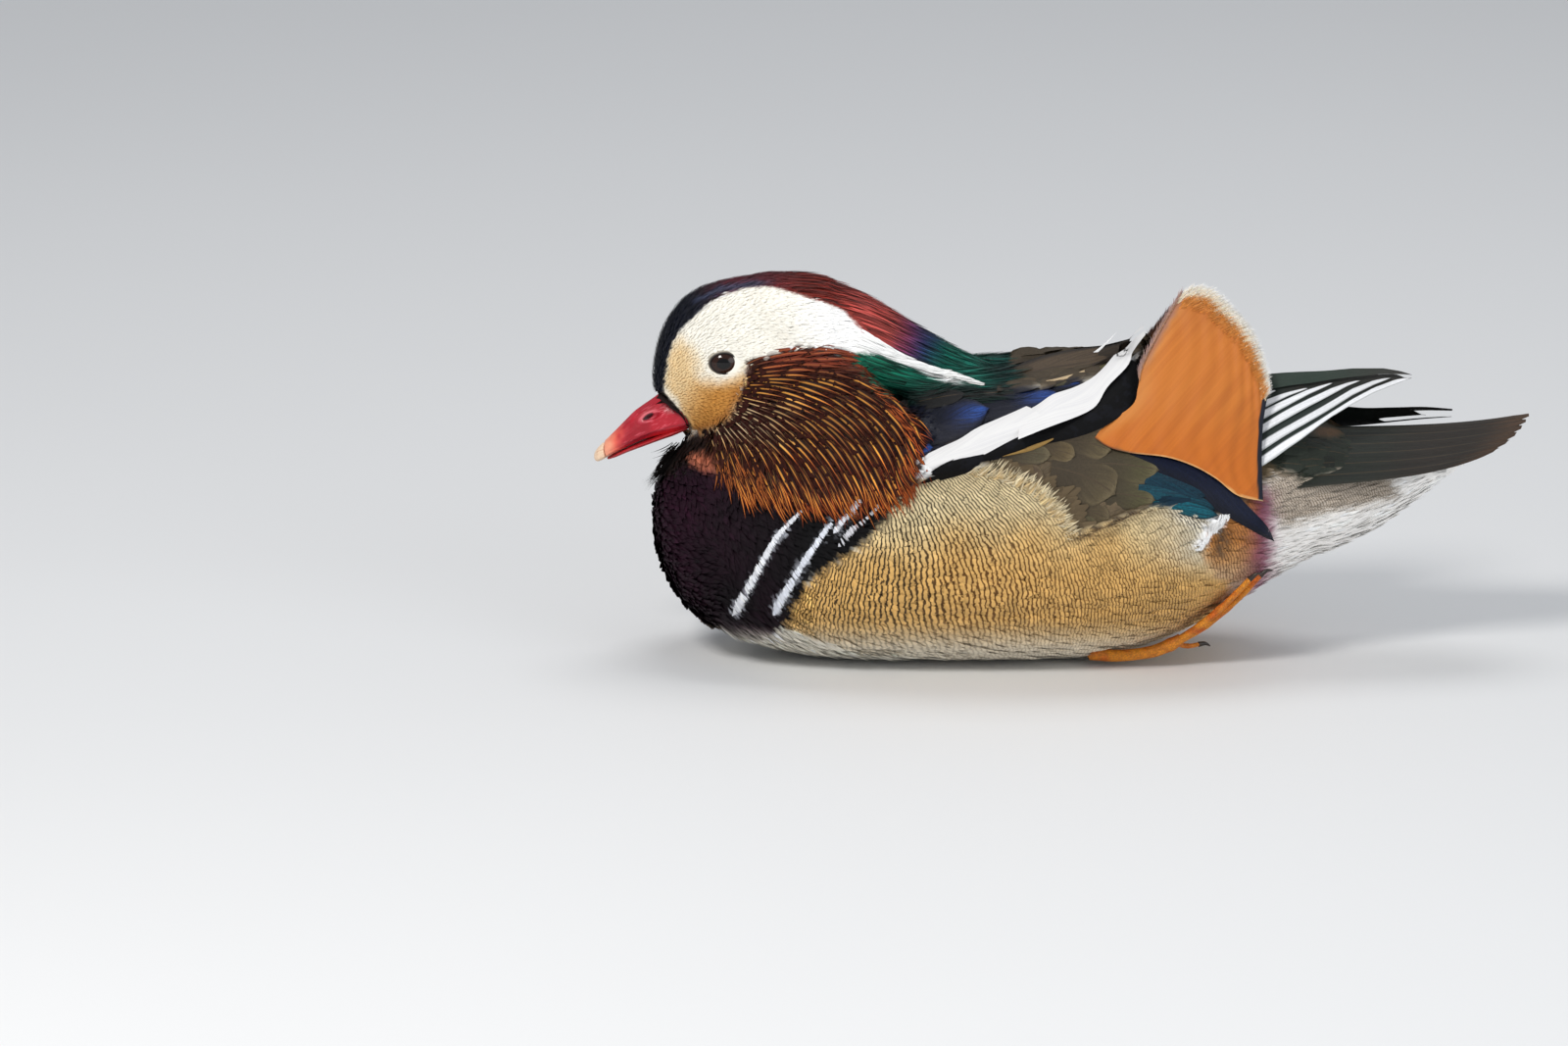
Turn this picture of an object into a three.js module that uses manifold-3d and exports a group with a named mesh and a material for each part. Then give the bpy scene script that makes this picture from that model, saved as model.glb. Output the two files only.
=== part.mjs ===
// A drake mandarin duck at rest, life size, in millimetres.
// Frame: the bill points along -X, the bird's left side along -Y, up is +Z.
// The belly rests on the plane Z = 0. The body is symmetric about Y = 0, apart
// from the folded primaries, of which the right ones lie under the left ones.
import * as THREE from "three";
import { mergeVertices } from "three/addons/utils/BufferGeometryUtils.js";
import Module from "manifold-3d";

const wasm = await Module();
wasm.setup();

// ---------------------------------------------------------------- driving sizes
const GAP = 0.35; // clear space between two neighbours
const BODY = { front: -156.3, rear: 156, halfWidth: 58.5, back: 111 }; // trunk
const HEAD = { front: -155.3, top: 146, halfWidth: 21.5 };
const BILL = { tip: -177, halfWidth: 7.6, gapeSlope: 0.43 };
const EYE = { x: -128, y: 11.5, z: 114.9, rx: 7.0, ry: 6.0, rz: 6.0 };
const WING_SHELL = 4.4; // depth of the folded wing's feathers over the flank
const RUFF_DEPTH = 9; // depth of the side whiskers, from the outside inwards
const SAIL_THICK = 1.7;
const PRIMARY_THICK = 3.2;
const TAIL = { halfWidth: 36, tip: 177, base: 84 };
const TARSUS_R = 2.7;
const TOE_R = 2.3;
const CLAW = { length: 5, r: 1.05 };

// ---------------------------------------------------------------- solids and cuts
function welded(geometry) {
  const g = geometry.clone();
  for (const name of Object.keys(g.attributes))
    if (name !== "position") g.deleteAttribute(name);
  return mergeVertices(g, 1e-4);
}

function flip(index) {
  for (let i = 0; i < index.length; i += 3)
    [index[i + 1], index[i + 2]] = [index[i + 2], index[i + 1]];
  return index;
}

// A closed surface as a solid whose faces point outwards.
function solid(geometry) {
  const g = welded(geometry);
  const make = (triVerts) =>
    new wasm.Manifold(
      new wasm.Mesh({
        numProp: 3,
        vertProperties: new Float32Array(g.attributes.position.array),
        triVerts,
      }),
    );
  const index = new Uint32Array(g.index.array);
  const made = make(index);
  return made.volume() < 0 ? make(flip(index)) : made;
}

// The same closed surface moved outwards by a distance.
function swollen(geometry, distance) {
  const g = welded(geometry);
  g.computeVertexNormals();
  const p = g.attributes.position,
    n = g.attributes.normal;
  const index = Array.from(g.index.array);
  // outward or inward faces: the sign of the enclosed volume tells
  let volume = 0;
  const a = new THREE.Vector3(),
    b = new THREE.Vector3(),
    c = new THREE.Vector3();
  for (let i = 0; i < index.length; i += 3) {
    a.fromBufferAttribute(p, index[i]);
    b.fromBufferAttribute(p, index[i + 1]);
    c.fromBufferAttribute(p, index[i + 2]);
    volume += a.dot(b.cross(c));
  }
  const d = volume < 0 ? -distance : distance;
  for (let i = 0; i < p.count; i++)
    p.setXYZ(
      i,
      p.getX(i) + n.getX(i) * d,
      p.getY(i) + n.getY(i) * d,
      p.getZ(i) + n.getZ(i) * d,
    );
  return g;
}

const grown = (geometry, gap = GAP) => solid(swollen(geometry, gap));

// The largest body of a cut solid, so that no loose crumb stays.
function largest(made) {
  const bodies = made.decompose();
  return bodies.reduce((m, s) => (s.volume() > m.volume() ? s : m), bodies[0]);
}

function geometryOf(made) {
  const m = made.getMesh();
  const g = new THREE.BufferGeometry();
  const n = m.vertProperties.length / m.numProp;
  const xyz = new Float32Array(n * 3);
  for (let i = 0; i < n; i++)
    for (let k = 0; k < 3; k++)
      xyz[3 * i + k] = m.vertProperties[i * m.numProp + k];
  g.setAttribute("position", new THREE.BufferAttribute(xyz, 3));
  g.setIndex(Array.from(m.triVerts));
  g.computeVertexNormals();
  return g;
}

// Mirror image in the plane Y = 0.
function mirrored(geometry) {
  const g = geometry.clone();
  const p = g.attributes.position;
  for (let i = 0; i < p.count; i++) p.setY(i, -p.getY(i));
  if (g.index) g.setIndex(flip(Array.from(g.index.array)));
  g.computeVertexNormals();
  return g;
}

// ---------------------------------------------------------------- lofted bodies
// Rows of numbers as one smooth track: f(0) is the first row, f(1) the last.
// Columns 1 and 2 are the low and high side of a section and column 3 its half
// width, so past a closed nose they swap and turn negative, which rounds it.
function track(rows) {
  const past = (end, next) =>
    next.map((v, k) => (k === 1 ? next[2] : k === 2 ? next[1] : k === 3 ? -v : v));
  const all = [past(rows[0], rows[1]), ...rows, past(rows.at(-1), rows.at(-2))];
  const n = rows.length - 1;
  return (t) => {
    const u = Math.min(Math.max(t, 0), 1) * n;
    const i = Math.min(Math.floor(u), n - 1);
    const f = u - i;
    const [p0, p1, p2, p3] = [all[i], all[i + 1], all[i + 2], all[i + 3]];
    return p1.map((v, k) => {
      const m1 = (p2[k] - p0[k]) / 2,
        m2 = (p3[k] - v) / 2;
      const f2 = f * f,
        f3 = f2 * f;
      return (
        (2 * f3 - 3 * f2 + 1) * v +
        (f3 - 2 * f2 + f) * m1 +
        (-2 * f3 + 3 * f2) * p2[k] +
        (f3 - f2) * m2
      );
    });
  };
}

// A row is [s, low, high, half width, place of the widest (0 low .. 1 high), top power].
// The top power is 1 for an ellipse, under 1 for a fuller top, over 1 for a roof.
function section(row, angle) {
  const [s, low, high, w, m = 0.5, power = 1] = row;
  const mid = low + (high - low) * m;
  const c = Math.cos(angle),
    k = Math.abs(c);
  const h = c >= 0 ? mid + (high - mid) * k ** power : mid - (mid - low) * k;
  return [s, w * Math.sin(angle), h];
}

// A sphere's net laid over the sections of a track: one closed body.
function loft(rows, around, along, floor = -Infinity, upright = false) {
  const f = track(rows);
  const g = new THREE.SphereGeometry(1, around, along);
  const p = g.attributes.position,
    uv = g.attributes.uv;
  for (let i = 0; i < p.count; i++) {
    const t = Math.round((1 - uv.getY(i)) * along) / along;
    const row = f(t);
    if (t === 0 || t === 1) row[3] = 0;
    const angle = t === 0 || t === 1 ? Math.PI / 2 : uv.getX(i) * 2 * Math.PI;
    const [s, y, h] = section(row, angle);
    if (upright) p.setXYZ(i, h, y, Math.max(s, floor));
    else p.setXYZ(i, s, y, Math.max(h, floor));
  }
  return welded(g);
}

// ---------------------------------------------------------------- sheets
const V = (x, y, z) => new THREE.Vector3(x, y, z);
const curve = (points) =>
  new THREE.CatmullRomCurve3(points.map((q) => V(...q)), false, "centripetal");

// The smooth patch between four edge curves that share their corners.
function patch(low, high, front, rear) {
  const [B, T, L, R] = [low, high, front, rear].map(curve);
  const [b0, b1, t0, t1] = [
    B.getPointAt(0),
    B.getPointAt(1),
    T.getPointAt(0),
    T.getPointAt(1),
  ];
  return (s, t) =>
    B.getPointAt(s)
      .multiplyScalar(1 - t)
      .addScaledVector(T.getPointAt(s), t)
      .addScaledVector(L.getPointAt(t), 1 - s)
      .addScaledVector(R.getPointAt(t), s)
      .addScaledVector(b0, -(1 - s) * (1 - t))
      .addScaledVector(b1, -s * (1 - t))
      .addScaledVector(t0, -(1 - s) * t)
      .addScaledVector(t1, -s * t);
}

// A plate on a patch. depth(s, t) gives how far it goes to each side of the patch.
function plate(at, ns, nt, depth) {
  const g = new THREE.BoxGeometry(1, 1, 1, ns, nt, 1);
  const p = g.attributes.position;
  for (let i = 0; i < p.count; i++) {
    const s = Math.min(Math.max(p.getX(i) + 0.5, 0), 1),
      t = Math.min(Math.max(p.getY(i) + 0.5, 0), 1);
    const e = 1e-3;
    const s0 = Math.max(s - e, 0),
      s1 = Math.min(s + e, 1),
      t0 = Math.max(t - e, 0),
      t1 = Math.min(t + e, 1);
    const normal = at(s1, t)
      .sub(at(s0, t))
      .cross(at(s, t1).sub(at(s, t0)))
      .normalize();
    const [plus, minus] = depth(s, t);
    const q = at(s, t).addScaledVector(normal, p.getZ(i) > 0 ? plus : -minus);
    p.setXYZ(i, q.x, q.y, q.z);
  }
  return welded(g);
}

// A tapered limb along a smooth line, closed and round at both ends.
function limb(points, radii, around, along, flat = 1) {
  const line = curve(points);
  const frames = line.computeFrenetFrames(along, false);
  const g = new THREE.SphereGeometry(1, around, along);
  const p = g.attributes.position,
    uv = g.attributes.uv;
  for (let i = 0; i < p.count; i++) {
    const k = Math.round((1 - uv.getY(i)) * along);
    const t = k / along;
    const c = line.getPointAt(t);
    const u = t * (radii.length - 1);
    const j = Math.min(Math.floor(u), radii.length - 2);
    const cap = Math.sqrt(Math.max(0, 1 - (2 * t - 1) ** 8));
    const r = (radii[j] + (radii[j + 1] - radii[j]) * (u - j)) * cap;
    const tangent = line.getTangentAt(t);
    const side = V(0, 1, 0).addScaledVector(tangent, -tangent.y).normalize();
    const up = tangent.clone().cross(side);
    const a = k === 0 || k === along ? 0 : uv.getX(i) * 2 * Math.PI;
    c.addScaledVector(side, r * Math.cos(a)).addScaledVector(up, r * flat * Math.sin(a));
    if (k === 0 || k === along) c.copy(line.getPointAt(t));
    p.setXYZ(i, c.x, c.y, c.z);
  }
  return welded(g);
}

// A prism over an outline in the XZ plane, from Y = -depth to Y = -inner.
function prism(outline, depth, inner = 0) {
  const shape = new THREE.Shape(outline.map(([x, z]) => new THREE.Vector2(x, z)));
  const g = new THREE.ExtrudeGeometry(shape, {
    depth: depth - inner,
    bevelEnabled: false,
  });
  g.rotateX(Math.PI / 2);
  g.translate(0, -inner, 0);
  return g;
}

function ellipsoid(x, y, z, rx, ry, rz, around = 18, along = 12) {
  const g = new THREE.SphereGeometry(1, around, along);
  g.rotateX(Math.PI / 2); // its poles face sideways
  g.scale(rx, ry, rz);
  g.translate(x, y, z);
  return g;
}

// ---------------------------------------------------------------- trunk
// Breast, belly, back and the cone of the undertail coverts.
const W = BODY.halfWidth;
const trunkRows = [
  [BODY.front, 53, 53, 0, 0.5, 1],
  [-153.2, 37, 68, 19, 0.5, 1],
  [-145.5, 21, 73, 32, 0.5, 1],
  [-130, 8.5, 75, 43, 0.5, 0.9],
  [-106, 1.5, 78, 51, 0.48, 0.8],
  [-78, -2.2, 90, 56, 0.45, 0.78],
  [-45, -3, 107.5, W, 0.42, 0.8],
  [-8, -3, BODY.back, W - 0.5, 0.42, 0.78],
  [22, 0.5, BODY.back, 55.5, 0.43, 0.8],
  [48, 10.5, 107.5, 50, 0.45, 0.85],
  [72, 24.5, 100.5, 42, 0.48, 0.9],
  [94, 37.5, 90.5, 33.5, 0.5, 0.9],
  [114, 46, 82.2, 25, 0.5, 0.85],
  [132, 58.5, 80.8, 17, 0.5, 0.85],
  [147, 71, 81.5, 9, 0.5, 0.85],
  [BODY.rear, 80, 80, 0, 0.5, 1],
];
const trunkGeo = loft(trunkRows, 24, 22, 0);
// ---------------------------------------------------------------- head, eyes, bill
const HW = HEAD.halfWidth;
const headGeo = loft(
  [
    [HEAD.front, 106, 106, 0, 0.5],
    [-154, 96, 116.5, 8, 0.5],
    [-151.3, 90, 126, 11.5, 0.5],
    [-147, 85.5, 133.3, 13.6, 0.46],
    [-140.5, 82.2, 139.8, 15.4, 0.43],
    [-131, 80, 144, 16.9, 0.41],
    [-119, 79.5, HEAD.top, 18.8, 0.38],
    [-106, 80.5, 145.6, 20.6, 0.36],
    [-93, 83, 142.2, HW, 0.36],
    [-80, 88, 136.5, 19.5, 0.38],
    [-70, 95, 128, 14.5, 0.45],
    [-63, 106, 106, 0, 0.5],
  ],
  16,
  15,
);
const eyeGeo = ellipsoid(EYE.x, -EYE.y, EYE.z, EYE.rx, EYE.ry, EYE.rz, 12, 7);

const BW = BILL.halfWidth;
const billUpperGeo = loft(
  [
    [BILL.tip, 75.6, 75.6, 0, 0.4],
    [-176.2, 73.5, 77.9, 2.6, 0.4],
    [-173.8, 74.2, 80.6, 4.0, 0.36],
    [-169.4, 76.9, 85.0, 4.9, 0.3],
    [-163.4, 79.9, 91.3, 5.6, 0.27],
    [-157, 82.8, 98.1, 6.6, 0.26],
    [-150.5, 85.4, 101.5, BW, 0.26],
    [-144, 87.9, 101, BW, 0.3],
    [-139, 93, 93, 0, 0.5],
  ],
  10,
  12,
);
const billLowerGeo = loft(
  [
    [-172.6, 75.0, 75.0, 0, 0.5],
    [-171.0, 74.3, 76.0, 2.2, 0.6],
    [-166, 76.6, 78.6, 4.0, 0.7],
    [-159, 79.4, 81.7, 5.2, 0.7],
    [-151, 82.6, 85.1, 6.6, 0.7],
    [-143.5, 85.4, 88.4, 7.2, 0.6],
    [-139.5, 88, 88, 0, 0.5],
  ],
  8,
  8,
);
const nailGeo = ellipsoid(-181.5, 0, 75.6, 10.2, 9, 9.4, 10, 6);

// ---------------------------------------------------------------- neck and crest
const neckGeo = loft(
  [
    [54, -104, -104, 0, 0.5],
    [58, -149, -60, 37, 0.5],
    [68, -151.2, -56, 36.5, 0.5],
    [77, -147.3, -54, 34, 0.52],
    [85, -139.5, -53, 31, 0.52],
    [94, -134.5, -54, 28, 0.5],
    [104, -131, -57, 25, 0.5],
    [113, -124, -64, 19, 0.5],
    [119, -95, -95, 0, 0.5],
  ],
  16,
  9,
  -Infinity,
  true,
);
const crestGeo = loft(
  [
    [-124, 141, 141, 0, 0.5, 1],
    [-118, 125, 146.2, 12, 0.5, 1],
    [-107.5, 114, 147.2, 18.6, 0.45, 1],
    [-94, 106, 145.9, 22.4, 0.38, 1.1],
    [-82, 103, 142.2, 24, 0.32, 1.25],
    [-70, 100.5, 136.4, 24, 0.28, 1.35],
    [-57, 99, 128, 22, 0.25, 1.4],
    [-45, 98.6, 121, 18.6, 0.24, 1.4],
    [-34, 99, 114.6, 14, 0.26, 1.3],
    [-26, 100.5, 110.6, 8.6, 0.3, 1.15],
    [-20.5, 105, 105, 0, 0.5, 1],
  ],
  14,
  13,
);

// ---------------------------------------------------------------- ruff of side whiskers
const ruffAt = patch(
  // tips, from the throat round to the rear
  [
    [-131, -25, 71],
    [-119, -36, 65.6],
    [-106, -43.5, 64],
    [-92, -48.5, 64.6],
    [-77, -52, 67.5],
    [-63, -54, 70],
    [-55, -54, 78],
    [-51.8, -50, 94],
  ],
  // roots, from the gape up behind the eye
  [
    [-135, -17.5, 88.5],
    [-128, -19.5, 95.5],
    [-122.5, -20, 104],
    [-118.8, -19.5, 115.5],
    [-108, -21.5, 119.4],
    [-96.4, -25, 121.6],
  ],
  [
    [-131, -25, 71],
    [-133.6, -21, 79.5],
    [-135, -17.5, 88.5],
  ],
  [
    [-51.8, -50, 94],
    [-61, -43.5, 104.6],
    [-72.5, -37, 113.6],
    [-84, -31, 120],
    [-96.4, -25, 121.6],
  ],
);
const ruffGeo = plate(ruffAt, 9, 5, (s, t) => {
  const edge = Math.min(1, 4 * (1 - t) + 0.15);
  return [0, 1.2 + (RUFF_DEPTH - 1.2) * edge];
});

// ---------------------------------------------------------------- folded wing
// Over the flank the wing is a shell of feathers on the trunk, inside an outline.
const wingOutline = [
  [-58, 79.5],
  [-45, 80.5],
  [-30, 82],
  [-19, 78.5],
  [-9, 71],
  [-1, 62],
  [5, 57],
  [12, 58],
  [23, 64],
  [34, 67],
  [45, 65.6],
  [55, 60.5],
  [66, 56],
  [76, 53],
  [77.5, 57],
  [72, 66],
  [66, 74],
  [62, 84],
  [58, 98],
  [46, 108],
  [30, 118],
  [-56, 118],
  [-60, 98],
];
const wingPrismGeo = prism(wingOutline, 80, 9);
const wingOuterGeo = swollen(trunkGeo, WING_SHELL);
const wingInnerGeo = swollen(trunkGeo, GAP);
const overWing = solid(swollen(trunkGeo, WING_SHELL + GAP)).intersect(
  solid(prism(wingOutline, 90)).add(solid(mirrored(prism(wingOutline, 90)))),
);

// ---------------------------------------------------------------- scapulars
// The white stripe with its black edge, from the shoulder up to the sail.
const scapAt = patch(
  [
    [-60, -53.5, 78],
    [-48, -56.4, 80.6],
    [-30, -54.8, 86.6],
    [-13, -52, 90.8],
    [8.3, -49.5, 94.8],
    [16.5, -44.6, 98.5],
    [24.2, -36.4, 104.6],
    [28, -28, 110.3],
    [32.6, -15.8, 120.4],
  ],
  [
    [-61.5, -52, 82.6],
    [-50.9, -53.4, 88],
    [-39, -51, 91.9],
    [-31.6, -48.6, 96.4],
    [-15, -44, 101.2],
    [-5.4, -40.4, 106],
    [9.1, -33, 110],
    [17.2, -26.4, 114.8],
    [25.3, -19.2, 121.4],
    [33, -12.9, 124.2],
  ],
  [
    [-60, -53.5, 78],
    [-61.5, -53, 80.3],
    [-61.5, -52, 82.6],
  ],
  [
    [32.6, -15.8, 120.4],
    [33, -14.2, 122.3],
    [33, -12.9, 124.2],
  ],
);
const scapGeo = plate(scapAt, 14, 3, (s, t) => {
  const d = 0.5 + 1.3 * Math.sin(Math.PI * t) * Math.min(1, 6 * s, 6 * (1 - s));
  return [d, d + 1.2 * Math.sin(Math.PI * t)];
});

// ---------------------------------------------------------------- sail
const sailAt = patch(
  [
    [8.7, -46.5, 95.2],
    [15.4, -50, 90.7],
    [24.6, -51.3, 88.4],
    [37.9, -50.6, 86.6],
    [48, -49.8, 83],
    [56.5, -49.6, 78.1],
    [64.6, -49.2, 71.6],
    [74.3, -46.8, 68.8],
  ],
  [
    [43.1, -12.4, 140],
    [47.2, -11, 142.2],
    [52, -10.8, 142.2],
    [55.6, -11.4, 140.6],
    [59.4, -12.6, 137.4],
    [64, -14.8, 132.6],
    [68.6, -17.6, 127.2],
    [72.4, -21, 119.6],
    [75, -24.6, 111.6],
    [76.2, -27.4, 105],
  ],
  [
    [8.7, -46.5, 95.2],
    [24.4, -38.5, 103],
    [27.4, -34.6, 109.6],
    [28.8, -30, 116.4],
    [33.6, -22, 125.4],
    [38.2, -16.6, 132.8],
    [43.1, -12.4, 140],
  ],
  [
    [74.3, -46.8, 68.8],
    [74, -41.4, 77.6],
    [74, -36.4, 86.6],
    [74.6, -31.4, 95.4],
    [76.2, -27.4, 105],
  ],
);
const sailGeo = plate(sailAt, 8, 8, () => [SAIL_THICK / 2, SAIL_THICK / 2]);
// The right sail is folded a little lower and closer than the left one.
const sailRightGeo = mirrored(sailGeo);
sailRightGeo.translate(-57, 0, -80);
sailRightGeo.scale(0.92, 1, 0.9);
sailRightGeo.translate(57, 0, 80);
const scapRightGeo = mirrored(scapGeo);
const scapRightAt = scapRightGeo.attributes.position;
for (let i = 0; i < scapRightAt.count; i++)
  scapRightAt.setZ(i, scapRightAt.getZ(i) - 0.18 * Math.max(0, scapRightAt.getZ(i) - 95));

// ---------------------------------------------------------------- primaries
const primLeftAt = patch(
  [
    [34, -40, 86],
    [56, -37.5, 81],
    [76.4, -33, 80.4],
    [90, -28.5, 88.6],
    [105.6, -22.5, 98],
    [118, -19, 104.4],
    [130.4, -15.4, 109.2],
  ],
  [
    [34, -12, 108],
    [56, -11, 107.6],
    [76, -10.6, 107.8],
    [90, -10.8, 109.4],
    [104, -11.4, 110.8],
    [118.6, -13, 111.2],
    [130.4, -14.6, 110.6],
  ],
  [
    [34, -40, 86],
    [34, -28, 99],
    [34, -12, 108],
  ],
  [
    [130.4, -15.4, 109.2],
    [130.4, -15, 109.9],
    [130.4, -14.6, 110.6],
  ],
);
const primGeo = (at) =>
  plate(at, 11, 3, (s, t) => {
    const d = (PRIMARY_THICK / 2) * (1 - 0.62 * s) * (0.45 + 0.55 * Math.sin(Math.PI * t));
    return [Math.max(0.45, d), Math.max(0.45, d)];
  });
const primLeftGeo = primGeo(primLeftAt);
// The right primaries lie lower and reach further back, under the left ones.
const primRightAt = patch(
  [
    [34, 40, 86],
    [56, 37.5, 81],
    [76.4, 32, 79],
    [92, 26.5, 80.6],
    [110, 21, 84],
    [130, 14.5, 88],
    [146.6, 8.6, 91],
  ],
  [
    [34, 9, 108],
    [56, 6.4, 105.8],
    [76, 4, 101.4],
    [92, 2.2, 96.2],
    [110, 2, 93],
    [130, 4.6, 92.6],
    [146.6, 7.4, 92.2],
  ],
  [
    [34, 40, 86],
    [34, 27, 99],
    [34, 9, 108],
  ],
  [
    [146.6, 8.6, 91],
    [146.6, 8, 91.6],
    [146.6, 7.4, 92.2],
  ],
);
const primRightGeo = primGeo(primRightAt);

// ---------------------------------------------------------------- tail
// A fan of stiff feathers with a low roof shape and a rounded end.
function tailAt(s, t) {
  const c = 2 * t - 1; // -1 left edge, 1 right edge
  const k = Math.abs(c);
  const x = TAIL.base + (TAIL.tip - 1.5 - 13 * k ** 3 - TAIL.base) * s + 1.5 * s * Math.min(1, k * 8);
  const w = TAIL.halfWidth * (1 - 0.1 * s - 0.44 * s ** 4);
  const top = 86.2 + 0.2 * s + 4.4 * s ** 3;
  const drop = (15.5 - 8.5 * s) * k ** 1.35;
  return V(x, w * c, top - drop);
}
const tailGeo = plate(tailAt, 7, 8, (s, t) => {
  const k = Math.abs(2 * t - 1);
  const d = (0.6 + 1.9 * (1 - s)) * (1 - 0.6 * k);
  return [0.55, 0.55 + 2 * d];
});

// ---------------------------------------------------------------- legs and feet
const ankle = [10, -25, 5.2],
  joint = [43, -28.5, 10.6];
const legGeo = limb(
  [ankle, [20, -26, 4.4], [32, -27.4, 6], joint],
  [TARSUS_R * 1.25, TARSUS_R, TARSUS_R * 0.95, TARSUS_R * 1.15],
  8,
  7,
);
const toeEnds = {
  outer: [69.5, -39.5, 37],
  middle: [73.5, -35.4, 37.4],
  inner: [67.4, -28.4, 31.8],
  hind: [50.5, -24.2, 8.6],
};
const toeMid = {
  outer: [56.5, -34.8, 22.6],
  middle: [58, -32.6, 21.4],
  inner: [56, -28.6, 19],
  hind: [47, -26, 8.4],
};
const toeGeos = Object.keys(toeEnds).map((k) =>
  limb(
    [joint, toeMid[k], toeEnds[k]],
    k === "hind"
      ? [1.4, 1.4, 1.1]
      : [TOE_R * 1.1, TOE_R, TOE_R * 0.85, TOE_R * 0.72],
    6,
    k === "hind" ? 4 : 5,
  ),
);
const webAt = (s, t) => {
  // between the toes, from the joint outwards; it ends short of the toe tips
  const ends = ["outer", "middle", "inner"].map((k) => [V(...toeMid[k]), V(...toeEnds[k])]);
  const i = t < 0.5 ? 0 : 1,
    f = t < 0.5 ? t * 2 : t * 2 - 1;
  const reach = 0.9 - 0.16 * Math.sin(Math.PI * f);
  const along = (k) => {
    const line = new THREE.QuadraticBezierCurve3(
      V(...joint),
      ends[k][0].clone().multiplyScalar(2).sub(V(...joint).add(ends[k][1]).multiplyScalar(0.5)),
      ends[k][1],
    );
    return line.getPoint(0.08 + (reach - 0.08) * s);
  };
  return along(i).lerp(along(i + 1), f);
};
const webGeo = plate(webAt, 4, 4, () => [0.55, 0.55]);

function clawGeo(end, from) {
  // a small curved cone that starts just past the toe's end
  const dir = V(...end).sub(V(...from)).normalize();
  const start = V(...end).addScaledVector(dir, GAP);
  const down = V(0, 0, -1).addScaledVector(dir, dir.z).normalize();
  const g = new THREE.LatheGeometry(
    [
      new THREE.Vector2(0, 0),
      new THREE.Vector2(CLAW.r, 0.15),
      new THREE.Vector2(CLAW.r * 0.72, CLAW.length * 0.55),
      new THREE.Vector2(0, CLAW.length),
    ],
    6,
  );
  g.applyQuaternion(new THREE.Quaternion().setFromUnitVectors(V(0, 1, 0), dir));
  const p = g.attributes.position;
  for (let i = 0; i < p.count; i++) {
    const q = V(p.getX(i), p.getY(i), p.getZ(i));
    const along = q.dot(dir);
    q.addScaledVector(down, 0.055 * along * along).add(start);
    p.setXYZ(i, q.x, q.y, q.z);
  }
  return g;
}

// ---------------------------------------------------------------- cutting and placing
const cut = (made, ...tools) => largest(tools.reduce((m, t) => m.subtract(t), made));
const both = (geo, gap = GAP) => grown(geo, gap).add(grown(mirrored(geo), gap));

const eyes = both(eyeGeo);
const billWhole = grown(billUpperGeo).add(grown(billLowerGeo));
const trunkGrown = solid(wingInnerGeo);
const head = cut(solid(headGeo), eyes, billWhole, trunkGrown);
const headGrown = grown(headGeo);
const clawGeos = Object.keys(toeEnds).map((k) => clawGeo(toeEnds[k], toeMid[k]));
const legsCut = [legGeo, webGeo, ...toeGeos, ...clawGeos]
  .map((g) => both(g, 0.5))
  .reduce((m, t) => m.add(t));

const neck = cut(solid(neckGeo), headGrown, trunkGrown);
const neckGrown = grown(neckGeo);
const crest = cut(solid(crestGeo), headGrown, neckGrown, trunkGrown);
const crestGrown = grown(crestGeo);
const ruff = cut(solid(ruffGeo), headGrown, neckGrown, crestGrown, trunkGrown);
const ruffGrown = grown(ruffGeo);
const scap = cut(solid(scapGeo), ruffGrown, crestGrown, overWing);
const scapGrown = grown(scapGeo);
const sail = cut(solid(sailGeo), overWing, scapGrown);
const sailGrown = grown(sailGeo, 0.5);
const scapRight = cut(
  solid(scapRightGeo),
  solid(mirrored(geometryOf(ruffGrown))),
  crestGrown,
  overWing,
);
const sailRight = cut(solid(sailRightGeo), overWing, grown(scapRightGeo));
const sailRightGrown = grown(sailRightGeo, 0.5);
const primLeft = cut(solid(primLeftGeo), overWing, trunkGrown, sailGrown);
const primLeftGrown = grown(primLeftGeo, 0.45);
const primRight = cut(
  solid(primRightGeo),
  overWing,
  trunkGrown,
  sailRightGrown,
  primLeftGrown,
);
const primRightGrown = grown(primRightGeo, 0.45);
const wingWhole = solid(wingOuterGeo).intersect(solid(wingPrismGeo));
const wing = cut(wingWhole, trunkGrown, neckGrown, ruffGrown, crestGrown);
const tail = cut(solid(tailGeo), trunkGrown, primLeftGrown, primRightGrown);
const trunk = cut(solid(trunkGeo), legsCut);

const billUpper = cut(solid(billUpperGeo), grown(nailGeo));
const nail = largest(solid(billUpperGeo).intersect(solid(nailGeo)));
const billLower = cut(solid(billLowerGeo), grown(billUpperGeo));
const foot = largest([webGeo, ...toeGeos].map(solid).reduce((m, s) => m.add(s)));
const leg = cut(solid(legGeo), [webGeo, ...toeGeos].map((g) => grown(g)).reduce((m, s) => m.add(s)));

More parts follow.
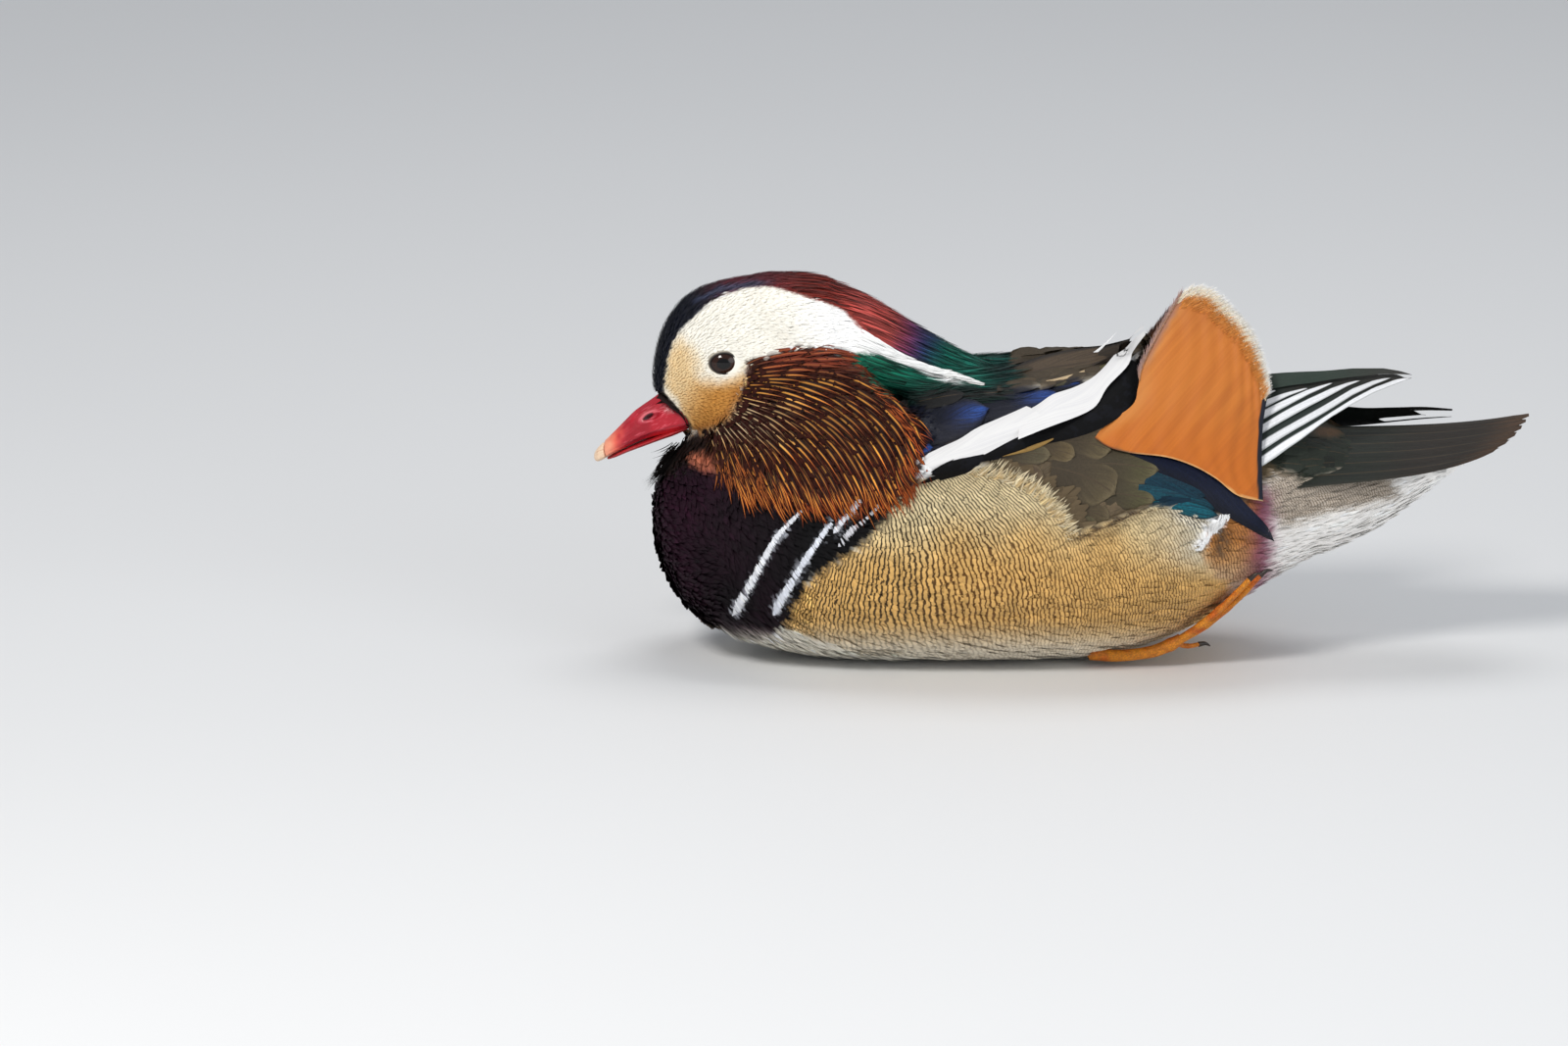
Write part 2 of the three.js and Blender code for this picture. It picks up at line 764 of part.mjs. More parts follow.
const bird = new THREE.Group();
const colours = {
  breast: 0x2c0d20,
  buff: 0xd9b16c,
  maroon: 0x7a2f1c,
  white: 0xf1ede2,
  crest: 0x5e2338,
  rufous: 0xa4481c,
  olive: 0x5a4f33,
  sail: 0xc9812f,
  green: 0x2c3f38,
  tail: 0x3a3a2a,
  red: 0xc8283c,
  cream: 0xe9c9a4,
  eye: 0x120a08,
  orange: 0xd98a2b,
  claw: 0x2a221c,
};
function place(name, made, colour, roughness = 0.75) {
  const geometry = made.isBufferGeometry ? made : geometryOf(made);
  const mesh = new THREE.Mesh(
    geometry,
    new THREE.MeshStandardMaterial({ color: colour, roughness, metalness: 0 }),
  );
  mesh.name = name;
  bird.add(mesh);
}
function placePair(name, made, colour, roughness) {
  const g = made.isBufferGeometry ? made : geometryOf(made);
  place(name + "_left", g, colour, roughness);
  place(name + "_right", mirrored(g), colour, roughness);
}

place("trunk", trunk, colours.buff);
place("neck", neck, colours.maroon);
place("head", head, colours.white);
place("crest", crest, colours.crest, 0.5);
placePair("ruff", ruff, colours.rufous);
placePair("eye", geometryOf(solid(eyeGeo)), colours.eye, 0.08);
place("bill_upper", billUpper, colours.red, 0.35);
place("bill_lower", billLower, colours.red, 0.35);
place("bill_nail", nail, colours.cream, 0.4);
place("scapulars_left", scap, colours.white);
place("scapulars_right", scapRight, colours.white);
placePair("wing", wing, colours.olive);
place("sail_left", sail, colours.sail);
place("sail_right", sailRight, colours.sail);
place("primaries_left", primLeft, colours.green, 0.5);
place("primaries_right", primRight, colours.green, 0.5);
place("tail", tail, colours.tail, 0.6);
placePair("leg", leg, colours.orange, 0.5);
placePair("foot", foot, colours.orange, 0.5);
Object.keys(toeEnds).forEach((k, i) =>
  placePair("claw_" + k, geometryOf(solid(clawGeos[i])), colours.claw, 0.4),
);

export default bird;
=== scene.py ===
import math

import bmesh
import bpy
import numpy as np
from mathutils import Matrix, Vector
from mathutils.bvhtree import BVHTree


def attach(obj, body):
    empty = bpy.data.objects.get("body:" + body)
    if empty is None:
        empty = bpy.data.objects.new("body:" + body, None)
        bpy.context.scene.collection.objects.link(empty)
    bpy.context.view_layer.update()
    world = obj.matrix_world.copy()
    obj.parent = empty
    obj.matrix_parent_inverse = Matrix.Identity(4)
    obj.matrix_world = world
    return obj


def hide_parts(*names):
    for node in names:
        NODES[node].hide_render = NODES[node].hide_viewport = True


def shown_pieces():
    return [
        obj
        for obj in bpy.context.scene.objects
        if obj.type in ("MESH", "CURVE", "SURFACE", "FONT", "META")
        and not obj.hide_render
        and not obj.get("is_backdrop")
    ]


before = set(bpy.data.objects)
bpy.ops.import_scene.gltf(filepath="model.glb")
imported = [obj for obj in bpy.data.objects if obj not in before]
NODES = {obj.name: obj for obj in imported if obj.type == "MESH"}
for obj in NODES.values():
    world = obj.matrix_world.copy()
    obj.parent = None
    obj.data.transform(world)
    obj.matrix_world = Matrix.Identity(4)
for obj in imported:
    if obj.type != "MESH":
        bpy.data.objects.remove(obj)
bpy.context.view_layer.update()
THIN = 1.0

# ---------------------------------------------------------------------------
# The plumage is marked in a side plane: U runs along the bird, V runs down it,
# 0.37 mm a unit, leaning with the 13 degrees from which the side is seen.
# Both sides of the bird share it, because it reads the distance from the
# middle plane.
# ---------------------------------------------------------------------------
UNIT = 0.00037
U0, V0 = 1084.5, 664.5
LEAN_S, LEAN_C = math.sin(math.radians(13)), math.cos(math.radians(13))
MM = 0.001


def plane(p):
    return np.stack(
        [p[..., 0] / UNIT + U0, V0 - (p[..., 2] * LEAN_C - np.abs(p[..., 1]) * LEAN_S) / UNIT], -1
    )


def unit(v):
    return v / np.maximum(np.linalg.norm(v, axis=-1, keepdims=True), 1e-12)


def ease(a, b, x):
    t = np.clip((x - a) / (b - a), 0, 1)
    return t * t * (3 - 2 * t)


def lin(c):
    c = np.clip(np.asarray(c, float) / 255, 0, 1)
    return np.where(c <= 0.04045, c / 12.92, ((c + 0.055) / 1.055) ** 2.4)


def mix(a, b, t):
    t = np.asarray(t)[..., None]
    return np.asarray(a, float) * (1 - t) + np.asarray(b, float) * t


def inside(poly, q):
    """Signed distance to a polygon in plane units, positive inside."""
    poly = np.asarray(poly, float)
    d = np.full(len(q), 1e18)
    odd = np.zeros(len(q), bool)
    for a, b in zip(poly, np.roll(poly, -1, 0)):
        e, w = b - a, q - a
        t = np.clip((w @ e) / (e @ e + 1e-12), 0, 1)
        r = w - t[:, None] * e
        d = np.minimum(d, (r * r).sum(1))
        over = (a[1] > q[:, 1]) != (b[1] > q[:, 1])
        cut = a[0] + (q[:, 1] - a[1]) * (b[0] - a[0]) / (b[1] - a[1] if b[1] != a[1] else 1e-12)
        odd ^= over & (q[:, 0] < cut)
    d = np.sqrt(d)
    return np.where(odd, d, -d)


def along(line, q):
    """Distance to a polyline, and the share of its length at the nearest place."""
    line = np.asarray(line, float)
    seg = np.linalg.norm(np.diff(line, axis=0), axis=1)
    start = np.concatenate([[0], np.cumsum(seg)])
    best, place = np.full(len(q), 1e18), np.zeros(len(q))
    for i in range(len(seg)):
        a, e = line[i], line[i + 1] - line[i]
        w = q - a
        t = np.clip((w @ e) / (e @ e + 1e-12), 0, 1)
        r = w - t[:, None] * e
        d = (r * r).sum(1)
        near = d < best
        best = np.where(near, d, best)
        place = np.where(near, (start[i] + t * seg[i]) / start[-1], place)
    return np.sqrt(best), place


LATTICE = np.random.default_rng(5).random((24, 24, 24))


def noise(p, size, seed=0.0):
    g = p / size + seed * 7.31 + 400
    i = np.floor(g).astype(int)
    f = g - i
    f = f * f * (3 - 2 * f)
    out = np.zeros(len(p))
    for a in (0, 1):
        for b in (0, 1):
            for c in (0, 1):
                w = (
                    (f[:, 0] if a else 1 - f[:, 0])
                    * (f[:, 1] if b else 1 - f[:, 1])
                    * (f[:, 2] if c else 1 - f[:, 2])
                )
                out += w * LATTICE[(i[:, 0] + a) % 24, (i[:, 1] + b) % 24, (i[:, 2] + c) % 24]
    return out * 2 - 1


def curve(points, n):
    """n places along a smooth line through points, evenly spaced by length."""
    p = np.asarray(points, float)
    if len(p) == 2:
        t = np.linspace(0, 1, n)[:, None]
        return p[0] * (1 - t) + p[1] * t
    q = np.vstack([2 * p[0] - p[1], p, 2 * p[-1] - p[-2]])
    out = []
    for i in range(1, len(q) - 2):
        t = np.linspace(0, 1, 24, endpoint=False)[:, None]
        a, b, c, d = q[i - 1], q[i], q[i + 1], q[i + 2]
        out.append(
            0.5
            * (
                2 * b
                + (c - a) * t
                + (2 * a - 5 * b + 4 * c - d) * t**2
                + (3 * b - a - 3 * c + d) * t**3
            )
        )
    fine = np.vstack(out + [p[-1:]])
    s = np.concatenate([[0], np.cumsum(np.linalg.norm(np.diff(fine, axis=0), axis=1))])
    want = np.linspace(0, s[-1], n)
    return np.stack([np.interp(want, s, fine[:, k]) for k in range(fine.shape[1])], 1)


def coons(low, top, front, rear, ns, nt):
    """A sheet between four edges: ns places from front to rear, nt from low to top."""
    lo, hi, fr, re = curve(low, ns), curve(top, ns), curve(front, nt), curve(rear, nt)
    s = np.linspace(0, 1, ns)[:, None, None]
    t = np.linspace(0, 1, nt)[None, :, None]
    return (
        (1 - t) * lo[:, None]
        + t * hi[:, None]
        + (1 - s) * fr[None]
        + s * re[None]
        - (1 - s) * (1 - t) * lo[0]
        - s * (1 - t) * lo[-1]
        - (1 - s) * t * hi[0]
        - s * t * hi[-1]
    )


def grid_normals(g):
    """Normals of grids of points (..., K, M, 3)."""
    a = np.gradient(g, axis=-3)
    b = np.gradient(g, axis=-2)
    return unit(np.cross(a, b))


# ---------------------------------------------------------------------------
# Materials
# ---------------------------------------------------------------------------
class Net:
    def __init__(self, name):
        self.mat = bpy.data.materials.new(name)
        self.mat.use_nodes = True
        self.t = self.mat.node_tree
        self.t.nodes.clear()

    def add(self, kind, _props=None, **inputs):
        n = self.t.nodes.new("ShaderNode" + kind)
        for k, v in (_props or {}).items():
            setattr(n, k, v)
        for k, v in inputs.items():
            sock = n.inputs[int(k[1:])] if k[0] == "i" and k[1:].isdigit() else n.inputs[k.replace("_", " ")]
            if isinstance(v, bpy.types.NodeSocket):
                self.t.links.new(v, sock)
            else:
                sock.default_value = v
        return n

    def math(self, op, a, b=0.0, c=0.0, clamp=False):
        return self.add("Math", {"operation": op, "use_clamp": clamp}, i0=a, i1=b, i2=c).outputs[0]

    def ramp(self, x, a, b, lo=0.0, hi=1.0):
        return self.add(
            "MapRange", {"interpolation_type": "SMOOTHSTEP"}, i0=x, i1=a, i2=b, i3=lo, i4=hi
        ).outputs[0]

    def blend(self, a, b, t, how="MIX"):
        n = self.t.nodes.new("ShaderNodeMix")
        n.data_type, n.blend_type, n.clamp_factor = "RGBA", how, True
        for s, v in ((n.inputs[0], t), (n.inputs[6], a), (n.inputs[7], b)):
            if isinstance(v, bpy.types.NodeSocket):
                self.t.links.new(v, s)
            else:
                s.default_value = v
        return n.outputs[2]

    def attr(self, name):
        return self.add("Attribute", {"attribute_name": name})

    def split(self, v):
        return self.add("SeparateXYZ", i0=v).outputs

    def place(self):
        return self.add("TexCoord").outputs["Object"]

    def noise(self, where, scale, detail=1.0, rough=0.5):
        return self.add(
            "TexNoise", {"noise_dimensions": "3D"}, Vector=where, Scale=scale, Detail=detail, Roughness=rough
        ).outputs[0]

    def bump(self, height, strength, distance):
        return self.add("Bump", Height=height, Strength=strength, Distance=distance).outputs[0]

    def shader(self, color, normal=None, **fixed):
        n = self.t.nodes.new("ShaderNodeBsdfPrincipled")
        self.t.links.new(color, n.inputs["Base Color"])
        if normal is not None:
            self.t.links.new(normal, n.inputs["Normal"])
        for k, v in fixed.items():
            s = n.inputs[k.replace("_", " ")]
            if isinstance(v, bpy.types.NodeSocket):
                self.t.links.new(v, s)
            else:
                s.default_value = v
        out = self.t.nodes.new("ShaderNodeOutputMaterial")
        self.t.links.new(n.outputs[0], out.inputs[0])
        return self.mat


def grey(t, v):
    """A colour socket of equal parts from a value."""
    return t.add("CombineColor", i0=v, i1=v, i2=v).outputs[0]


def plumage(name, barb=0.22, across=9.0, length=2.0, wave=1.0, bump=0.35, shaft=None, vary=0.14, fine=(0.16, 0.5), **fixed):
    """Feather colour: col under col2, where col2 shows in wavy lines (aux.x phase, aux.y strength) and along the shaft (aux.z)."""
    t = Net(name)
    col, col2 = t.attr("col").outputs["Color"], t.attr("col2").outputs["Color"]
    u, v, r = t.split(t.attr("fuv").outputs["Vector"])
    ph, vm, st = t.split(t.attr("aux").outputs["Vector"])
    where = t.place()
    n1 = t.math("SUBTRACT", t.noise(where, 210.0), 0.5)
    n2 = t.math("SUBTRACT", t.noise(where, 620.0), 0.5)
    phase = t.math("ADD", ph, t.math("ADD", t.math("MULTIPLY", n1, 1.25 * wave), t.math("MULTIPLY", n2, 0.5 * wave)))
    lines = t.ramp(t.math("SINE", t.math("MULTIPLY", phase, 2 * math.pi)), -0.05, 0.85)
    lines = t.math("MULTIPLY", lines, vm)
    au = t.math("ABSOLUTE", u)
    streak = t.math("MULTIPLY", t.ramp(au, *fine, 1.0, 0.0), st)
    base = t.blend(col, col2, t.math("MAXIMUM", lines, streak))
    if shaft is not None:
        on = t.math("MULTIPLY", t.ramp(au, 0.02, 0.07, 1.0, 0.0), t.ramp(v, 0.8, 0.95, 1.0, 0.0))
        base = t.blend(base, (*lin(shaft), 1), on)
    fx = t.math("ADD", t.math("MULTIPLY", u, across), t.math("MULTIPLY", r, 97.0))
    fy = t.math("ADD", t.math("MULTIPLY", v, length), t.math("MULTIPLY", au, -1.2 * length / 3))
    where2 = t.add("CombineXYZ", i0=fx, i1=fy, i2=t.math("MULTIPLY", r, 31.0)).outputs[0]
    hair = t.noise(where2, 1.0, 2.0, 0.6)
    light = t.math("ADD", t.math("MULTIPLY", t.math("SUBTRACT", hair, 0.5), 2 * barb), t.math("ADD", t.math("MULTIPLY", r, vary), 1 - vary / 2))
    base = t.blend(base, grey(t, light), 1.0, "MULTIPLY")
    return t.shader(base, t.bump(hair, bump, 0.0004), **fixed)


def barbed(name, barb=0.16, freq=90.0, slant=0.8, shaft=None, soft=0.3, grain=0.0, **fixed):
    """A big vane: barbs run from the shaft out and towards the tip."""
    t = Net(name)
    col, col2 = t.attr("col").outputs["Color"], t.attr("col2").outputs["Color"]
    u, v, r = t.split(t.attr("fuv").outputs["Vector"])
    ph, vm, st = t.split(t.attr("aux").outputs["Vector"])
    au = t.math("ABSOLUTE", u)
    k = t.math("SUBTRACT", v, t.math("MULTIPLY", au, slant))
    where = t.add(
        "CombineXYZ",
        i0=t.math("MULTIPLY", k, freq),
        i1=t.math("MULTIPLY", au, 2.2),
        i2=t.math("ADD", t.math("MULTIPLY", r, 53.0), t.math("MULTIPLY", t.math("SIGN", u), 3.0)),
    ).outputs[0]
    fine = t.noise(where, 1.0, 2.0, 0.6)
    wide = t.noise(t.add("VectorMath", {"operation": "MULTIPLY"}, i0=where, i1=(0.16, 0.5, 1.0)).outputs[0], 1.0, 2.0, 0.5)
    base = t.blend(col, col2, t.math("MULTIPLY", t.ramp(wide, 0.35, 0.72), vm))
    if shaft is not None:
        base = t.blend(base, (*lin(shaft), 1), t.math("MULTIPLY", t.ramp(au, 0.015, 0.05, 1.0, 0.0), t.ramp(v, 0.86, 0.97, 1.0, 0.0)))
    light = t.math(
        "ADD",
        t.math("ADD", t.math("MULTIPLY", t.math("SUBTRACT", fine, 0.5), 2 * barb), t.math("MULTIPLY", t.math("SUBTRACT", wide, 0.5), barb)),
        t.math("ADD", t.math("MULTIPLY", r, 0.1), 0.95),
    )
    if grain:
        speck = t.noise(t.place(), 1300.0, 3.0, 0.7)
        light = t.math("ADD", light, t.math("MULTIPLY", t.math("SUBTRACT", speck, 0.5), 2 * grain))
    base = t.blend(base, grey(t, light), 1.0, "MULTIPLY")
    return t.shader(base, t.bump(t.math("ADD", fine, t.math("MULTIPLY", wide, 0.8)), soft, 0.0003), **fixed)


MAT_SOFT = plumage("plumage_soft", Roughness=0.82, Specular_IOR_Level=0.22, Sheen_Weight=0.12)
MAT_FACE = plumage("plumage_face", barb=0.045, bump=0.07, vary=0.04, Roughness=0.85, Specular_IOR_Level=0.14, Sheen_Weight=0.05)
MAT_DARK = plumage("plumage_dark", barb=0.4, bump=0.45, Roughness=0.72, Specular_IOR_Level=0.16)
MAT_GLOSS = plumage("plumage_glossy", barb=0.36, across=6.0, bump=0.4, Roughness=0.46, Specular_IOR_Level=0.28, Metallic=0.2)
MAT_RUFF = plumage("plumage_ruff", barb=0.34, fine=(0.1, 0.52), across=7.0, bump=0.4, Roughness=0.6, Specular_IOR_Level=0.2)
MAT_SKIN = plumage("plumage_skin", barb=0.05, bump=0.0, Roughness=0.9, Specular_IOR_Level=0.1)
MAT_VANE = barbed("vane", grain=0.4, shaft=(70, 58, 42), Roughness=0.62, Specular_IOR_Level=0.3)
MAT_VANE_PLAIN = barbed("vane_plain", grain=0.45, freq=60.0, Roughness=0.6, Specular_IOR_Level=0.3)
MAT_QUILL = barbed("vane_quill", barb=0.1, grain=0.2, Roughness=0.55, Specular_IOR_Level=0.3)
MAT_WHITE = barbed("vane_white", barb=0.07, Roughness=0.7, Specular_IOR_Level=0.25, Sheen_Weight=0.1)
MAT_METAL = barbed("vane_metallic", barb=0.5, grain=0.9, freq=70.0, soft=0.5, Roughness=0.4, Specular_IOR_Level=0.3, Metallic=0.3)
MAT_SAIL = barbed("vane_sail", barb=0.1, freq=80.0, slant=0.0, soft=0.35, Roughness=0.6, Specular_IOR_Level=0.28, Sheen_Weight=0.08)


# ---------------------------------------------------------------------------
# Meshes
# ---------------------------------------------------------------------------
def tri_arrays(mesh):
    v = np.empty(len(mesh.vertices) * 3)
    mesh.vertices.foreach_get("co", v)
    mesh.calc_loop_triangles()
    f = np.empty(len(mesh.loop_triangles) * 3, np.int64)
    mesh.loop_triangles.foreach_get("vertices", f)
    return v.reshape(-1, 3), f.reshape(-1, 3)


def welded(v, f):
    key, back = np.unique(np.round(v, 7), axis=0, return_inverse=True)
    f = back.reshape(-1)[f]
    keep = (f[:, 0] != f[:, 1]) & (f[:, 1] != f[:, 2]) & (f[:, 0] != f[:, 2])
    return key, f[keep]


def vertex_normals(v, f):
    n = np.cross(v[f[:, 1]] - v[f[:, 0]], v[f[:, 2]] - v[f[:, 0]])
    out = np.zeros_like(v)
    for k in range(3):
        for c in range(3):
            out[:, c] += np.bincount(f[:, k], n[:, c], len(v))
    return unit(out)


def relax(v, f, times, amount=0.5):
    e = np.vstack([f[:, [0, 1]], f[:, [1, 2]], f[:, [2, 0]]])
    e = np.unique(np.sort(e, 1), axis=0)
    deg = np.bincount(e.ravel(), minlength=len(v))[:, None]
    for k in range(times):
        s = np.zeros_like(v)
        for c in range(3):
            s[:, c] = np.bincount(e[:, 0], v[e[:, 1], c], len(v)) + np.bincount(e[:, 1], v[e[:, 0], c], len(v))
        v = v + amount * (s / np.maximum(deg, 1) - v)
    return v


def biggest(v, f):
    """The largest connected shell."""
    lab = np.arange(len(v))
    e = np.vstack([f[:, [0, 1]], f[:, [1, 2]]])
    while True:
        low = np.minimum(lab[e[:, 0]], lab[e[:, 1]])
        new = lab.copy()
        np.minimum.at(new, e[:, 0], low)
        np.minimum.at(new, e[:, 1], low)
        new = new[new]
        if (new == lab).all():
            break
        lab = new
    size = np.bincount(lab, minlength=len(v))
    keep = lab == size.argmax()
    index = np.cumsum(keep) - 1
    f = f[keep[f].all(1)]
    return v[keep], index[f]


def plain_mesh(name, v, f):
    m = bpy.data.meshes.new(name)
    f = np.asarray(f)
    m.vertices.add(len(v))
    m.vertices.foreach_set("co", np.ascontiguousarray(v, np.float32).ravel())
    m.loops.add(f.size)
    m.loops.foreach_set("vertex_index", np.ascontiguousarray(f, np.int32).ravel())
    m.polygons.add(len(f))
    m.polygons.foreach_set("loop_start", np.arange(0, f.size, f.shape[1], dtype=np.int32))
    m.update(calc_edges=True)
    return m


def remeshed(nodes, swell, voxel):
    """One closed mesh around the named CAD nodes, each swollen first so that they join."""
    vs, fs, n = [], [], 0
    for name in nodes:
        v, f = welded(*tri_arrays(NODES[name].data))
        v = v + vertex_normals(v, f) * swell
        vs.append(v)
        fs.append(f + n)
        n += len(v)
    m = plain_mesh("joined", np.vstack(vs), np.vstack(fs))
    o = bpy.data.objects.new("joined", m)
    bpy.context.scene.collection.objects.link(o)
    mod = o.modifiers.new("r", "REMESH")
    mod.mode, mod.voxel_size, mod.use_smooth_shade = "VOXEL", voxel, True
    dg = bpy.context.evaluated_depsgraph_get()
    out = bpy.data.meshes.new_from_object(o.evaluated_get(dg))
    v, f = tri_arrays(out)
    bpy.data.objects.remove(o)
    bpy.data.meshes.remove(m)
    bpy.data.meshes.remove(out)
    return v, f


def put_attrs(m, **arrays):
    for name, a in arrays.items():
        if name in ("col", "col2"):
            at = m.attributes.new(name, "FLOAT_COLOR", "POINT")
            at.data.foreach_set("color", np.concatenate([a, np.ones((len(a), 1))], 1).astype(np.float32).ravel())
        else:
            at = m.attributes.new(name, "FLOAT_VECTOR", "POINT")
            at.data.foreach_set("vector", np.ascontiguousarray(a, np.float32).ravel())


def shown(name, mesh, mat, nodes=()):
    o = bpy.data.objects.new(name, mesh)
    bpy.context.scene.collection.objects.link(o)
    mesh.materials.append(mat)
    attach(o, "root")
    if nodes:
        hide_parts(*nodes)
    return o


AXIS_Z = 0.055


def unwrap(p):
    """Place round the body's own long axis, 0 to 1 both ways."""
    a = (p[..., 0] + 0.18) / 0.36
    b = np.arctan2(p[..., 1], p[..., 2] - AXIS_Z) / (2 * math.pi) + 0.5
    return np.stack([a, b], -1)


def grid_batch(g, n, col, col2, fuv, aux):
    return {"g": g, "n": n, "col": col, "col2": col2, "fuv": fuv, "aux": aux}


def feathers(name, batches, mat, nodes=()):
    """One mesh from batches of feather grids (N, K, M, 3). Each feather has a cell of its own in the map, near its root's place on the unwrap."""
    cells = sum(len(b["g"]) for b in batches)
    roots = np.concatenate([unwrap(b["g"][:, 0].mean(1)) for b in batches])
    cols = max(1, int(math.ceil(math.sqrt(cells))))
    rows = int(math.ceil(cells / cols))
    order = np.argsort(roots[:, 0], kind="stable")
    ci, ri = np.empty(cells, int), np.empty(cells, int)
    for c in range(cols):
        part = order[c * rows : (c + 1) * rows]
        part = part[np.argsort(roots[part, 1], kind="stable")]
        ci[part], ri[part] = c, np.arange(len(part))
    vs, ns, fs, uvs, at = [], [], [], [], {k: [] for k in ("col", "col2", "fuv", "aux")}
    base = cell = 0
    for b in batches:
        g = b["g"]
        n_, k_, m_ = g.shape[:3]
        idx = np.arange(n_ * k_ * m_).reshape(n_, k_, m_) + base
        q = np.stack([idx[:, :-1, :-1], idx[:, :-1, 1:], idx[:, 1:, 1:], idx[:, 1:, :-1]], -1).reshape(-1, 4)
        flat, nrm = g.reshape(-1, 3), np.broadcast_to(b["n"], g.shape).reshape(-1, 3)
        a = q - base
        face = np.cross(flat[a[:, 2]] - flat[a[:, 0]], flat[a[:, 3]] - flat[a[:, 1]])
        turned = (face * nrm[a].sum(1)).sum(1) < 0
        q[turned] = q[turned][:, ::-1]
        su = np.linspace(0.08, 0.92, m_)
        sv = np.linspace(0.06, 0.94, k_)
        c, r = ci[cell : cell + n_], ri[cell : cell + n_]
        uu = np.broadcast_to((c[:, None, None] + su[None, None]) / cols, (n_, k_, m_)).reshape(-1)
        vv = np.broadcast_to((r[:, None, None] + sv[None, :, None]) / rows, (n_, k_, m_)).reshape(-1)
        uv = np.stack([uu, vv], 1)
        uvs.append(uv[q.reshape(-1) - base])
        vs.append(g.reshape(-1, 3))
        ns.append(np.broadcast_to(b["n"], g.shape).reshape(-1, 3))
        fs.append(q)
        for key in at:
            at[key].append(np.broadcast_to(b[key], g.shape).reshape(-1, 3))
        base += n_ * k_ * m_
        cell += n_
    v = np.vstack(vs)
    v[:, 2] = np.maximum(v[:, 2], 0.0003)
    m = plain_mesh(name, v, np.vstack(fs))
    put_attrs(m, **{k: np.vstack(a) for k, a in at.items()})
    layer = m.uv_layers.new(name="OFBake")
    layer.data.foreach_set("uv", np.vstack(uvs).astype(np.float32).ravel())
    m.normals_split_custom_set_from_vertices(unit(np.vstack(ns)).astype(np.float32))
    return shown(name, m, mat, nodes)


def tri_count(o):
    return sum(p - 2 for p in np.diff(np.append([q.loop_start for q in o.data.polygons], len(o.data.loops))))


# ---------------------------------------------------------------------------
# Markings
# ---------------------------------------------------------------------------
BILL_EDGE = [(658, 405), (676, 402), (685, 411), (696, 423), (703, 432), (705, 441), (700, 446)]
CROWN_IN = [(677, 402), (679, 384), (682, 364), (687, 350), (694, 339), (705, 327), (723, 311), (741, 301), (759, 295.5), (776, 293.4), (794, 295.5), (812, 301), (830, 307), (848, 312.5), (860, 318)]
BROW_TOP = [(860, 318), (882, 341), (903, 356), (925, 367), (957.6, 380), (981, 389), (1003, 397.6)]
BROW_LOW = [(1001, 399.5), (977, 393), (947, 384), (921, 373), (901, 364), (880, 361), (860, 361), (830, 354), (812, 356), (794, 361), (776, 366), (764, 369)]
CHEEK = [(760, 386), (755, 404), (750, 421), (732, 436), (712, 443)]
FACE = CROWN_IN + BROW_TOP[1:] + BROW_LOW + CHEEK + [(705, 441), (703, 432), (696, 423), (685, 411)]
GOLD = [(676, 404), (678, 372), (684, 356), (696, 349), (707, 362), (716, 384), (732, 394), (752, 388), (764, 378), (762, 404), (752, 424), (735, 440), (708, 446), (696, 425), (682, 409)]
GREEN = [(858, 361), (880, 361), (901, 363), (921, 372), (947, 383.5), (977, 393), (1001, 399), (1010, 404), (957, 411), (921, 415), (901, 404), (880, 386), (866, 368)]
RUFF = [(764, 369), (776, 365), (794, 360), (812, 355), (824, 354), (851, 358), (867, 365), (886, 382), (901, 401), (918, 413), (934, 424), (945, 443), (939, 468), (932, 500), (912, 514), (893, 512), (863, 517), (844, 520), (813, 518), (790, 512), (775, 503), (763, 508), (740, 488), (725, 462), (721, 441), (732, 436), (750, 421), (755, 404), (760, 386)]
THROAT = [(709, 443), (732, 436), (765, 430), (790, 470), (780, 500), (760, 500), (735, 484), (705, 470), (690, 478), (664, 500), (660, 480), (687, 464)]
ROSE = [(701, 466), (712, 462), (722, 463), (731, 467), (733, 480), (724, 485), (714, 480), (704, 474)]
BREAST = [(600, 500), (671, 478), (709, 443), (760, 400), (905, 400), (940, 470), (936, 493), (912, 511), (900, 533), (882, 556), (857, 569), (829, 593), (819, 602), (800, 640), (760, 668), (600, 690)]
FLANK = [(828, 592), (856, 568), (881, 555), (899, 532), (911, 510), (936, 491), (965, 484), (1003, 478), (1033, 490), (1058, 500), (1078, 516), (1095, 545), (1126, 532), (1153, 523), (1173, 516), (1201, 520), (1217, 526), (1236, 538), (1250, 560), (1252, 600), (1240, 640), (1180, 668), (1000, 676), (880, 668), (800, 640), (819, 598)]
WHITE_STRIPE = [(920, 480), (948, 463), (979, 452), (993, 441), (1002, 437), (1029, 430), (1046, 421), (1061, 418), (1071, 407), (1088, 405), (1111, 395), (1127, 381), (1153, 356), (1172, 345), (1172, 349), (1150, 379), (1125, 400), (1117, 420), (1069, 439), (1025, 453), (995, 467), (964, 479), (937, 490)]
BLACK_LOBE = [(937, 490), (964, 479), (995, 467), (1025, 453), (1069, 439), (1117, 420), (1125, 400), (1150, 379), (1163, 362), (1160, 388), (1157, 406), (1148, 420), (1132, 432), (1105, 443), (1079, 450), (1057, 454), (1032, 463), (1004, 472), (986, 479), (959, 489)]
BLUE = [(905, 455), (920, 412), (960, 403), (1010, 398), (1060, 396), (1100, 388), (1109, 395), (1070, 408), (1044, 425), (999, 439), (979, 454), (947, 465), (920, 480)]
BACK = [(880, 300), (900, 412), (960, 404), (1020, 400), (1090, 394), (1131, 380), (1165, 345), (1215, 400), (1290, 440), (1300, 300)]
WING = [(990, 470), (1050, 452), (1110, 440), (1152, 411), (1163, 360), (1300, 400), (1320, 470), (1290, 548), (1236, 540), (1200, 521), (1173, 517), (1126, 533), (1095, 546), (1070, 510), (1033, 490)]
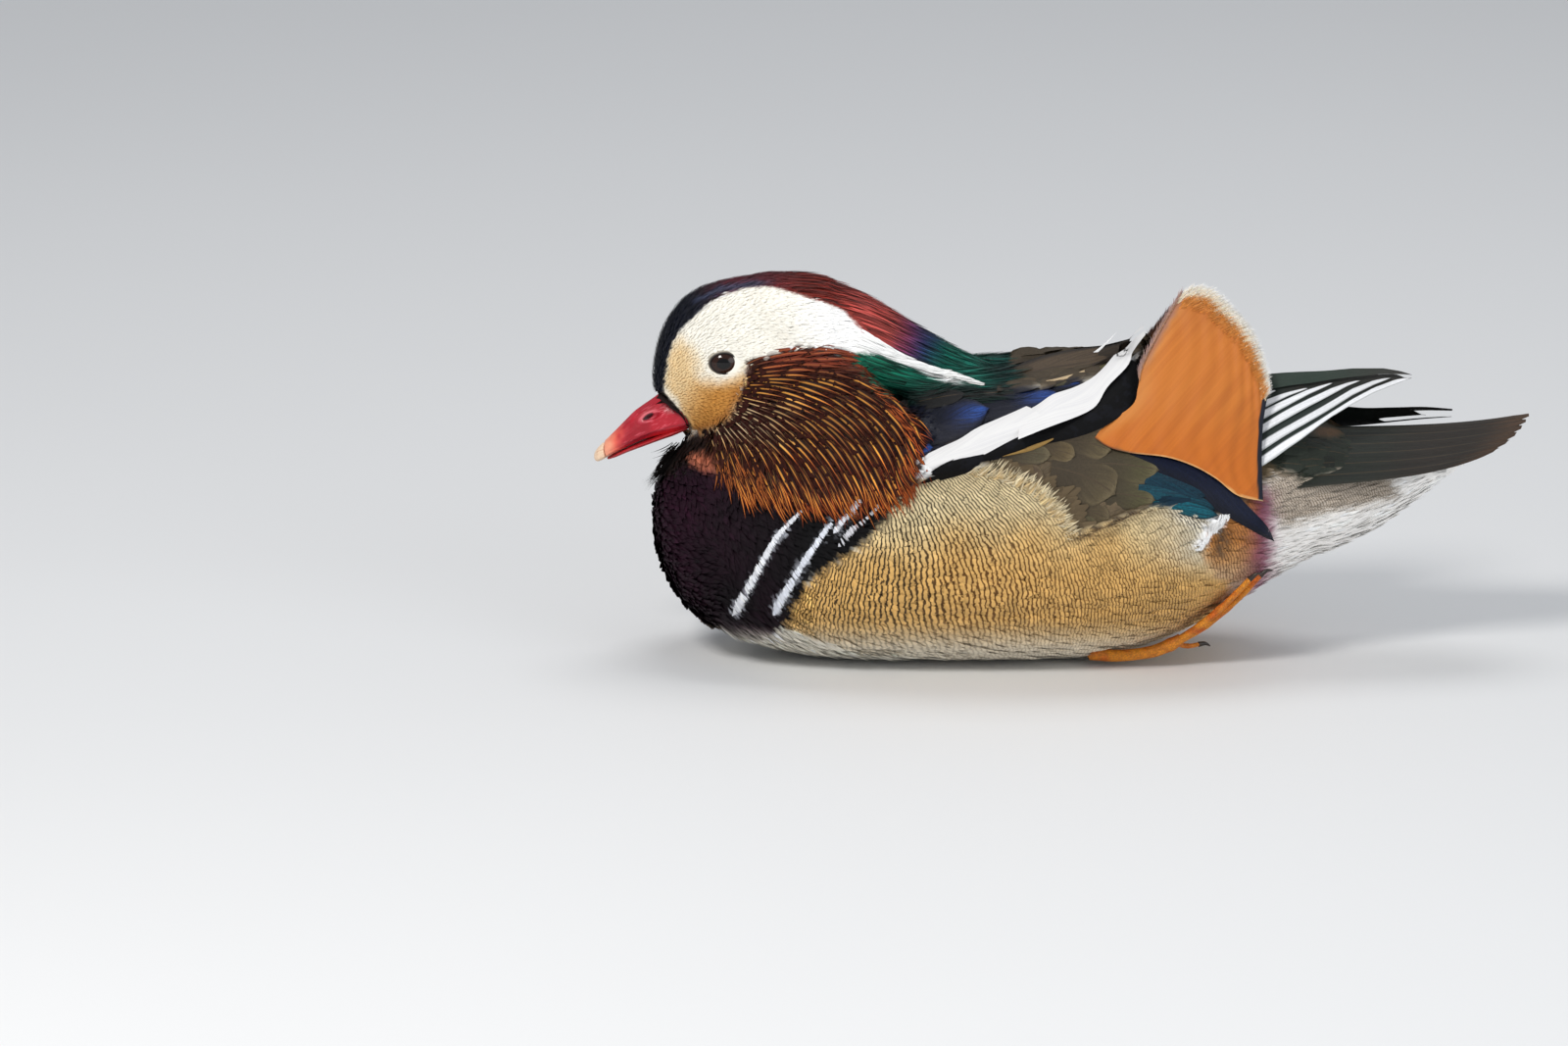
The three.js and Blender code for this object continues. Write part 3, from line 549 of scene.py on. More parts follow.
UNDERTAIL = [(1284, 500), (1298, 484), (1327, 495), (1361, 484), (1446, 480), (1500, 460), (1640, 420), (1640, 700), (1270, 700), (1284, 580)]
UNDER_GREY = [(1290, 488), (1330, 470), (1380, 470), (1420, 490), (1424, 506), (1395, 516), (1350, 524), (1310, 540), (1292, 530)]
RUFOUS = [(1230, 536), (1250, 520), (1290, 500), (1294, 580), (1262, 596), (1236, 590), (1224, 566)]
TAIL_TOP = [(1290, 300), (1290, 470), (1327, 492), (1361, 482), (1446, 478), (1500, 460), (1640, 420), (1640, 300)]
SPECULUM = [(1172, 478), (1205, 497), (1232, 515), (1251, 528), (1250, 545), (1234, 538), (1200, 522), (1173, 518)]
WHITE_PATCH = [(1229, 531), (1240, 526), (1248, 528), (1243, 537), (1233, 546), (1226, 556), (1216, 561), (1218, 549), (1226, 541)]
BOLD = [(1190, 519), (1217, 525), (1234, 534), (1228, 544), (1214, 539), (1196, 530)]
BAR_1 = [(826, 511), (810, 531), (792, 551), (775, 580), (762, 603), (750, 624)]
BAR_2 = [(880, 504), (866, 524), (851, 545)]
BAR_2B = [(856, 525), (838, 549), (822, 571), (806, 597), (790, 624)]
BAR_3 = [(899, 507), (894, 517), (884, 530), (870, 541), (856, 557)]
BARS = ((BAR_1, (1.8, 5.2), (236, 238, 244)), (BAR_2, (4.0, 2.8), (226, 228, 236)), (BAR_2B, (2.2, 4.6), (226, 230, 240)), (BAR_3, (1.6, 3.8), (206, 206, 212)))


def slanted(points, order):
    """A smooth field whose level lines run at the given slopes: each point is (u, v, slope in degrees, spacing). Fitted once, by least squares."""
    pts = np.array([(a, b) for a, b, _, _ in points], float)
    mid, size = pts.mean(0), 100.0
    powers = [(i, j) for i in range(order + 1) for j in range(order + 1 - i) if i + j > 0]

    def grad(q):
        x, y = ((q - mid) / size).T
        gx = np.stack([i * x ** max(i - 1, 0) * y**j for i, j in powers], 1) / size
        gy = np.stack([j * x**i * y ** max(j - 1, 0) for i, j in powers], 1) / size
        return gx, gy

    gx, gy = grad(pts)
    ang = np.radians([a for _, _, a, _ in points])
    step = np.array([1 / s for _, _, _, s in points])
    tx, ty = np.cos(ang), np.sin(ang)
    rows = np.vstack([gx * tx[:, None] + gy * ty[:, None], gx * ty[:, None] - gy * tx[:, None]])
    want = np.concatenate([np.zeros(len(pts)), step])
    damp = 1e-4 * np.eye(len(powers))
    c = np.linalg.lstsq(np.vstack([rows, damp]), np.concatenate([want, np.zeros(len(powers))]), rcond=None)[0]

    def field(q):
        x, y = ((q - mid) / size).T
        return sum(k * x**i * y**j for k, (i, j) in zip(c, powers))

    return field


LINES_FRONT = slanted(
    [(860, 560, 112, 3.7), (880, 540, 112, 3.7), (905, 520, 106, 3.7), (915, 566, 92, 3.8), (934, 536, 58, 3.8), (950, 510, 38, 3.7),
     (973, 521, 32, 3.7), (993, 490, 18, 3.4), (1032, 540, 44, 2.9), (1040, 505, 34, 2.7), (1080, 575, 74, 2.9), (950, 592, 86, 4.2),
     (1000, 592, 80, 4.0), (1060, 600, 88, 3.5), (880, 620, 92, 4.2), (1000, 640, 88, 4.3), (1100, 640, 90, 4.2)], 3)
LINES_REAR = slanted(
    [(1120, 556, 48, 3.0), (1138, 546, 44, 2.9), (1185, 530, 54, 2.6), (1215, 533, 62, 2.7), (1120, 582, 78, 3.5), (1150, 588, 84, 3.5),
     (1200, 575, 80, 3.0), (1110, 604, 88, 3.7), (1240, 600, 86, 3.4), (1150, 640, 90, 3.8), (1235, 540, 66, 3.5)], 2)


def crown_colour(q, n6):
    """The crown and crest: navy over the forehead, with a painted blue glint along its top, then maroon, rose, violet,
    blue and green.
    """
    u, v = q[:, 0], q[:, 1]
    c = mix((9, 13, 27), (84, 30, 42), ease(692, 748, u + 6 * n6) * ease(322, 290, v + 5 * n6))
    # painted highlight: a blue glint in a band along the forehead's top
    d, _ = along([(706, 309), (738, 295), (790, 288)], q)
    c = mix(c, (66, 78, 104), ease(5, 1, d + 2.5 * n6) * ease(700, 716, u) * ease(800, 770, u) * 0.75)
    c = mix(c, (112, 36, 28), ease(765, 830, u))
    c = mix(c, (156, 66, 60), ease(838, 885, u + 5 * n6))
    turn_ = u + 0.35 * (v - 340) + 5 * n6
    c = mix(c, (98, 48, 88), ease(906, 934, turn_) * 0.95)
    c = mix(c, (36, 46, 84), ease(924, 950, turn_))
    c = mix(c, (10, 88, 74), ease(944, 974, turn_))
    return mix(c, (8, 46, 42), ease(990, 1024, u))


def green_colour(q):
    # teal, darker to the rear, with painted shade along the lower edge
    return mix(mix((12, 100, 76), (8, 74, 60), ease(880, 960, q[:, 0])), (8, 30, 26), ease(388, 408, q[:, 1] + 0.12 * (q[:, 0] - 930)))


def paint(p, rough=None):
    """Base colour, line colour and (phase, strength of the lines, 0) of the small plumage at places p, in 0 to 255."""
    q = plane(p)
    if rough is not None:
        q = q + rough
    u, v = q[:, 0], q[:, 1]
    z = p[:, 2]
    n3, n6, n12 = noise(p, 0.003, 1), noise(p, 0.006, 2), noise(p, 0.014, 3)
    base = np.tile(np.array([(232, 226, 211)], float), (len(p), 1))
    dark = base * 0.6
    vm = np.zeros(len(p))
    phase = LINES_FRONT(q)

    def lay(poly, color, soft=1.5, wob=0.0, amount=1.0):
        nonlocal base
        w = ease(-soft, soft, inside(poly, q) + wob) * amount
        base = mix(base, color, w)
        return w

    lay(WING, (92, 78, 58), 1.5)
    lay(SPECULUM, (10, 40, 56), 2)
    # flank
    w_in = ease(-2, 2, inside(FLANK, q) + 2 * n3)
    low = ease(508, 590, v + 14 * n12)
    tan = mix((216, 198, 156), (212, 167, 98), low)
    tan = mix(tan, (206, 196, 172), ease(1150, 1225, u) * ease(600, 560, v))
    tan = mix(tan, (226, 216, 196), ease(628, 668, v))
    line = mix((74, 62, 46), (88, 54, 20), low)
    line = mix(line, (22, 17, 13), ease(985, 905, u) * 0.85)
    line = mix(line, (150, 118, 74), ease(1020, 1110, u) * (0.35 + 0.3 * ease(560, 520, v)))
    line = mix(line, (40, 34, 30), ease(1198, 1228, u) * ease(560, 540, v))
    strength = 0.95 - 0.25 * ease(1000, 1110, u) * ease(600, 540, v) - 0.6 * ease(622, 665, v)
    strength = strength - 0.55 * ease(1190, 1240, u) * ease(548, 575, v)
    rear = ease(1084, 1112, u + (v - 560) * 0.25)
    rear = rear * ease(0, 1, 1.0)
    phase = LINES_FRONT(q) * (1 - rear) + (LINES_REAR(q) + LINES_FRONT(np.array([[1098.0, 580.0]]))[0] - LINES_REAR(np.array([[1098.0, 580.0]]))[0]) * rear
    base = mix(base, tan, w_in)
    dark = mix(dark, line, w_in)
    vm = strength * w_in
    w = ease(-3, 3, inside(BOLD, q) + n3)
    base, dark = mix(base, (236, 226, 204), w * 0.9), mix(dark, (18, 16, 16), w)
    vm = np.maximum(vm, 0.95 * w)
    # rear flank: rufous patch, then the purple band
    w = ease(-4, 4, inside(RUFOUS, q) + 2 * n3)
    ruf = mix((186, 122, 58), (200, 166, 128), ease(550, 588, v + 6 * n6))
    base, dark = mix(base, ruf, w), mix(dark, (92, 58, 34), w)
    vm = np.where(w > 0.3, 0.75 * w, vm)
    # undertail
    w = ease(-3, 3, inside(UNDERTAIL, q) + 3 * n3)
    base = mix(base, (250, 247, 243), w)
    vm = vm * (1 - w)
    w = ease(-6, 8, inside(UNDER_GREY, q) + 4 * n6)
    base, dark = mix(base, (168, 154, 138), w * 0.85), mix(dark, (112, 98, 82), w)
    vm = np.maximum(vm, w * 0.8)
    off_band = u - 1285 + (v - 540) * 0.02 + 3.5 * n3
    band = np.exp(-((off_band / np.where(off_band > 0, 10.5, 13.0)) ** 2)) * ease(490, 512, v) * ease(640, 585, v)
    base = mix(base, (128, 66, 88), np.clip(band * 0.9, 0, 1))
    vm = vm * (1 - 0.7 * np.clip(band * 1.2, 0, 1))
    # painted shadow in the crease between the flank and the wing
    d, _ = along([(1092, 552), (1108, 546), (1131, 534), (1171, 519)], q)
    base = mix(base, (34, 24, 16), ease(2.6, 0.8, d + n3) * ease(1090, 1104, u) * ease(1176, 1160, u) * 0.9)
    # painted shadow beside the white hook at the flank's rear
    d, _ = along([(1238, 526), (1246, 550), (1240, 566)], q)
    base = mix(base, (70, 58, 46), ease(7, 2, d) * ease(1300, 1290, u) * 0.8)
    w = ease(-1.6, 1.6, inside(WHITE_PATCH, q) + n3)
    base = mix(base, (246, 246, 246), w)
    vm = vm * (1 - w)
    # back, rump and tail cone from above
    w = lay(BACK, (60, 50, 36), 3, 3 * n6)
    vm = vm * (1 - w)
    base = mix(base, (26, 27, 27), w * ease(1030, 960, u))
    w = ease(0.026, 0.019, np.abs(p[:, 1])) * ease(0.074, 0.082, p[:, 2]) * ease(1012, 1040, u)
    base = mix(base, (60, 50, 36), w)
    vm = vm * (1 - w)
    w = lay(TAIL_TOP, (34, 39, 32), 3, 3 * n6)
    vm = vm * (1 - w)
    base = mix(base, (84, 62, 42), w * ease(13, 5, np.hypot((u - 1352) * 0.6, (v - 441) * 1.6)))
    under = w * ease(1385, 1405, u) * (p[:, 2] < 0.0865)
    base = mix(base, (246, 243, 238), under)
    # scapulars
    off = ease(0.017, 0.023, np.abs(p[:, 1]))
    w = lay(BLUE, (6, 9, 26), 2, 0.0, off)
    vm = vm * (1 - w)
    w = lay(BLACK_LOBE, (12, 12, 15), 1.5, 0.0, off)
    vm = vm * (1 - w)
    w = lay(WHITE_STRIPE, (238, 238, 238), 1.2, 0.0, off)
    vm = vm * (1 - w)
    # breast
    w = ease(-3, 3, inside(BREAST, q) + 3.5 * n3)
    w = w * ease(0.008, 0.02, z + 0.003 * n6)
    maroon = mix((34, 9, 25), (14, 6, 12), np.clip(ease(680, 780, u) + 0.5 * n12, 0, 1))
    maroon = mix(maroon, (6, 5, 7), ease(780, 830, u))
    base = mix(base, maroon, w)
    vm = vm * (1 - w)
    for bar, wide, shade_ in BARS[:3]:
        d, t = along(bar, q)
        half = wide[0] + (wide[1] - wide[0]) * t - 1.2
        base = mix(base, (200, 204, 214), ease(half + 1.0, half - 1.4, d) * 0.9 * (z > 0.004))
    # neck, throat and head
    w = lay(THROAT, (26, 13, 9), 4, 2 * n3)
    lay(ROSE, mix((178, 104, 78), (120, 60, 44), ease(0.1, 0.8, noise(p, 0.0016, 14))), 3, 3.0 * n3, 0.9)
    w = lay(RUFF, (46, 14, 6), 4, 0)
    vm = vm * (1 - w)
    top = ease(-2, 2, inside([(600, 240), (600, 405), (677, 404)] + CROWN_IN[1:] + BROW_TOP + [(1100, 400), (1100, 240)], q))
    head = (u < 1006 + 0.7 * (398 - v) + 5 * n6) & (p[:, 0] < -0.02)
    base = mix(base, crown_colour(q, n6), top * head)
    w = ease(-2, 2, inside(GREEN, q) + 1.5 * n3) * head
    base = mix(base, green_colour(q), w)
    cheek, _ = along(CHEEK, q)
    fine = noise(p, 0.0011, 15)
    w = ease(-1.1, 1.1, inside(FACE, q) + 0.8 * n3 + 5.5 * fine * ease(13, 4, cheek)) * head
    white = mix((247, 243, 232), (253, 252, 250), ease(790, 860, u))
    gold = mix((232, 204, 156), (198, 138, 66), ease(690, 738, u + 0.5 * (v - 395)) * ease(366, 396, v))
    gold = mix(gold, (160, 102, 48), ease(12, 3, cheek) * ease(385, 405, v) * 0.7)
    g = ease(-13, 11, inside(GOLD, q) + 2.5 * n3 + 3 * n6)
    g = g * ease(14.5, 20, np.hypot((u - 738.5), (v - 372) * 1.22))
    rim, _ = along(BILL_EDGE, q)
    g = g * (1 - 0.7 * ease(11, 4, rim) * ease(700, 690, u))
    base = mix(base, mix(white, gold, g), w)
    behind, _ = along([(762, 370.5), (771, 366.5)], q)
    base = mix(base, (40, 26, 20), ease(1.9, 0.7, behind + 0.5 * n3) * head * 0.9)
    vm = vm * np.where(head & (top + w > 0.3), 0, 1)
    speck = noise(p, 0.0009, 16)
    base = mix(base, (24, 20, 19), ease(2.3, 0.7, rim + 1.6 * speck) * (u < 712) * 0.92)
    base = mix(base, (30, 20, 20), ease(-0.5, 1.5, inside(BILL_FRONT, q)) * (u < 712) * (p[:, 0] < -0.135) * 0.95)
    return base, dark, np.stack([phase, vm, np.zeros(len(p))], 1)


# ---------------------------------------------------------------------------
# The lie of the feathers: (u, v, along, down) at places in the plane.
# ---------------------------------------------------------------------------
LIE = np.array([
    (664, 402, 0.35, -1), (672, 360, 0.45, -1), (690, 318, 0.9, -1), (725, 288, 1, -0.35), (770, 280, 1, -0.05), (830, 282, 1, 0.12),
    (690, 395, 1, -0.55), (705, 370, 1, -0.6), (715, 340, 1, -0.6), (740, 320, 1, -0.25), (790, 325, 1, 0.05), (840, 335, 1, 0.2),
    (710, 420, 1, -0.1), (735, 412, 1, 0.0), (738, 350, 1, -0.2), (738, 395, 1, 0.05), (765, 372, 1, -0.1), (890, 350, 1, 0.5), (950, 378, 1, 0.42),
    (860, 300, 1, 0.35), (900, 322, 1, 0.55), (950, 355, 1, 0.5), (1000, 388, 1, 0.45), (880, 375, 1, 0.3), (930, 395, 1, 0.2),
    (700, 450, 0.1, 1), (690, 470, -0.2, 1), (720, 470, 0.35, 1), (750, 480, 0.4, 1), (672, 490, -0.25, 1), (664, 515, 0.1, 1),
    (664, 545, 0.3, 1), (680, 590, 0.7, 1), (720, 530, 0.5, 1), (760, 560, 0.7, 0.9), (800, 540, 0.8, 0.8), (720, 620, 1, 0.6), (830, 600, 1, 0.5),
    (870, 560, 1, 0.3), (910, 530, 1, -0.1), (910, 580, 1, 0.1), (960, 510, 1, -0.55), (1000, 490, 0.8, -0.7), (1040, 500, 0.9, -0.7), (1080, 530, 1, -0.5),
    (960, 560, 1, -0.12), (1020, 560, 1, -0.2), (1080, 580, 1, -0.05), (1130, 550, 1, -0.45), (1180, 535, 1, -0.25), (1220, 540, 1, 0.0), (1180, 580, 1, 0.0),
    (1240, 570, 1, -0.1), (1290, 540, 1, -0.12), (1340, 520, 1, -0.2), (1400, 505, 1, -0.22), (1460, 490, 1, -0.2), (1320, 560, 1, -0.25), (1380, 545, 1, -0.5), (1420, 515, 1, -0.55),
    (900, 640, 1, 0.05), (1050, 650, 1, 0.0), (1200, 640, 1, -0.1), (1300, 600, 1, -0.25),
    (950, 395, 1, 0.1), (1050, 385, 1, -0.1), (1150, 370, 1, -0.1), (1250, 420, 1, 0.2), (1400, 430, 1, 0.05), (950, 450, 1, -0.3), (1050, 430, 1, -0.4), (1140, 390, 0.8, -0.8),
])


def lie(p):
    q = plane(p)
    d = ((q[:, None] - LIE[None, :, :2]) ** 2).sum(2)
    w = 1 / (d + 60) ** 1.6
    way = LIE[:, 2:] / np.linalg.norm(LIE[:, 2:], axis=1)[:, None]
    a = (w[..., None] * way[None]).sum(1)
    out = np.stack([a[:, 0], np.zeros(len(p)), -a[:, 1]], 1)
    # the tufts of the breast's front part from the middle
    out[:, 1] += np.sign(p[:, 1]) * 0.25 * ease(-0.13, -0.155, p[:, 0]) * (p[:, 2] < 0.08)
    return unit(out)


# ---------------------------------------------------------------------------
# Skin: one mesh in place of the flesh and of the folded wings
# ---------------------------------------------------------------------------
FLESH = ["trunk", "neck", "head", "crest", "ruff_left", "ruff_right", "wing_left", "wing_right", "scapulars_left", "scapulars_right"]
SWELL = 0.0003
sv, sf = remeshed(FLESH + ["eye_left", "eye_right"], SWELL, 0.0015)
sv, sf = biggest(sv, sf)
sv = relax(sv, sf, 5, 0.5)
sn = vertex_normals(sv, sf)
sq = plane(sv)


def coat_depth(p):
    q = plane(p)
    d = np.full(len(p), 0.0017)
    d = np.where((q[:, 0] < 850) & (p[:, 2] > 0.09), 0.0009, d)
    d = np.where((q[:, 0] < 720) & (p[:, 2] > 0.088), 0.0007, d)
    d = np.where((q[:, 0] > 1350), 0.0012, d)
    return d


sv = sv - sn * (coat_depth(sv) + SWELL)[:, None]
sv = relax(sv, sf, 1, 0.3)
sv[:, 2] = np.maximum(sv[:, 2], 0.0006)
sn = vertex_normals(sv, sf)
BILL_FRONT = [(600, 380), (655, 400), (676, 400), (685, 410), (694, 420), (702, 430), (705, 441), (701, 452), (600, 490)]
sunk = ease(-0.5, 4.0, inside(BILL_FRONT, plane(sv))) * (sv[:, 2] > 0.07) * (sv[:, 0] < -0.135)
sv = sv - sn * (0.0027 * sunk)[:, None]
sn = vertex_normals(sv, sf)


TURN = np.linalg.qr(np.random.default_rng(3).normal(size=(3, 3)))[0]


class Ground:
    """A surface that feathers are laid on."""

    def __init__(self, v, f):
        self.v, self.f = v, f
        self.n = vertex_normals(v, f)
        self.fn = unit(self.n[f].mean(1))
        self.tree = BVHTree.FromPolygons([tuple(a) for a in v.tolist()], f.tolist())
        e1, e2 = v[f[:, 1]] - v[f[:, 0]], v[f[:, 2]] - v[f[:, 0]]
        self.area = np.linalg.norm(np.cross(e1, e2), axis=1) / 2

    def near(self, p):
        find = self.tree.find_nearest
        loc, idx = [], []
        for a in p.tolist():
            r = find(a)
            loc.append(r[0][:])
            idx.append(r[2])
        idx = np.array(idx)
        return np.array(loc).reshape(-1, 3), self.fn[idx]

    def spread(self, gap, where, rng, over=5):
        """Places about gap apart, on the part of the surface where where(p) holds."""
        cen = self.v[self.f].mean(1)
        ok = where(cen)
        tri = np.nonzero(ok)[0]
        if not len(tri):
            return np.zeros((0, 3)), np.zeros((0, 3))
        a = self.area[tri]
        count = int(over * a.sum() / gap**2) + 1
        pick = tri[np.minimum(np.searchsorted(np.cumsum(a), rng.random(count) * a.sum()), len(tri) - 1)]
        r1, r2 = np.sqrt(rng.random(count)), rng.random(count)
        w = np.stack([1 - r1, r1 * (1 - r2), r1 * r2], 1)
        p = (self.v[self.f[pick]] * w[..., None]).sum(1)
        place = p @ TURN / gap
        cell = np.floor(place).astype(np.int64)
        off = np.linalg.norm(place - cell - 0.5, axis=1)
        key = (cell[:, 0] * 100003 + cell[:, 1]) * 100003 + cell[:, 2]
        order = np.lexsort((off, key))
        first = np.ones(len(order), bool)
        first[1:] = key[order][1:] != key[order][:-1]
        keep = order[first]
        n = (self.n[self.f[pick[keep]]] * w[keep][..., None]).sum(1)
        return p[keep], unit(n)

    def shoot(self, q, side=-1.0, default=None, tries=30):
        """Where the side view's line at plane places q meets the surface."""
        x = (q[:, 0] - U0) * UNIT
        z = (V0 - q[:, 1]) * UNIT / LEAN_C
        d = Vector((0, LEAN_C, -LEAN_S))
        pts, nrm = np.zeros((len(q), 3)), np.zeros((len(q), 3))
        for i in range(len(q)):
            o = Vector((x[i], 0, z[i])) - d * 0.5
            hit = self.tree.ray_cast(o, d)
            if hit[0] is None or hit[0][1] > 0.0:
                pts[i] = np.nan
            else:
                pts[i] = hit[0][:]
                nrm[i] = self.fn[hit[2]]
        bad = np.isnan(pts[:, 0])
        if bad.any():
            if bad.all():
                if not tries:
                    raise RuntimeError("no place on the surface")
                below, nrm = self.shoot(q + np.array([0.0, 4.0]), tries=tries - 1)
                return np.stack([x, below[:, 1], z - below[:, 1] * LEAN_S / LEAN_C], -1), nrm
            good = np.nonzero(~bad)[0]
            for i in np.nonzero(bad)[0]:
                j = good[((q[good] - q[i]) ** 2).sum(1).argmin()]
                y = pts[j][1]
                pts[i] = (x[i], y, z[i] - y * LEAN_S / LEAN_C)
                nrm[i] = nrm[j]
        return pts, nrm


SKIN = Ground(sv, sf)
m = plain_mesh("skin", sv, sf)
base, dark, aux = paint(sv)
put_attrs(m, col=lin(base), col2=lin(dark), fuv=np.tile([1.0, 0.0, 0.5], (len(sv), 1)), aux=aux)
shown("skin", m, MAT_SKIN, FLESH)


# ---------------------------------------------------------------------------
# Laying feathers
# ---------------------------------------------------------------------------
def walked(ground, p, n, length, steps, rng, turn=0.12, way=lie, stiff=0.25):
    """Centre lines that follow the surface and the lie: places, normals and directions, (N, steps + 1, 3)."""
    d = way(p)
    d = unit(d - n * (d * n).sum(1)[:, None])
    side = np.cross(n, d)
    d = unit(d + side * rng.normal(0, turn, len(p))[:, None])
    keep = (d * 1.0).copy()
    pts, nrm, dirs = [p], [n], [d]
    for k in range(steps):
        q = p + d * (length / steps)[:, None]
        q, m = ground.near(q)
        f = way(q)
        f = f - m * (f * m).sum(1)[:, None]
        c = d - m * (d * m).sum(1)[:, None]
        d = unit(unit(c) * (1 - stiff) + unit(f) * stiff)
        p, n = q, unit(n * 0.35 + m * 0.65)
        pts.append(p)
        nrm.append(n)
        dirs.append(d)
    return np.stack(pts, 1), np.stack(nrm, 1), np.stack(dirs, 1)


def vanes(pts, nrm, dirs, half, lift, across, camber, rng, round_=0.3, twist=0.0):
    """Feather grids (N, K, M, 3) about centre lines. half and lift are (K,) or (N, K)."""
    n_, k_ = pts.shape[:2]
    half = np.broadcast_to(half, (n_, k_))
    lift = np.broadcast_to(lift, (n_, k_))
    side = unit(np.cross(nrm, dirs))
    if twist:
        side = unit(side + nrm * rng.normal(0, twist, (n_, 1, 1)))
    u = np.linspace(-1, 1, across)
    g = (
        pts[:, :, None]
        + side[:, :, None] * (u[None, None] * half[..., None])[..., None]
        + nrm[:, :, None] * (lift[..., None] + camber * half[..., None] * (1 - u[None, None] ** 2))[..., None]
    )
    n = unit(nrm[:, :, None] + side[:, :, None] * (round_ * u)[None, None, :, None])
    v = np.linspace(0, 1, k_)
    r = rng.random(n_)
    fuv = np.stack(
        np.broadcast_arrays(u[None, None], v[None, :, None], r[:, None, None]), -1
    )
    return g, n, fuv


def small(g, n, fuv, rng, jitter=0.9, streak=0.0, tone=0.06, painter=paint):
    """A batch that takes its colours from the markings."""
    n_, k_, m_ = g.shape[:3]
    rough = np.repeat(rng.normal(0, jitter, (n_, 2)), k_ * m_, 0)
    base, dark, aux = painter(g.reshape(-1, 3), rough)
    tint = np.repeat(1 + rng.normal(0, tone, (n_, 1)), k_ * m_, 0)
    col = lin(base * tint).reshape(g.shape)
    col2 = lin(dark * tint).reshape(g.shape)
    aux = aux.copy()
    aux[:, 2] = streak
    return grid_batch(g, n, col, col2, fuv, aux.reshape(g.shape))


def only(batch, keep):
    return {k: (v[keep] if isinstance(v, np.ndarray) and v.ndim == 4 and len(v) == len(keep) else v) for k, v in batch.items()}


LENS = np.array([0.6, 1.0, 0.86, 0.12])
EYE = (-0.128, 0.1149)


def clear_of_eye(pts, a=0.0056, b=0.0046):
    d = ((pts[..., 0] - EYE[0]) / a) ** 2 + ((pts[..., 2] - EYE[1]) / b) ** 2
    return (d > 1).all(1) | (np.abs(pts[:, 0, 1]) < 0.009)


def coat(name, slot, mat, where, gap, length, half, rng, lift=(-0.0002, 0.0006, 0.001, 0.0012), across=2, camber=0.0, jitter=0.9,
         turn=0.12, steps=3, profile=LENS, tone=0.06, ground=None, round_=0.3, extra=None, twist=0.0, way=lie, stiff=0.25, avoid_eye=False, painter=paint):
    ground = ground or SKIN
    p, n = ground.spread(gap * THIN, where, rng)
    f = length(plane(p), p) if callable(length) else np.full(len(p), length)
    f = f * rng.uniform(0.8, 1.2, len(p))
    w = half(plane(p), p) if callable(half) else np.full(len(p), half)
    w = w * rng.uniform(0.8, 1.2, len(p)) * (1 + 0.4 * (THIN - 1))
    pts, nrm, dirs = walked(ground, p, n, f, steps, rng, turn, way, stiff)
    if avoid_eye:
        k = clear_of_eye(pts)
        pts, nrm, dirs, w = pts[k], nrm[k], dirs[k], w[k]
    up = np.asarray(lift)[None] * (1 + 0.25 * rng.normal(0, 1, (len(pts), 1)))
    g, nn, fuv = vanes(pts, nrm, dirs, np.asarray(profile)[None] * w[:, None], up, across, camber, rng, round_, twist)
    b = small(g, nn, fuv, rng, jitter, tone=tone, painter=painter)
    return feathers(name, [b] + (extra or []), mat)


rng = np.random.default_rng(11)


def is_ruff(q, grow=0.0):
    return inside(RUFF, q) > grow


def zone(p):
    """0 face and crown, 1 crest, 2 breast and throat, 3 flank, 4 belly, 5 back, 6 wing and scapulars, 7 undertail, 8 tail cone's top, 9 crown"""
    q = plane(p)
    u, v, z = q[:, 0], q[:, 1], p[:, 2]
    out = np.full(len(p), 4)
    out[(u < 905) & (z > 0.006)] = 2
    out[(inside(FLANK, q) > -6) & (z > 0.012) & (u >= 820)] = 3
    out[(u >= 905) & (u < 1262) & (z > 0.012) & (v > 500)] = 3
    out[inside(WING, q) > 1] = 6
    out[(inside(WHITE_STRIPE, q) > -2) | (inside(BLACK_LOBE, q) > -1) | (inside(BLUE, q) > 0)] = 6
    out[(u > 900) & (inside(BACK, q) > 0)] = 5
    out[(u >= 1262)] = 7
    out[(u >= 1262) & (inside(TAIL_TOP, q) > 0)] = 8
    head = (v < 446) & (u < 775) & (z > 0.088)
    head |= (u < 1012) & (inside(FACE, q) > -3) & (z > 0.09)
    out[head] = 0
    crest = (u >= 775) & (u < 1010 + 0.7 * (398 - v)) & (z > 0.09) & (inside(FACE, q) <= 0) & (v < 412) & ~is_ruff(q)
    out[crest & (p[:, 0] < -0.016)] = 1
    out[(u < 790) & (v < 302)] = 0
    out[(out == 0) & (inside(FACE, q) < 0.3) & (v < 402) & ~is_ruff(q)] = 9
    out[(z > 0.088) & (inside(RUFF, q) > 0) & (u < 950)] = 2
    return out


def zoned(*which, extra=None):
    def f(p):
        z = zone(p)
        ok = np.isin(z, which)
        return ok & extra(p) if extra else ok

    return f


left = lambda p: p[:, 1] < 0
right = lambda p: p[:, 1] >= 0

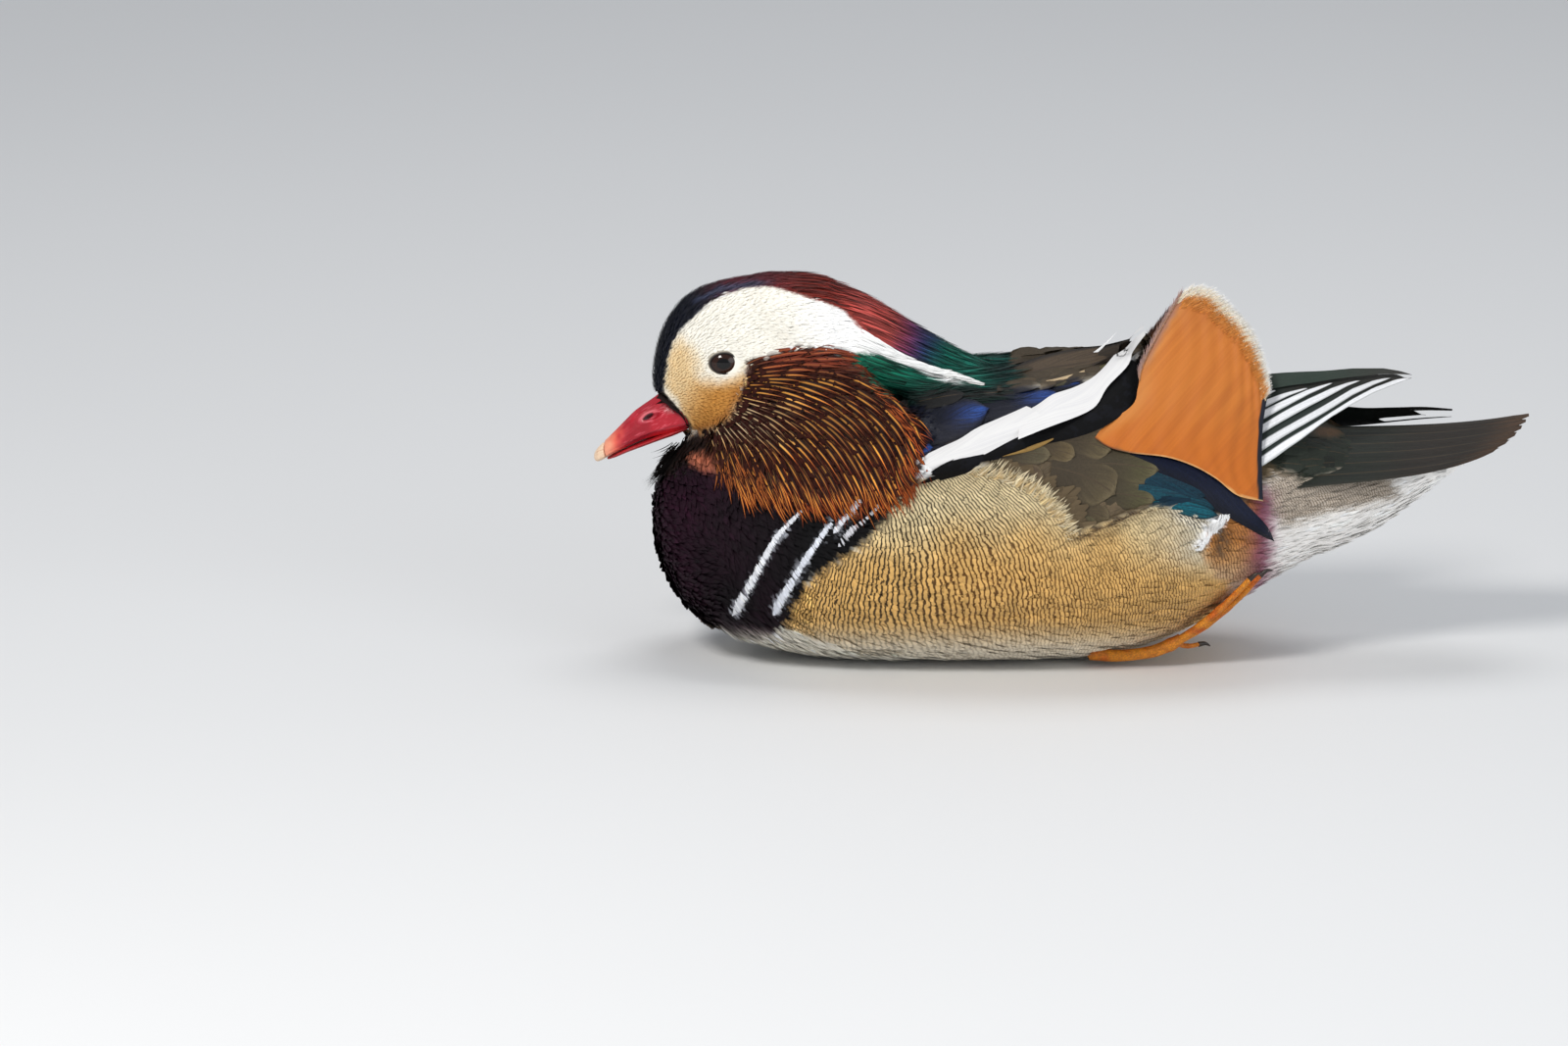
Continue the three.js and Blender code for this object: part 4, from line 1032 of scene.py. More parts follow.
# body
for tag, sel in (("left", left), ("right", right)):
    coat(f"coat_flank_{tag}", "body_feathers", MAT_SOFT, zoned(3, extra=sel), 0.0021, 0.0095, 0.0018, rng, across=3, camber=0.12,
         lift=(-0.0004, 0.0006, 0.0012, 0.0015), profile=(0.6, 1.0, 0.95, 0.25), jitter=0.5, turn=0.1, tone=0.035, round_=0.22)
coat("coat_breast", "body_feathers", MAT_DARK, zoned(2), 0.0019, lambda q, p: np.where(p[:, 2] > 0.085, 0.0052, 0.0072), 0.0011, rng,
     lift=(-0.0003, 0.0006, 0.0011, 0.0015), jitter=1.4, turn=0.16, tone=0.12)
coat("coat_belly", "body_feathers", MAT_SOFT, zoned(4), 0.0026, 0.0095, 0.0019, rng, across=3, camber=0.1, jitter=1.5, tone=0.03)
def low_tail(p):
    """The rear body, and the sides of the tail's cone under the roof of the tail."""
    z = zone(p)
    return (z == 7) | ((z == 8) & (plane(p)[:, 0] > 1392) & (p[:, 2] < 0.0865))


coat("coat_undertail", "body_feathers", MAT_FACE, low_tail, 0.00165, 0.0098, 0.00098, rng, across=2,
     lift=(-0.0002, 0.0005, 0.0010, 0.0014), jitter=1.5, turn=0.13, tone=0.025, twist=0.12, round_=0.2)
coat("coat_back", "body_feathers", MAT_VANE, zoned(5, 8, extra=lambda p: (inside(WHITE_STRIPE, plane(p)) < -5) | (np.abs(p[:, 1]) < 0.012)), 0.0034, 0.014, 0.0036, rng, across=5, camber=0.16, steps=5,
     profile=(0.55, 0.85, 1.0, 1.0, 0.85, 0.3), lift=(-0.0004, 0.0003, 0.0008, 0.0012, 0.0014, 0.0014), jitter=1.0, tone=0.1)
for tag, sel in (("left", left), ("right", right)):
    coat(f"coat_face_{tag}", "face_feathers", MAT_FACE, zoned(0, extra=lambda p, sel=sel: sel(p) & (inside(BILL_FRONT, plane(p)) < -1.5)), 0.00088,
         lambda q, p: 0.0016 + 0.0022 * ease(690, 800, q[:, 0]), lambda q, p: 0.00036 + 0.0002 * ease(690, 800, q[:, 0]), rng,
         lift=(-0.0001, 0.00035, 0.0006, 0.0007), jitter=0.35, turn=0.1, tone=0.018, avoid_eye=True, round_=0.12)


def strands(p, n, length, half, steps, rng, lift, way, stiff=0.3, turn=0.08, across=2, camber=0.0, round_=0.4, profile=None, curl=0.0, ground=None, twist=0.25):
    pts, nrm, dirs = walked(ground or SKIN, p, n, length, steps, rng, turn, way, stiff)
    s = np.linspace(0, 1, steps + 1)
    prof = profile if profile is not None else np.minimum(1, 0.5 + 2 * s) * (1 - 0.9 * ease(0.55, 1.0, s))
    return (pts,) + vanes(pts, nrm, dirs, np.asarray(prof)[None] * half[:, None], lift, across, camber, rng, round_, twist)


# crown and crest
coat("coat_crown", "crest_feathers", MAT_GLOSS, zoned(9), 0.0009, lambda q, p: 0.0026 + 0.0036 * ease(690, 790, q[:, 0]), lambda q, p: 0.00024 + 0.00008 * ease(690, 790, q[:, 0]), rng,
     lift=(-0.0001, 0.0004, 0.00065, 0.0008), jitter=0.8, turn=0.09, tone=0.14, avoid_eye=True, round_=0.4)


def crest_paint(p, rough=None):
    base, dark, aux = paint(p, rough)
    q = plane(p)
    u = q[:, 0]
    high = ease(-2, 2, inside([(860, 200), (860, 318)] + BROW_TOP + [(1100, 400), (1100, 200)], q))
    own = mix(green_colour(q), crown_colour(q, noise(p, 0.006, 2)), high)
    w = ease(972, 992, u)
    return mix(base, own, w), mix(dark, own * 0.6, w), aux


p, n = SKIN.spread(0.00125 * THIN, zoned(1), rng)
f = 0.0165 * rng.uniform(0.7, 1.3, len(p))
s6 = np.linspace(0, 1, 7)
up = (-0.0002 + 0.0016 * s6**0.7)[None] * (1 + 0.35 * rng.normal(0, 1, (len(p), 1)))
pts, g, nn, fuv = strands(p, n, f, 0.00032 * rng.uniform(0.7, 1.3, len(p)), 6, rng, up, lie, turn=0.07)
b = small(g, nn, fuv, rng, 1.0, tone=0.27, painter=crest_paint)
b["aux"][..., 2] = 0.0
feathers("crest_strands", [b], MAT_GLOSS)


# the white brow's long end
def brow():
    mid = curve([(872, 343), (893, 355), (912, 365), (935, 374.5), (960, 383), (983, 391), (1004, 398.5)], 200)
    wide = np.interp(np.linspace(0, 1, 200), [0, 0.2, 0.4, 0.7, 1], [11, 5.6, 3.6, 2.4, 0.6])
    count, k = 420, np.linspace(0, 1, 6)
    a = rng.random(count) ** 0.9 * 0.93
    f = rng.uniform(0.12, 0.2, count)
    off = rng.uniform(-1, 1, count)
    w = np.minimum(a[:, None] + f[:, None] * k[None], 1.0)
    at = lambda arr: np.interp(w, np.linspace(0, 1, 200), arr)
    t = np.gradient(mid, axis=0)
    t = t / np.linalg.norm(t, axis=1)[:, None]
    lines = np.stack([at(mid[:, 0]) - at(t[:, 1] * wide) * off[:, None], at(mid[:, 1]) + at(t[:, 0] * wide) * off[:, None]], -1)
    up = (0.0006 + 0.0015 * k**0.8)[None] * rng.uniform(0.8, 1.2, (count, 1)) + 0.0004 * ease(0.2, 0.6, a)[:, None]
    g, nn, fuv = laid(lines, np.array([0.6, 1, 1, 0.9, 0.6, 0.1])[None] * 0.00028 * rng.uniform(0.7, 1.2, (count, 1)), up, 2, 0.0, 0.2)
    col = lin(np.broadcast_to(np.array((250.0, 250.0, 248.0)) * (1 + rng.normal(0, 0.02, (count, 1, 1, 1))), g.shape))
    return [grid_batch(gg, n2, col, col * 0.85, fuv, np.zeros(g.shape)) for gg, n2 in ((g, nn), mirrored(g, nn))]


# ruff: long pointed feathers that sweep back and then down, with gold shafts
RUFF_LIE = np.array([
    (735, 400, 1, 0.1), (765, 372, 1, -0.35), (772, 395, 1, 0.0), (800, 372, 1, -0.12), (835, 372, 1, 0.05), (862, 382, 1, 0.3), (885, 402, 1, 0.6), (905, 425, 0.8, 0.8),
    (925, 450, 0.55, 1), (935, 475, 0.4, 1), (760, 420, 1, 0.35), (790, 410, 1, 0.25), (825, 412, 1, 0.4), (855, 425, 1, 0.7), (880, 450, 0.75, 1), (905, 480, 0.5, 1),
    (745, 440, 0.7, 0.7), (770, 445, 0.85, 0.75), (800, 445, 0.9, 0.75), (830, 455, 0.8, 0.9), (860, 480, 0.6, 1), (880, 505, 0.45, 1),
    (735, 455, 0.3, 1), (755, 470, 0.4, 1), (780, 480, 0.5, 1), (810, 490, 0.55, 1), (840, 505, 0.5, 1), (730, 480, 0.15, 1), (760, 500, 0.3, 1), (720, 440, 0.2, 0.6),
])


def ruff_lie(p):
    q = plane(p)
    d = ((q[:, None] - RUFF_LIE[None, :, :2]) ** 2).sum(2)
    w = 1 / (d + 90) ** 1.8
    way = RUFF_LIE[:, 2:] / np.linalg.norm(RUFF_LIE[:, 2:], axis=1)[:, None]
    a = (w[..., None] * way[None]).sum(1)
    return unit(np.stack([a[:, 0], np.zeros(len(p)), -a[:, 1]], 1))


def ruff_way(q):
    d = ((q[:, None] - RUFF_LIE[None, :, :2]) ** 2).sum(2)
    w = 1 / (d + 90) ** 1.8
    way = RUFF_LIE[:, 2:] / np.linalg.norm(RUFF_LIE[:, 2:], axis=1)[:, None]
    return unit((w[..., None] * way[None]).sum(1))


def streams(poly, way, gap, step=2.0, least=18, out=2.0, seed=21):
    """Evenly spaced lines that follow way(q) through the polygon."""
    r = np.random.default_rng(seed)
    box = np.array(poly, float)
    seeds = np.stack(np.meshgrid(np.arange(box[:, 0].min(), box[:, 0].max(), 4.0), np.arange(box[:, 1].min(), box[:, 1].max(), 4.0)), -1).reshape(-1, 2)
    seeds = seeds + r.uniform(-1.5, 1.5, seeds.shape)
    seeds = seeds[inside(poly, seeds) > 1]
    seeds = seeds[np.argsort(((seeds - np.array([805.0, 420.0])) ** 2).sum(1))]
    taken, lines = np.zeros((0, 2)), []
    for c0 in seeds:
        if len(taken) and ((taken - c0) ** 2).sum(1).min() < gap**2:
            continue
        halves = []
        for sg in (-1, 1):
            c, part = c0.copy(), []
            for _ in range(160):
                c = c + sg * step * way(c[None])[0]
                if inside(poly, c[None])[0] < -out:
                    break
                if len(taken) and ((taken - c) ** 2).sum(1).min() < (0.55 * gap) ** 2:
                    break
                part.append(c)
            halves.append(part)
        line = np.array(halves[0][::-1] + [c0] + halves[1])
        if len(line) * step >= least:
            lines.append(line)
            taken = np.vstack([taken, line])
    return lines


def laid(lines, half, lift, across, camber, round_=0.3, ground=None, soften=2, twist=0.0):
    """Feather grids on the left side about centre lines given in the plane, (N, K, 2)."""
    n_, k_ = lines.shape[:2]
    p, n = (ground or SKIN).shoot(lines.reshape(-1, 2))
    p, n = p.reshape(n_, k_, 3), n.reshape(n_, k_, 3)
    # a feather that runs past an edge stands free of it
    y, depth = p[..., 1].copy(), p[..., 2] + p[..., 1] * LEAN_S / LEAN_C
    step = np.linalg.norm(np.diff(lines, axis=1), axis=2) * UNIT
    for i in range(1, k_):
        y[:, i] = y[:, i - 1] + np.minimum(y[:, i] - y[:, i - 1], 0.8 * step[:, i - 1])
    p = np.stack([p[..., 0], y, depth - y * LEAN_S / LEAN_C], -1)
    for _ in range(soften):
        for arr in (p, n):
            arr[:, 1:-1] = arr[:, 1:-1] * 0.5 + (arr[:, :-2] + arr[:, 2:]) * 0.25
    n = unit(n)
    return vanes(p, n, unit(np.gradient(p, axis=1)), half, lift, across, camber, rng, round_, twist)


def mirrored(g, n):
    return g * (1, -1, 1), n * (1, -1, 1)


def ruff_tone(g, s, gold, tone):
    """Base and shaft colours and the shaft's strength over ruff feathers (N, K, M, 3)."""
    n_, k_, m_ = g.shape[:3]
    q = plane(g.reshape(-1, 3))
    u, v = q[:, 0], q[:, 1]
    ss = np.broadcast_to(s[None, :, None], (n_, k_, m_)).reshape(-1)
    each = lambda a: np.repeat(a, k_ * m_)
    col = mix((22, 6, 3), (50, 13, 5), ease(0.15, 1, ss))
    col = mix(col, (116, 46, 28), ease(392, 366, v) * ease(765, 800, u))
    col = mix(col, (44, 20, 12), ease(800, 750, u) * ease(420, 450, v) * 0.8)
    col = mix(col, (140, 48, 16), ease(0.75, 1.0, ss) * ease(450, 490, v) * 0.7)
    col = col * each(1 + rng.normal(0, tone, n_))[:, None]
    tip = mix((212, 142, 56), (190, 92, 30), ease(0.5, 1.0, ss))
    tip = mix(tip, (232, 206, 168), ease(840, 760, u) * ease(398, 420, v) * ease(470, 440, v) * 0.85)
    tip = mix(tip, (196, 108, 58), ease(392, 370, v))
    tip = tip * each(1 + rng.normal(0, 0.1, n_))[:, None]
    show = gold * ease(-0.05, 0.1, ss) * ease(1.06, 0.9, ss) * each(rng.uniform(0.45, 1.1, n_)) * (1 - 0.45 * ease(388, 366, v))
    aux = np.stack([np.zeros(len(u)), np.zeros(len(u)), np.clip(show, 0, 1)], 1)
    return lin(col).reshape(g.shape), lin(tip).reshape(g.shape), aux.reshape(g.shape)


def ruff_hairs(where, gap, long, half, steps=7):
    p, n = SKIN.spread(gap, where, rng)
    q = plane(p)
    f = long(q) * rng.uniform(0.8, 1.2, len(p))
    s = np.linspace(0, 1, steps + 1)
    trial, _, _ = walked(SKIN, p, n, f, 8, rng, 0.0, ruff_lie, 0.35)
    held = inside(RUFF, plane(trial).reshape(-1, 2)).reshape(len(p), 9) > rng.uniform(-4, 4, (len(p), 1))
    held[:, 0] = True
    run = np.where(held.all(1), 8, held.argmin(1))
    keep = run >= 2
    p, n, f = p[keep], n[keep], (f * run / 8)[keep]
    up = (-0.0002 + 0.0018 * s**0.8)[None] * (1 + 0.3 * rng.normal(0, 1, (len(p), 1)))
    prof = (0.35 + 0.65 * ease(0, 0.35, s)) * (1 - 0.93 * ease(0.5, 1.0, s))
    pts, g, nn, fuv = strands(p, n, f, half * rng.uniform(0.75, 1.2, len(p)), steps, rng, up, ruff_lie, 0.35, 0.06, 2, 0.0, 0.5, prof)
    col, tip, aux = ruff_tone(g, s, 0.2, 0.14)
    return grid_batch(g, nn, col, tip, fuv, aux)


def ruff_lances():
    """Long pointed feathers end to end along the streams, each tip over the next one's root; the last ones reach past the ruff's border."""
    K, cut = 13, []
    s = np.linspace(0, 1, K)
    for line in streams(RUFF, ruff_way, 4.8):
        step = 2.0
        total = len(line) * step
        at = rng.uniform(-22, 0)
        while at < total - 12:
            length = rng.uniform(52, 80) * (1 if line[0, 0] > 770 else 0.8)
            a, b = max(at, 0.0), at + length
            over = rng.uniform(-5, 4)
            b = min(b, total + over)
            if b - a > 14:
                w = np.linspace(a, b, K) / step
                i = np.clip(w.astype(int), 0, len(line) - 2)
                cut.append(line[i] * (1 - (w - i))[:, None] + line[i + 1] * (w - i)[:, None])
            at += length * 0.7
    lines = np.array(cut)
    n_ = len(lines)
    front = ease(800, 740, lines[:, 0, 0])
    half = (0.00098 - 0.00042 * front) * rng.uniform(0.8, 1.15, n_)
    prof = (0.6 + 0.4 * ease(0, 0.3, s)) * (1 - 0.95 * ease(0.5, 1.0, s) ** 1.2)
    up = 0.0003 + (0.0024 - 0.0008 * front)[:, None] * s[None] ** 1.1 * rng.uniform(0.75, 1.2, (n_, 1))
    g, nn, fuv = laid(lines, prof[None] * half[:, None], up, 5, 0.3, 0.5, soften=3, twist=0.1)
    col, tip, aux = ruff_tone(g, s, 1.0, 0.1)
    return g, nn, col, tip, fuv, aux


def ruff_zone(grow):
    def f(p):
        q = plane(p)
        return (inside(RUFF, q) > grow) & (p[:, 2] > 0.06) & (q[:, 0] < 925 - 0.3 * np.maximum(0, q[:, 1] - 440)) & (np.abs(p[:, 1]) > 0.008)

    return f


def ruff_long(q):
    """How far a ruff feather can run: longer from the middle, short at the front and near the tips."""
    base = 0.0135 + 0.0125 * ease(745, 800, q[:, 0]) - 0.009 * ease(820, 930, q[:, 0])
    return base - 0.004 * ease(440, 500, q[:, 1]) * ease(790, 760, q[:, 0])


feathers("brow_strands", brow(), MAT_FACE)
k = np.linspace(0, 1, 14)
foot, _ = SKIN.shoot(np.array([[1104.0, 367.0]]))
stem = foot + np.stack([34 * k, 0 * k, 28 * k**1.35], -1) * np.array([UNIT, 1, UNIT / LEAN_C]) + np.array([0, -0.0012, 0])
side = np.gradient(stem, axis=0)
side = unit(np.stack([-side[:, 2], 0 * k, side[:, 0]], -1))
half = 0.0008 * (1 - k) ** 0.9 * ease(-0.05, 0.35, k) + 0.00003
g = stem[:, None] + side[:, None] * (half[:, None] * np.linspace(-1, 1, 3)[None])[..., None]
fuv = np.stack([np.broadcast_to(np.linspace(-1, 1, 3) * 0.9, g.shape[:2]), np.broadcast_to(k[:, None], g.shape[:2]), np.full(g.shape[:2], 0.5)], -1)
col = lin(np.broadcast_to(np.array([238.0, 238, 238]), g.shape))
feathers("back_filament", [grid_batch(g[None], np.broadcast_to(unit(np.array([0, -1.0, 0.4])), g.shape)[None], col[None], col[None] * 0.8, fuv[None], 0 * fuv[None])], MAT_SOFT)
lance = ruff_lances()
for tag, sel in (("left", left), ("right", right)):
    zf = ruff_zone(1)
    w = lambda p, zf=zf, sel=sel: zf(p) & sel(p)
    hairs = ruff_hairs(w, 0.0021 * THIN, lambda q: ruff_long(q) * 0.8, 0.00042)
    g, nn = (lance[0], lance[1]) if tag == "left" else mirrored(lance[0], lance[1])
    feathers(f"ruff_feathers_{tag}", [hairs, grid_batch(g, nn, *lance[2:])], MAT_RUFF)

# breast bars: white barbs laid across each bar
parts = []
for bar, wide, shade in BARS:
    c = curve(bar, 200)
    run = np.concatenate([[0], np.cumsum(np.linalg.norm(np.diff(c, axis=0), axis=1))])
    count = int(run[-1] / (1.1 if bar is BAR_3 else 0.42))
    w = np.sort(rng.random(count)) * run[-1]
    mid = np.stack([np.interp(w, run, c[:, i]) for i in range(2)], 1)
    t = w / run[-1]
    half = (wide[0] + (wide[1] - wide[0]) * t) * rng.uniform(0.75, 1.2, count) * ease(0.0, 0.06, t + 0.03) * ease(1.02, 0.93, t)
    d = np.stack([0.62 + rng.normal(0, 0.09, count), 0.78 + rng.normal(0, 0.07, count)], 1)
    k5 = np.linspace(-1, 1.15, 5)
    lines = mid[:, None] + d[:, None] * (half[:, None] * k5[None])[..., None]
    prof = np.array([0.5, 1.0, 1.0, 0.8, 0.15])
    up = np.array([0.0010, 0.0017, 0.0020, 0.0021, 0.0019])[None] + rng.uniform(-0.0002, 0.0003, (count, 1)) - 0.0017 * ease(0.2, 0.0, t)[:, None]
    g, nn, fuv = laid(lines, prof[None] * 0.00024 * rng.uniform(0.7, 1.3, (count, 1)), up, 2, 0.0, 0.3)
    col = lin(np.broadcast_to(np.array(shade, float) * (1 + rng.normal(0, 0.05, (count, 1, 1, 1))), g.shape))
    for gg, n2 in ((g, nn), mirrored(g, nn)):
        parts.append(grid_batch(gg, n2, col, col * 0.8, fuv, np.zeros(g.shape)))
feathers("breast_bars", parts, MAT_SOFT)

# the white hook at the flank's rear end
hook = curve([(1250, 527), (1241, 532), (1233, 540), (1226, 549), (1217, 560)], 100)
i = (rng.random(150) * 99).astype(int)
ang = np.radians(118 + rng.normal(0, 14, 150))
d = np.stack([np.cos(ang), np.sin(ang)], 1)
k5 = np.linspace(-0.5, 0.5, 5)
f = rng.uniform(8, 12, 150) * ease(-0.1, 0.3, i / 99) * ease(1.1, 0.7, i / 99)
lines = hook[i][:, None] + d[:, None] * (f[:, None] * k5[None])[..., None] + rng.normal(0, 1.2, (150, 1, 2))
g, nn, fuv = laid(lines, np.array([0.6, 1, 1, 0.7, 0.15])[None] * 0.00032 * rng.uniform(0.7, 1.2, (150, 1)), np.array([0.0012, 0.0017, 0.002, 0.0022, 0.002])[None] + rng.uniform(-0.0002, 0.0003, (150, 1)), 2, 0.0, 0.3)
col = lin(np.broadcast_to(np.array((246.0, 246.0, 246.0)), g.shape))
feathers("flank_hook", [grid_batch(gg, n2, col, col * 0.8, fuv, np.zeros(g.shape)) for gg, n2 in ((g, nn), mirrored(g, nn))], MAT_SOFT)

# the flank's loose upper fringe, over the wing
c = curve([(986, 482), (1002, 483), (1020, 487), (1038, 494), (1056, 504), (1072, 520), (1084, 536), (1092, 548)], 200)
parts = []
for count, long, shade, wide in ((230, (8, 18), (226, 210, 174), 0.00026), (200, (5, 10), (208, 182, 134), 0.00026)):
    i = (rng.random(count) ** 0.9 * 199).astype(int)
    back = ease(1060, 1095, c[i, 0])
    ang = np.radians(-40 + 18 * back + rng.normal(0, 13, count))
    f = rng.uniform(*long, count) * (1 - 0.35 * back)
    d = np.stack([np.cos(ang), np.sin(ang)], 1)
    root = c[i] - d * rng.uniform(2, 7, (count, 1)) + rng.normal(0, 1.0, (count, 2))
    k5 = np.linspace(0, 1, 5)
    lines = root[:, None] + d[:, None] * ((f[:, None] + 4) * k5[None])[..., None]
    up = (0.0009 + 0.0016 * k5)[None] * rng.uniform(0.6, 1.3, (count, 1))
    g, nn, fuv = laid(lines, np.array([0.8, 1, 0.9, 0.6, 0.1])[None] * wide * rng.uniform(0.7, 1.3, (count, 1)), up, 2, 0.0, 0.3)
    col = lin(np.broadcast_to(np.array(shade, float) * (1 + rng.normal(0, 0.08, (count, 1, 1, 1))), g.shape))
    for gg, n2 in ((g, nn), mirrored(g, nn)):
        parts.append(grid_batch(gg, n2, col, col * 0.8, fuv, np.zeros(g.shape)))
feathers("flank_fringe", parts, MAT_SOFT)

# tawny hackles under the cheek, and the throat's loose point
def flames(count, poly, long, half, tones, aim, lift, seed, spread_=0.12):
    r = np.random.default_rng(seed)
    box = np.array(poly, float)
    q = r.uniform(box.min(0), box.max(0), (count * 6, 2))
    q = q[inside(poly, q) > 0][:count]
    n_ = len(q)
    way = aim(q)
    ang = np.arctan2(way[:, 1], way[:, 0]) + r.normal(0, spread_, n_)
    f = r.uniform(*long, n_)
    k = np.linspace(0, 1, 7)
    bend = r.normal(0, 0.08, n_)
    d = np.stack([np.cos(ang), np.sin(ang)], 1)
    nrm_ = np.stack([-d[:, 1], d[:, 0]], 1)
    lines = q[:, None] + d[:, None] * (f[:, None] * k[None])[..., None] + nrm_[:, None] * ((bend * f)[:, None] * (k**2)[None])[..., None]
    prof = (0.55 + 0.45 * ease(0, 0.3, k)) * (1 - 0.95 * ease(0.4, 1, k))
    up = (lift[0] + (lift[1] - lift[0]) * k**1.2)[None] * MM * r.uniform(0.7, 1.25, (n_, 1))
    g, nn, fuv = laid(lines, prof[None] * half * MM * r.uniform(0.7, 1.25, (n_, 1)), up, 3, 0.25, 0.45, twist=0.15)
    tint = 1 + r.normal(0, 0.1, (n_, 1, 1, 1))
    col = lin(mix(np.broadcast_to(np.asarray(tones[0], float), g.shape), tones[1], np.broadcast_to(ease(0.2, 0.9, k)[None, :, None], g.shape[:3])) * tint)
    tip = lin(np.broadcast_to(np.asarray(tones[2], float), g.shape) * tint)
    aux = np.zeros(g.shape)
    aux[..., 2] = (ease(0.05, 0.3, k) * ease(1.05, 0.9, k))[None, :, None]
    return [grid_batch(gg, n2, col, tip, fuv, aux) for gg, n2 in ((g, nn), mirrored(g, nn))]


hz = [(726, 464), (748, 458), (770, 468), (792, 486), (786, 500), (764, 494), (740, 484)]
parts = flames(120, hz, (22, 40), 0.62, ((34, 12, 7), (94, 40, 15), (178, 98, 36)), lambda q: unit(np.stack([0.35 + 0.004 * (q[:, 0] - 740), np.ones(len(q))], 1)), (0.4, 2.4), 31)
parts += flames(170, [(686, 452), (706, 448), (712, 466), (694, 476), (682, 468)], (14, 25), 0.6, ((14, 9, 8), (20, 14, 12), (28, 20, 17)), lambda q: unit(np.stack([-0.62 + 0 * q[:, 0], np.ones(len(q))], 1)), (0.2, 1.0), 32, 0.2)
parts += flames(46, [(678, 462), (692, 456), (696, 468), (680, 476)], (26, 40), 0.5, ((12, 8, 8), (16, 11, 10), (22, 16, 14)), lambda q: unit(np.stack([670 - 10 - q[:, 0], 501 - q[:, 1]], 1)), (0.3, 0.9), 33, 0.03)
feathers("hackles", parts, MAT_RUFF)
edge_ = [(884, 386), (905, 410), (926, 424), (937, 446), (931, 470), (922, 496), (906, 506), (880, 506), (850, 510), (812, 508), (812, 500), (850, 500), (880, 496), (902, 494), (914, 474), (922, 446), (908, 424), (892, 404), (876, 388)]
parts = flames(170, edge_, (18, 38), 0.42, ((40, 10, 4), (112, 36, 12), (192, 96, 34)), ruff_way, (0.9, 2.7), 34, 0.1)
parts += flames(70, [(750, 480), (800, 486), (850, 490), (906, 486), (906, 500), (850, 505), (800, 501), (750, 494)], (28, 46), 0.55, ((48, 13, 5), (146, 60, 20), (216, 134, 52)), ruff_way, (1.6, 3.0), 35, 0.07)
feathers("ruff_ends", parts, MAT_RUFF)


# ---------------------------------------------------------------------------
# Single feathers set one by one in the side plane, on both sides
# ---------------------------------------------------------------------------
def set_feather(root, tip, half, bend=0.0, lift=(0.4, 1.4), k=14, m=9, shape="round", blunt=0.25, ground=None, camber=0.1):
    """A vane from root to tip (plane places), half its width in plane units. Returns grid and normals on the left side."""
    ground = ground or SKIN
    a, b = np.array(root, float), np.array(tip, float)
    ax = b - a
    nx = np.array([-ax[1], ax[0]]) / np.linalg.norm(ax)
    s = np.linspace(0, 1, k)
    line = a + ax * s[:, None] + nx * (bend * 4 * s * (1 - s))[:, None]
    t = np.gradient(line, axis=0)
    t = t / np.linalg.norm(t, axis=1)[:, None]
    sd = np.stack([-t[:, 1], t[:, 0]], 1)
    if shape == "round":
        w = half * (0.55 + 0.45 * ease(0, 0.45, s)) * np.sqrt(np.clip(1 - np.clip((s - (1 - blunt * 2)) / (blunt * 2), 0, 1) ** 2.6, 0.0, 1))
    else:
        w = half * (0.5 + 0.5 * ease(0, 0.3, s)) * (1 - ease(0.35, 1.02, s)) ** 0.7
    w = np.maximum(w, 0.25)
    u = np.linspace(-1, 1, m)
    q = line[:, None] + sd[:, None] * (u[None, :, None] * w[:, None, None])
    if shape == "round":  # the end is an arc, not a cut
        q = q + t[:, None] * (-(u**2) * (0.4 * blunt * half) * ease(0.6, 1, s)[:, None])[..., None]
    p, n = ground.shoot(q.reshape(-1, 2))
    p, n = p.reshape(k, m, 3), n.reshape(k, m, 3)
    for _ in range(3):  # soften the ground's small steps
        for arr in (p, n):
            arr[1:-1] = arr[1:-1] * 0.5 + (arr[:-2] + arr[2:]) * 0.25
            arr[:, 1:-1] = arr[:, 1:-1] * 0.5 + (arr[:, :-2] + arr[:, 2:]) * 0.25
    n = unit(n)
    up = (lift[0] + (lift[1] - lift[0]) * s[:, None] + camber * half * UNIT / MM * (1 - u[None] ** 2)) * MM
    g = p + n * up[..., None]
    return g, n, u, s


def both_sides(g, n, drop=None):
    """The same grid on the left side and mirrored on the right."""
    r, rn = g * (1, -1, 1), n * (1, -1, 1)
    if drop is not None:
        r = drop(r)
    return [(g, n), (r[:, ::-1], rn[:, ::-1])]


def big(name, specs, mat, nodes=(), drop=None):
    """specs: (set_feather keywords, colour(u, s) -> (col, col2, aux.y))."""
    batches = []
    for kw, tone in specs:
        g, n, u, s = set_feather(**kw)
        uu, ss = np.meshgrid(u, s)
        r = rng.random()
        for i, (gg, nn) in enumerate(both_sides(g, n, drop)):
            us = uu if i == 0 else uu[:, ::-1]
            col, col2, vm = tone(us, ss, gg)
            gn = grid_normals(gg)
            gn = gn * np.sign((gn * nn).sum(-1, keepdims=True))
            k_, m_ = us.shape
            fuv = np.stack([us, ss, np.full_like(us, r)], -1)
            aux = np.stack([np.zeros_like(us), np.broadcast_to(vm, us.shape), np.zeros_like(us)], -1)
            batches.append(grid_batch(gg[None], unit(gn * 0.6 + nn * 0.4)[None], lin(np.broadcast_to(col, gg.shape))[None], lin(np.broadcast_to(col2, gg.shape))[None], fuv[None], aux[None]))
    return feathers(name, batches, mat, nodes)


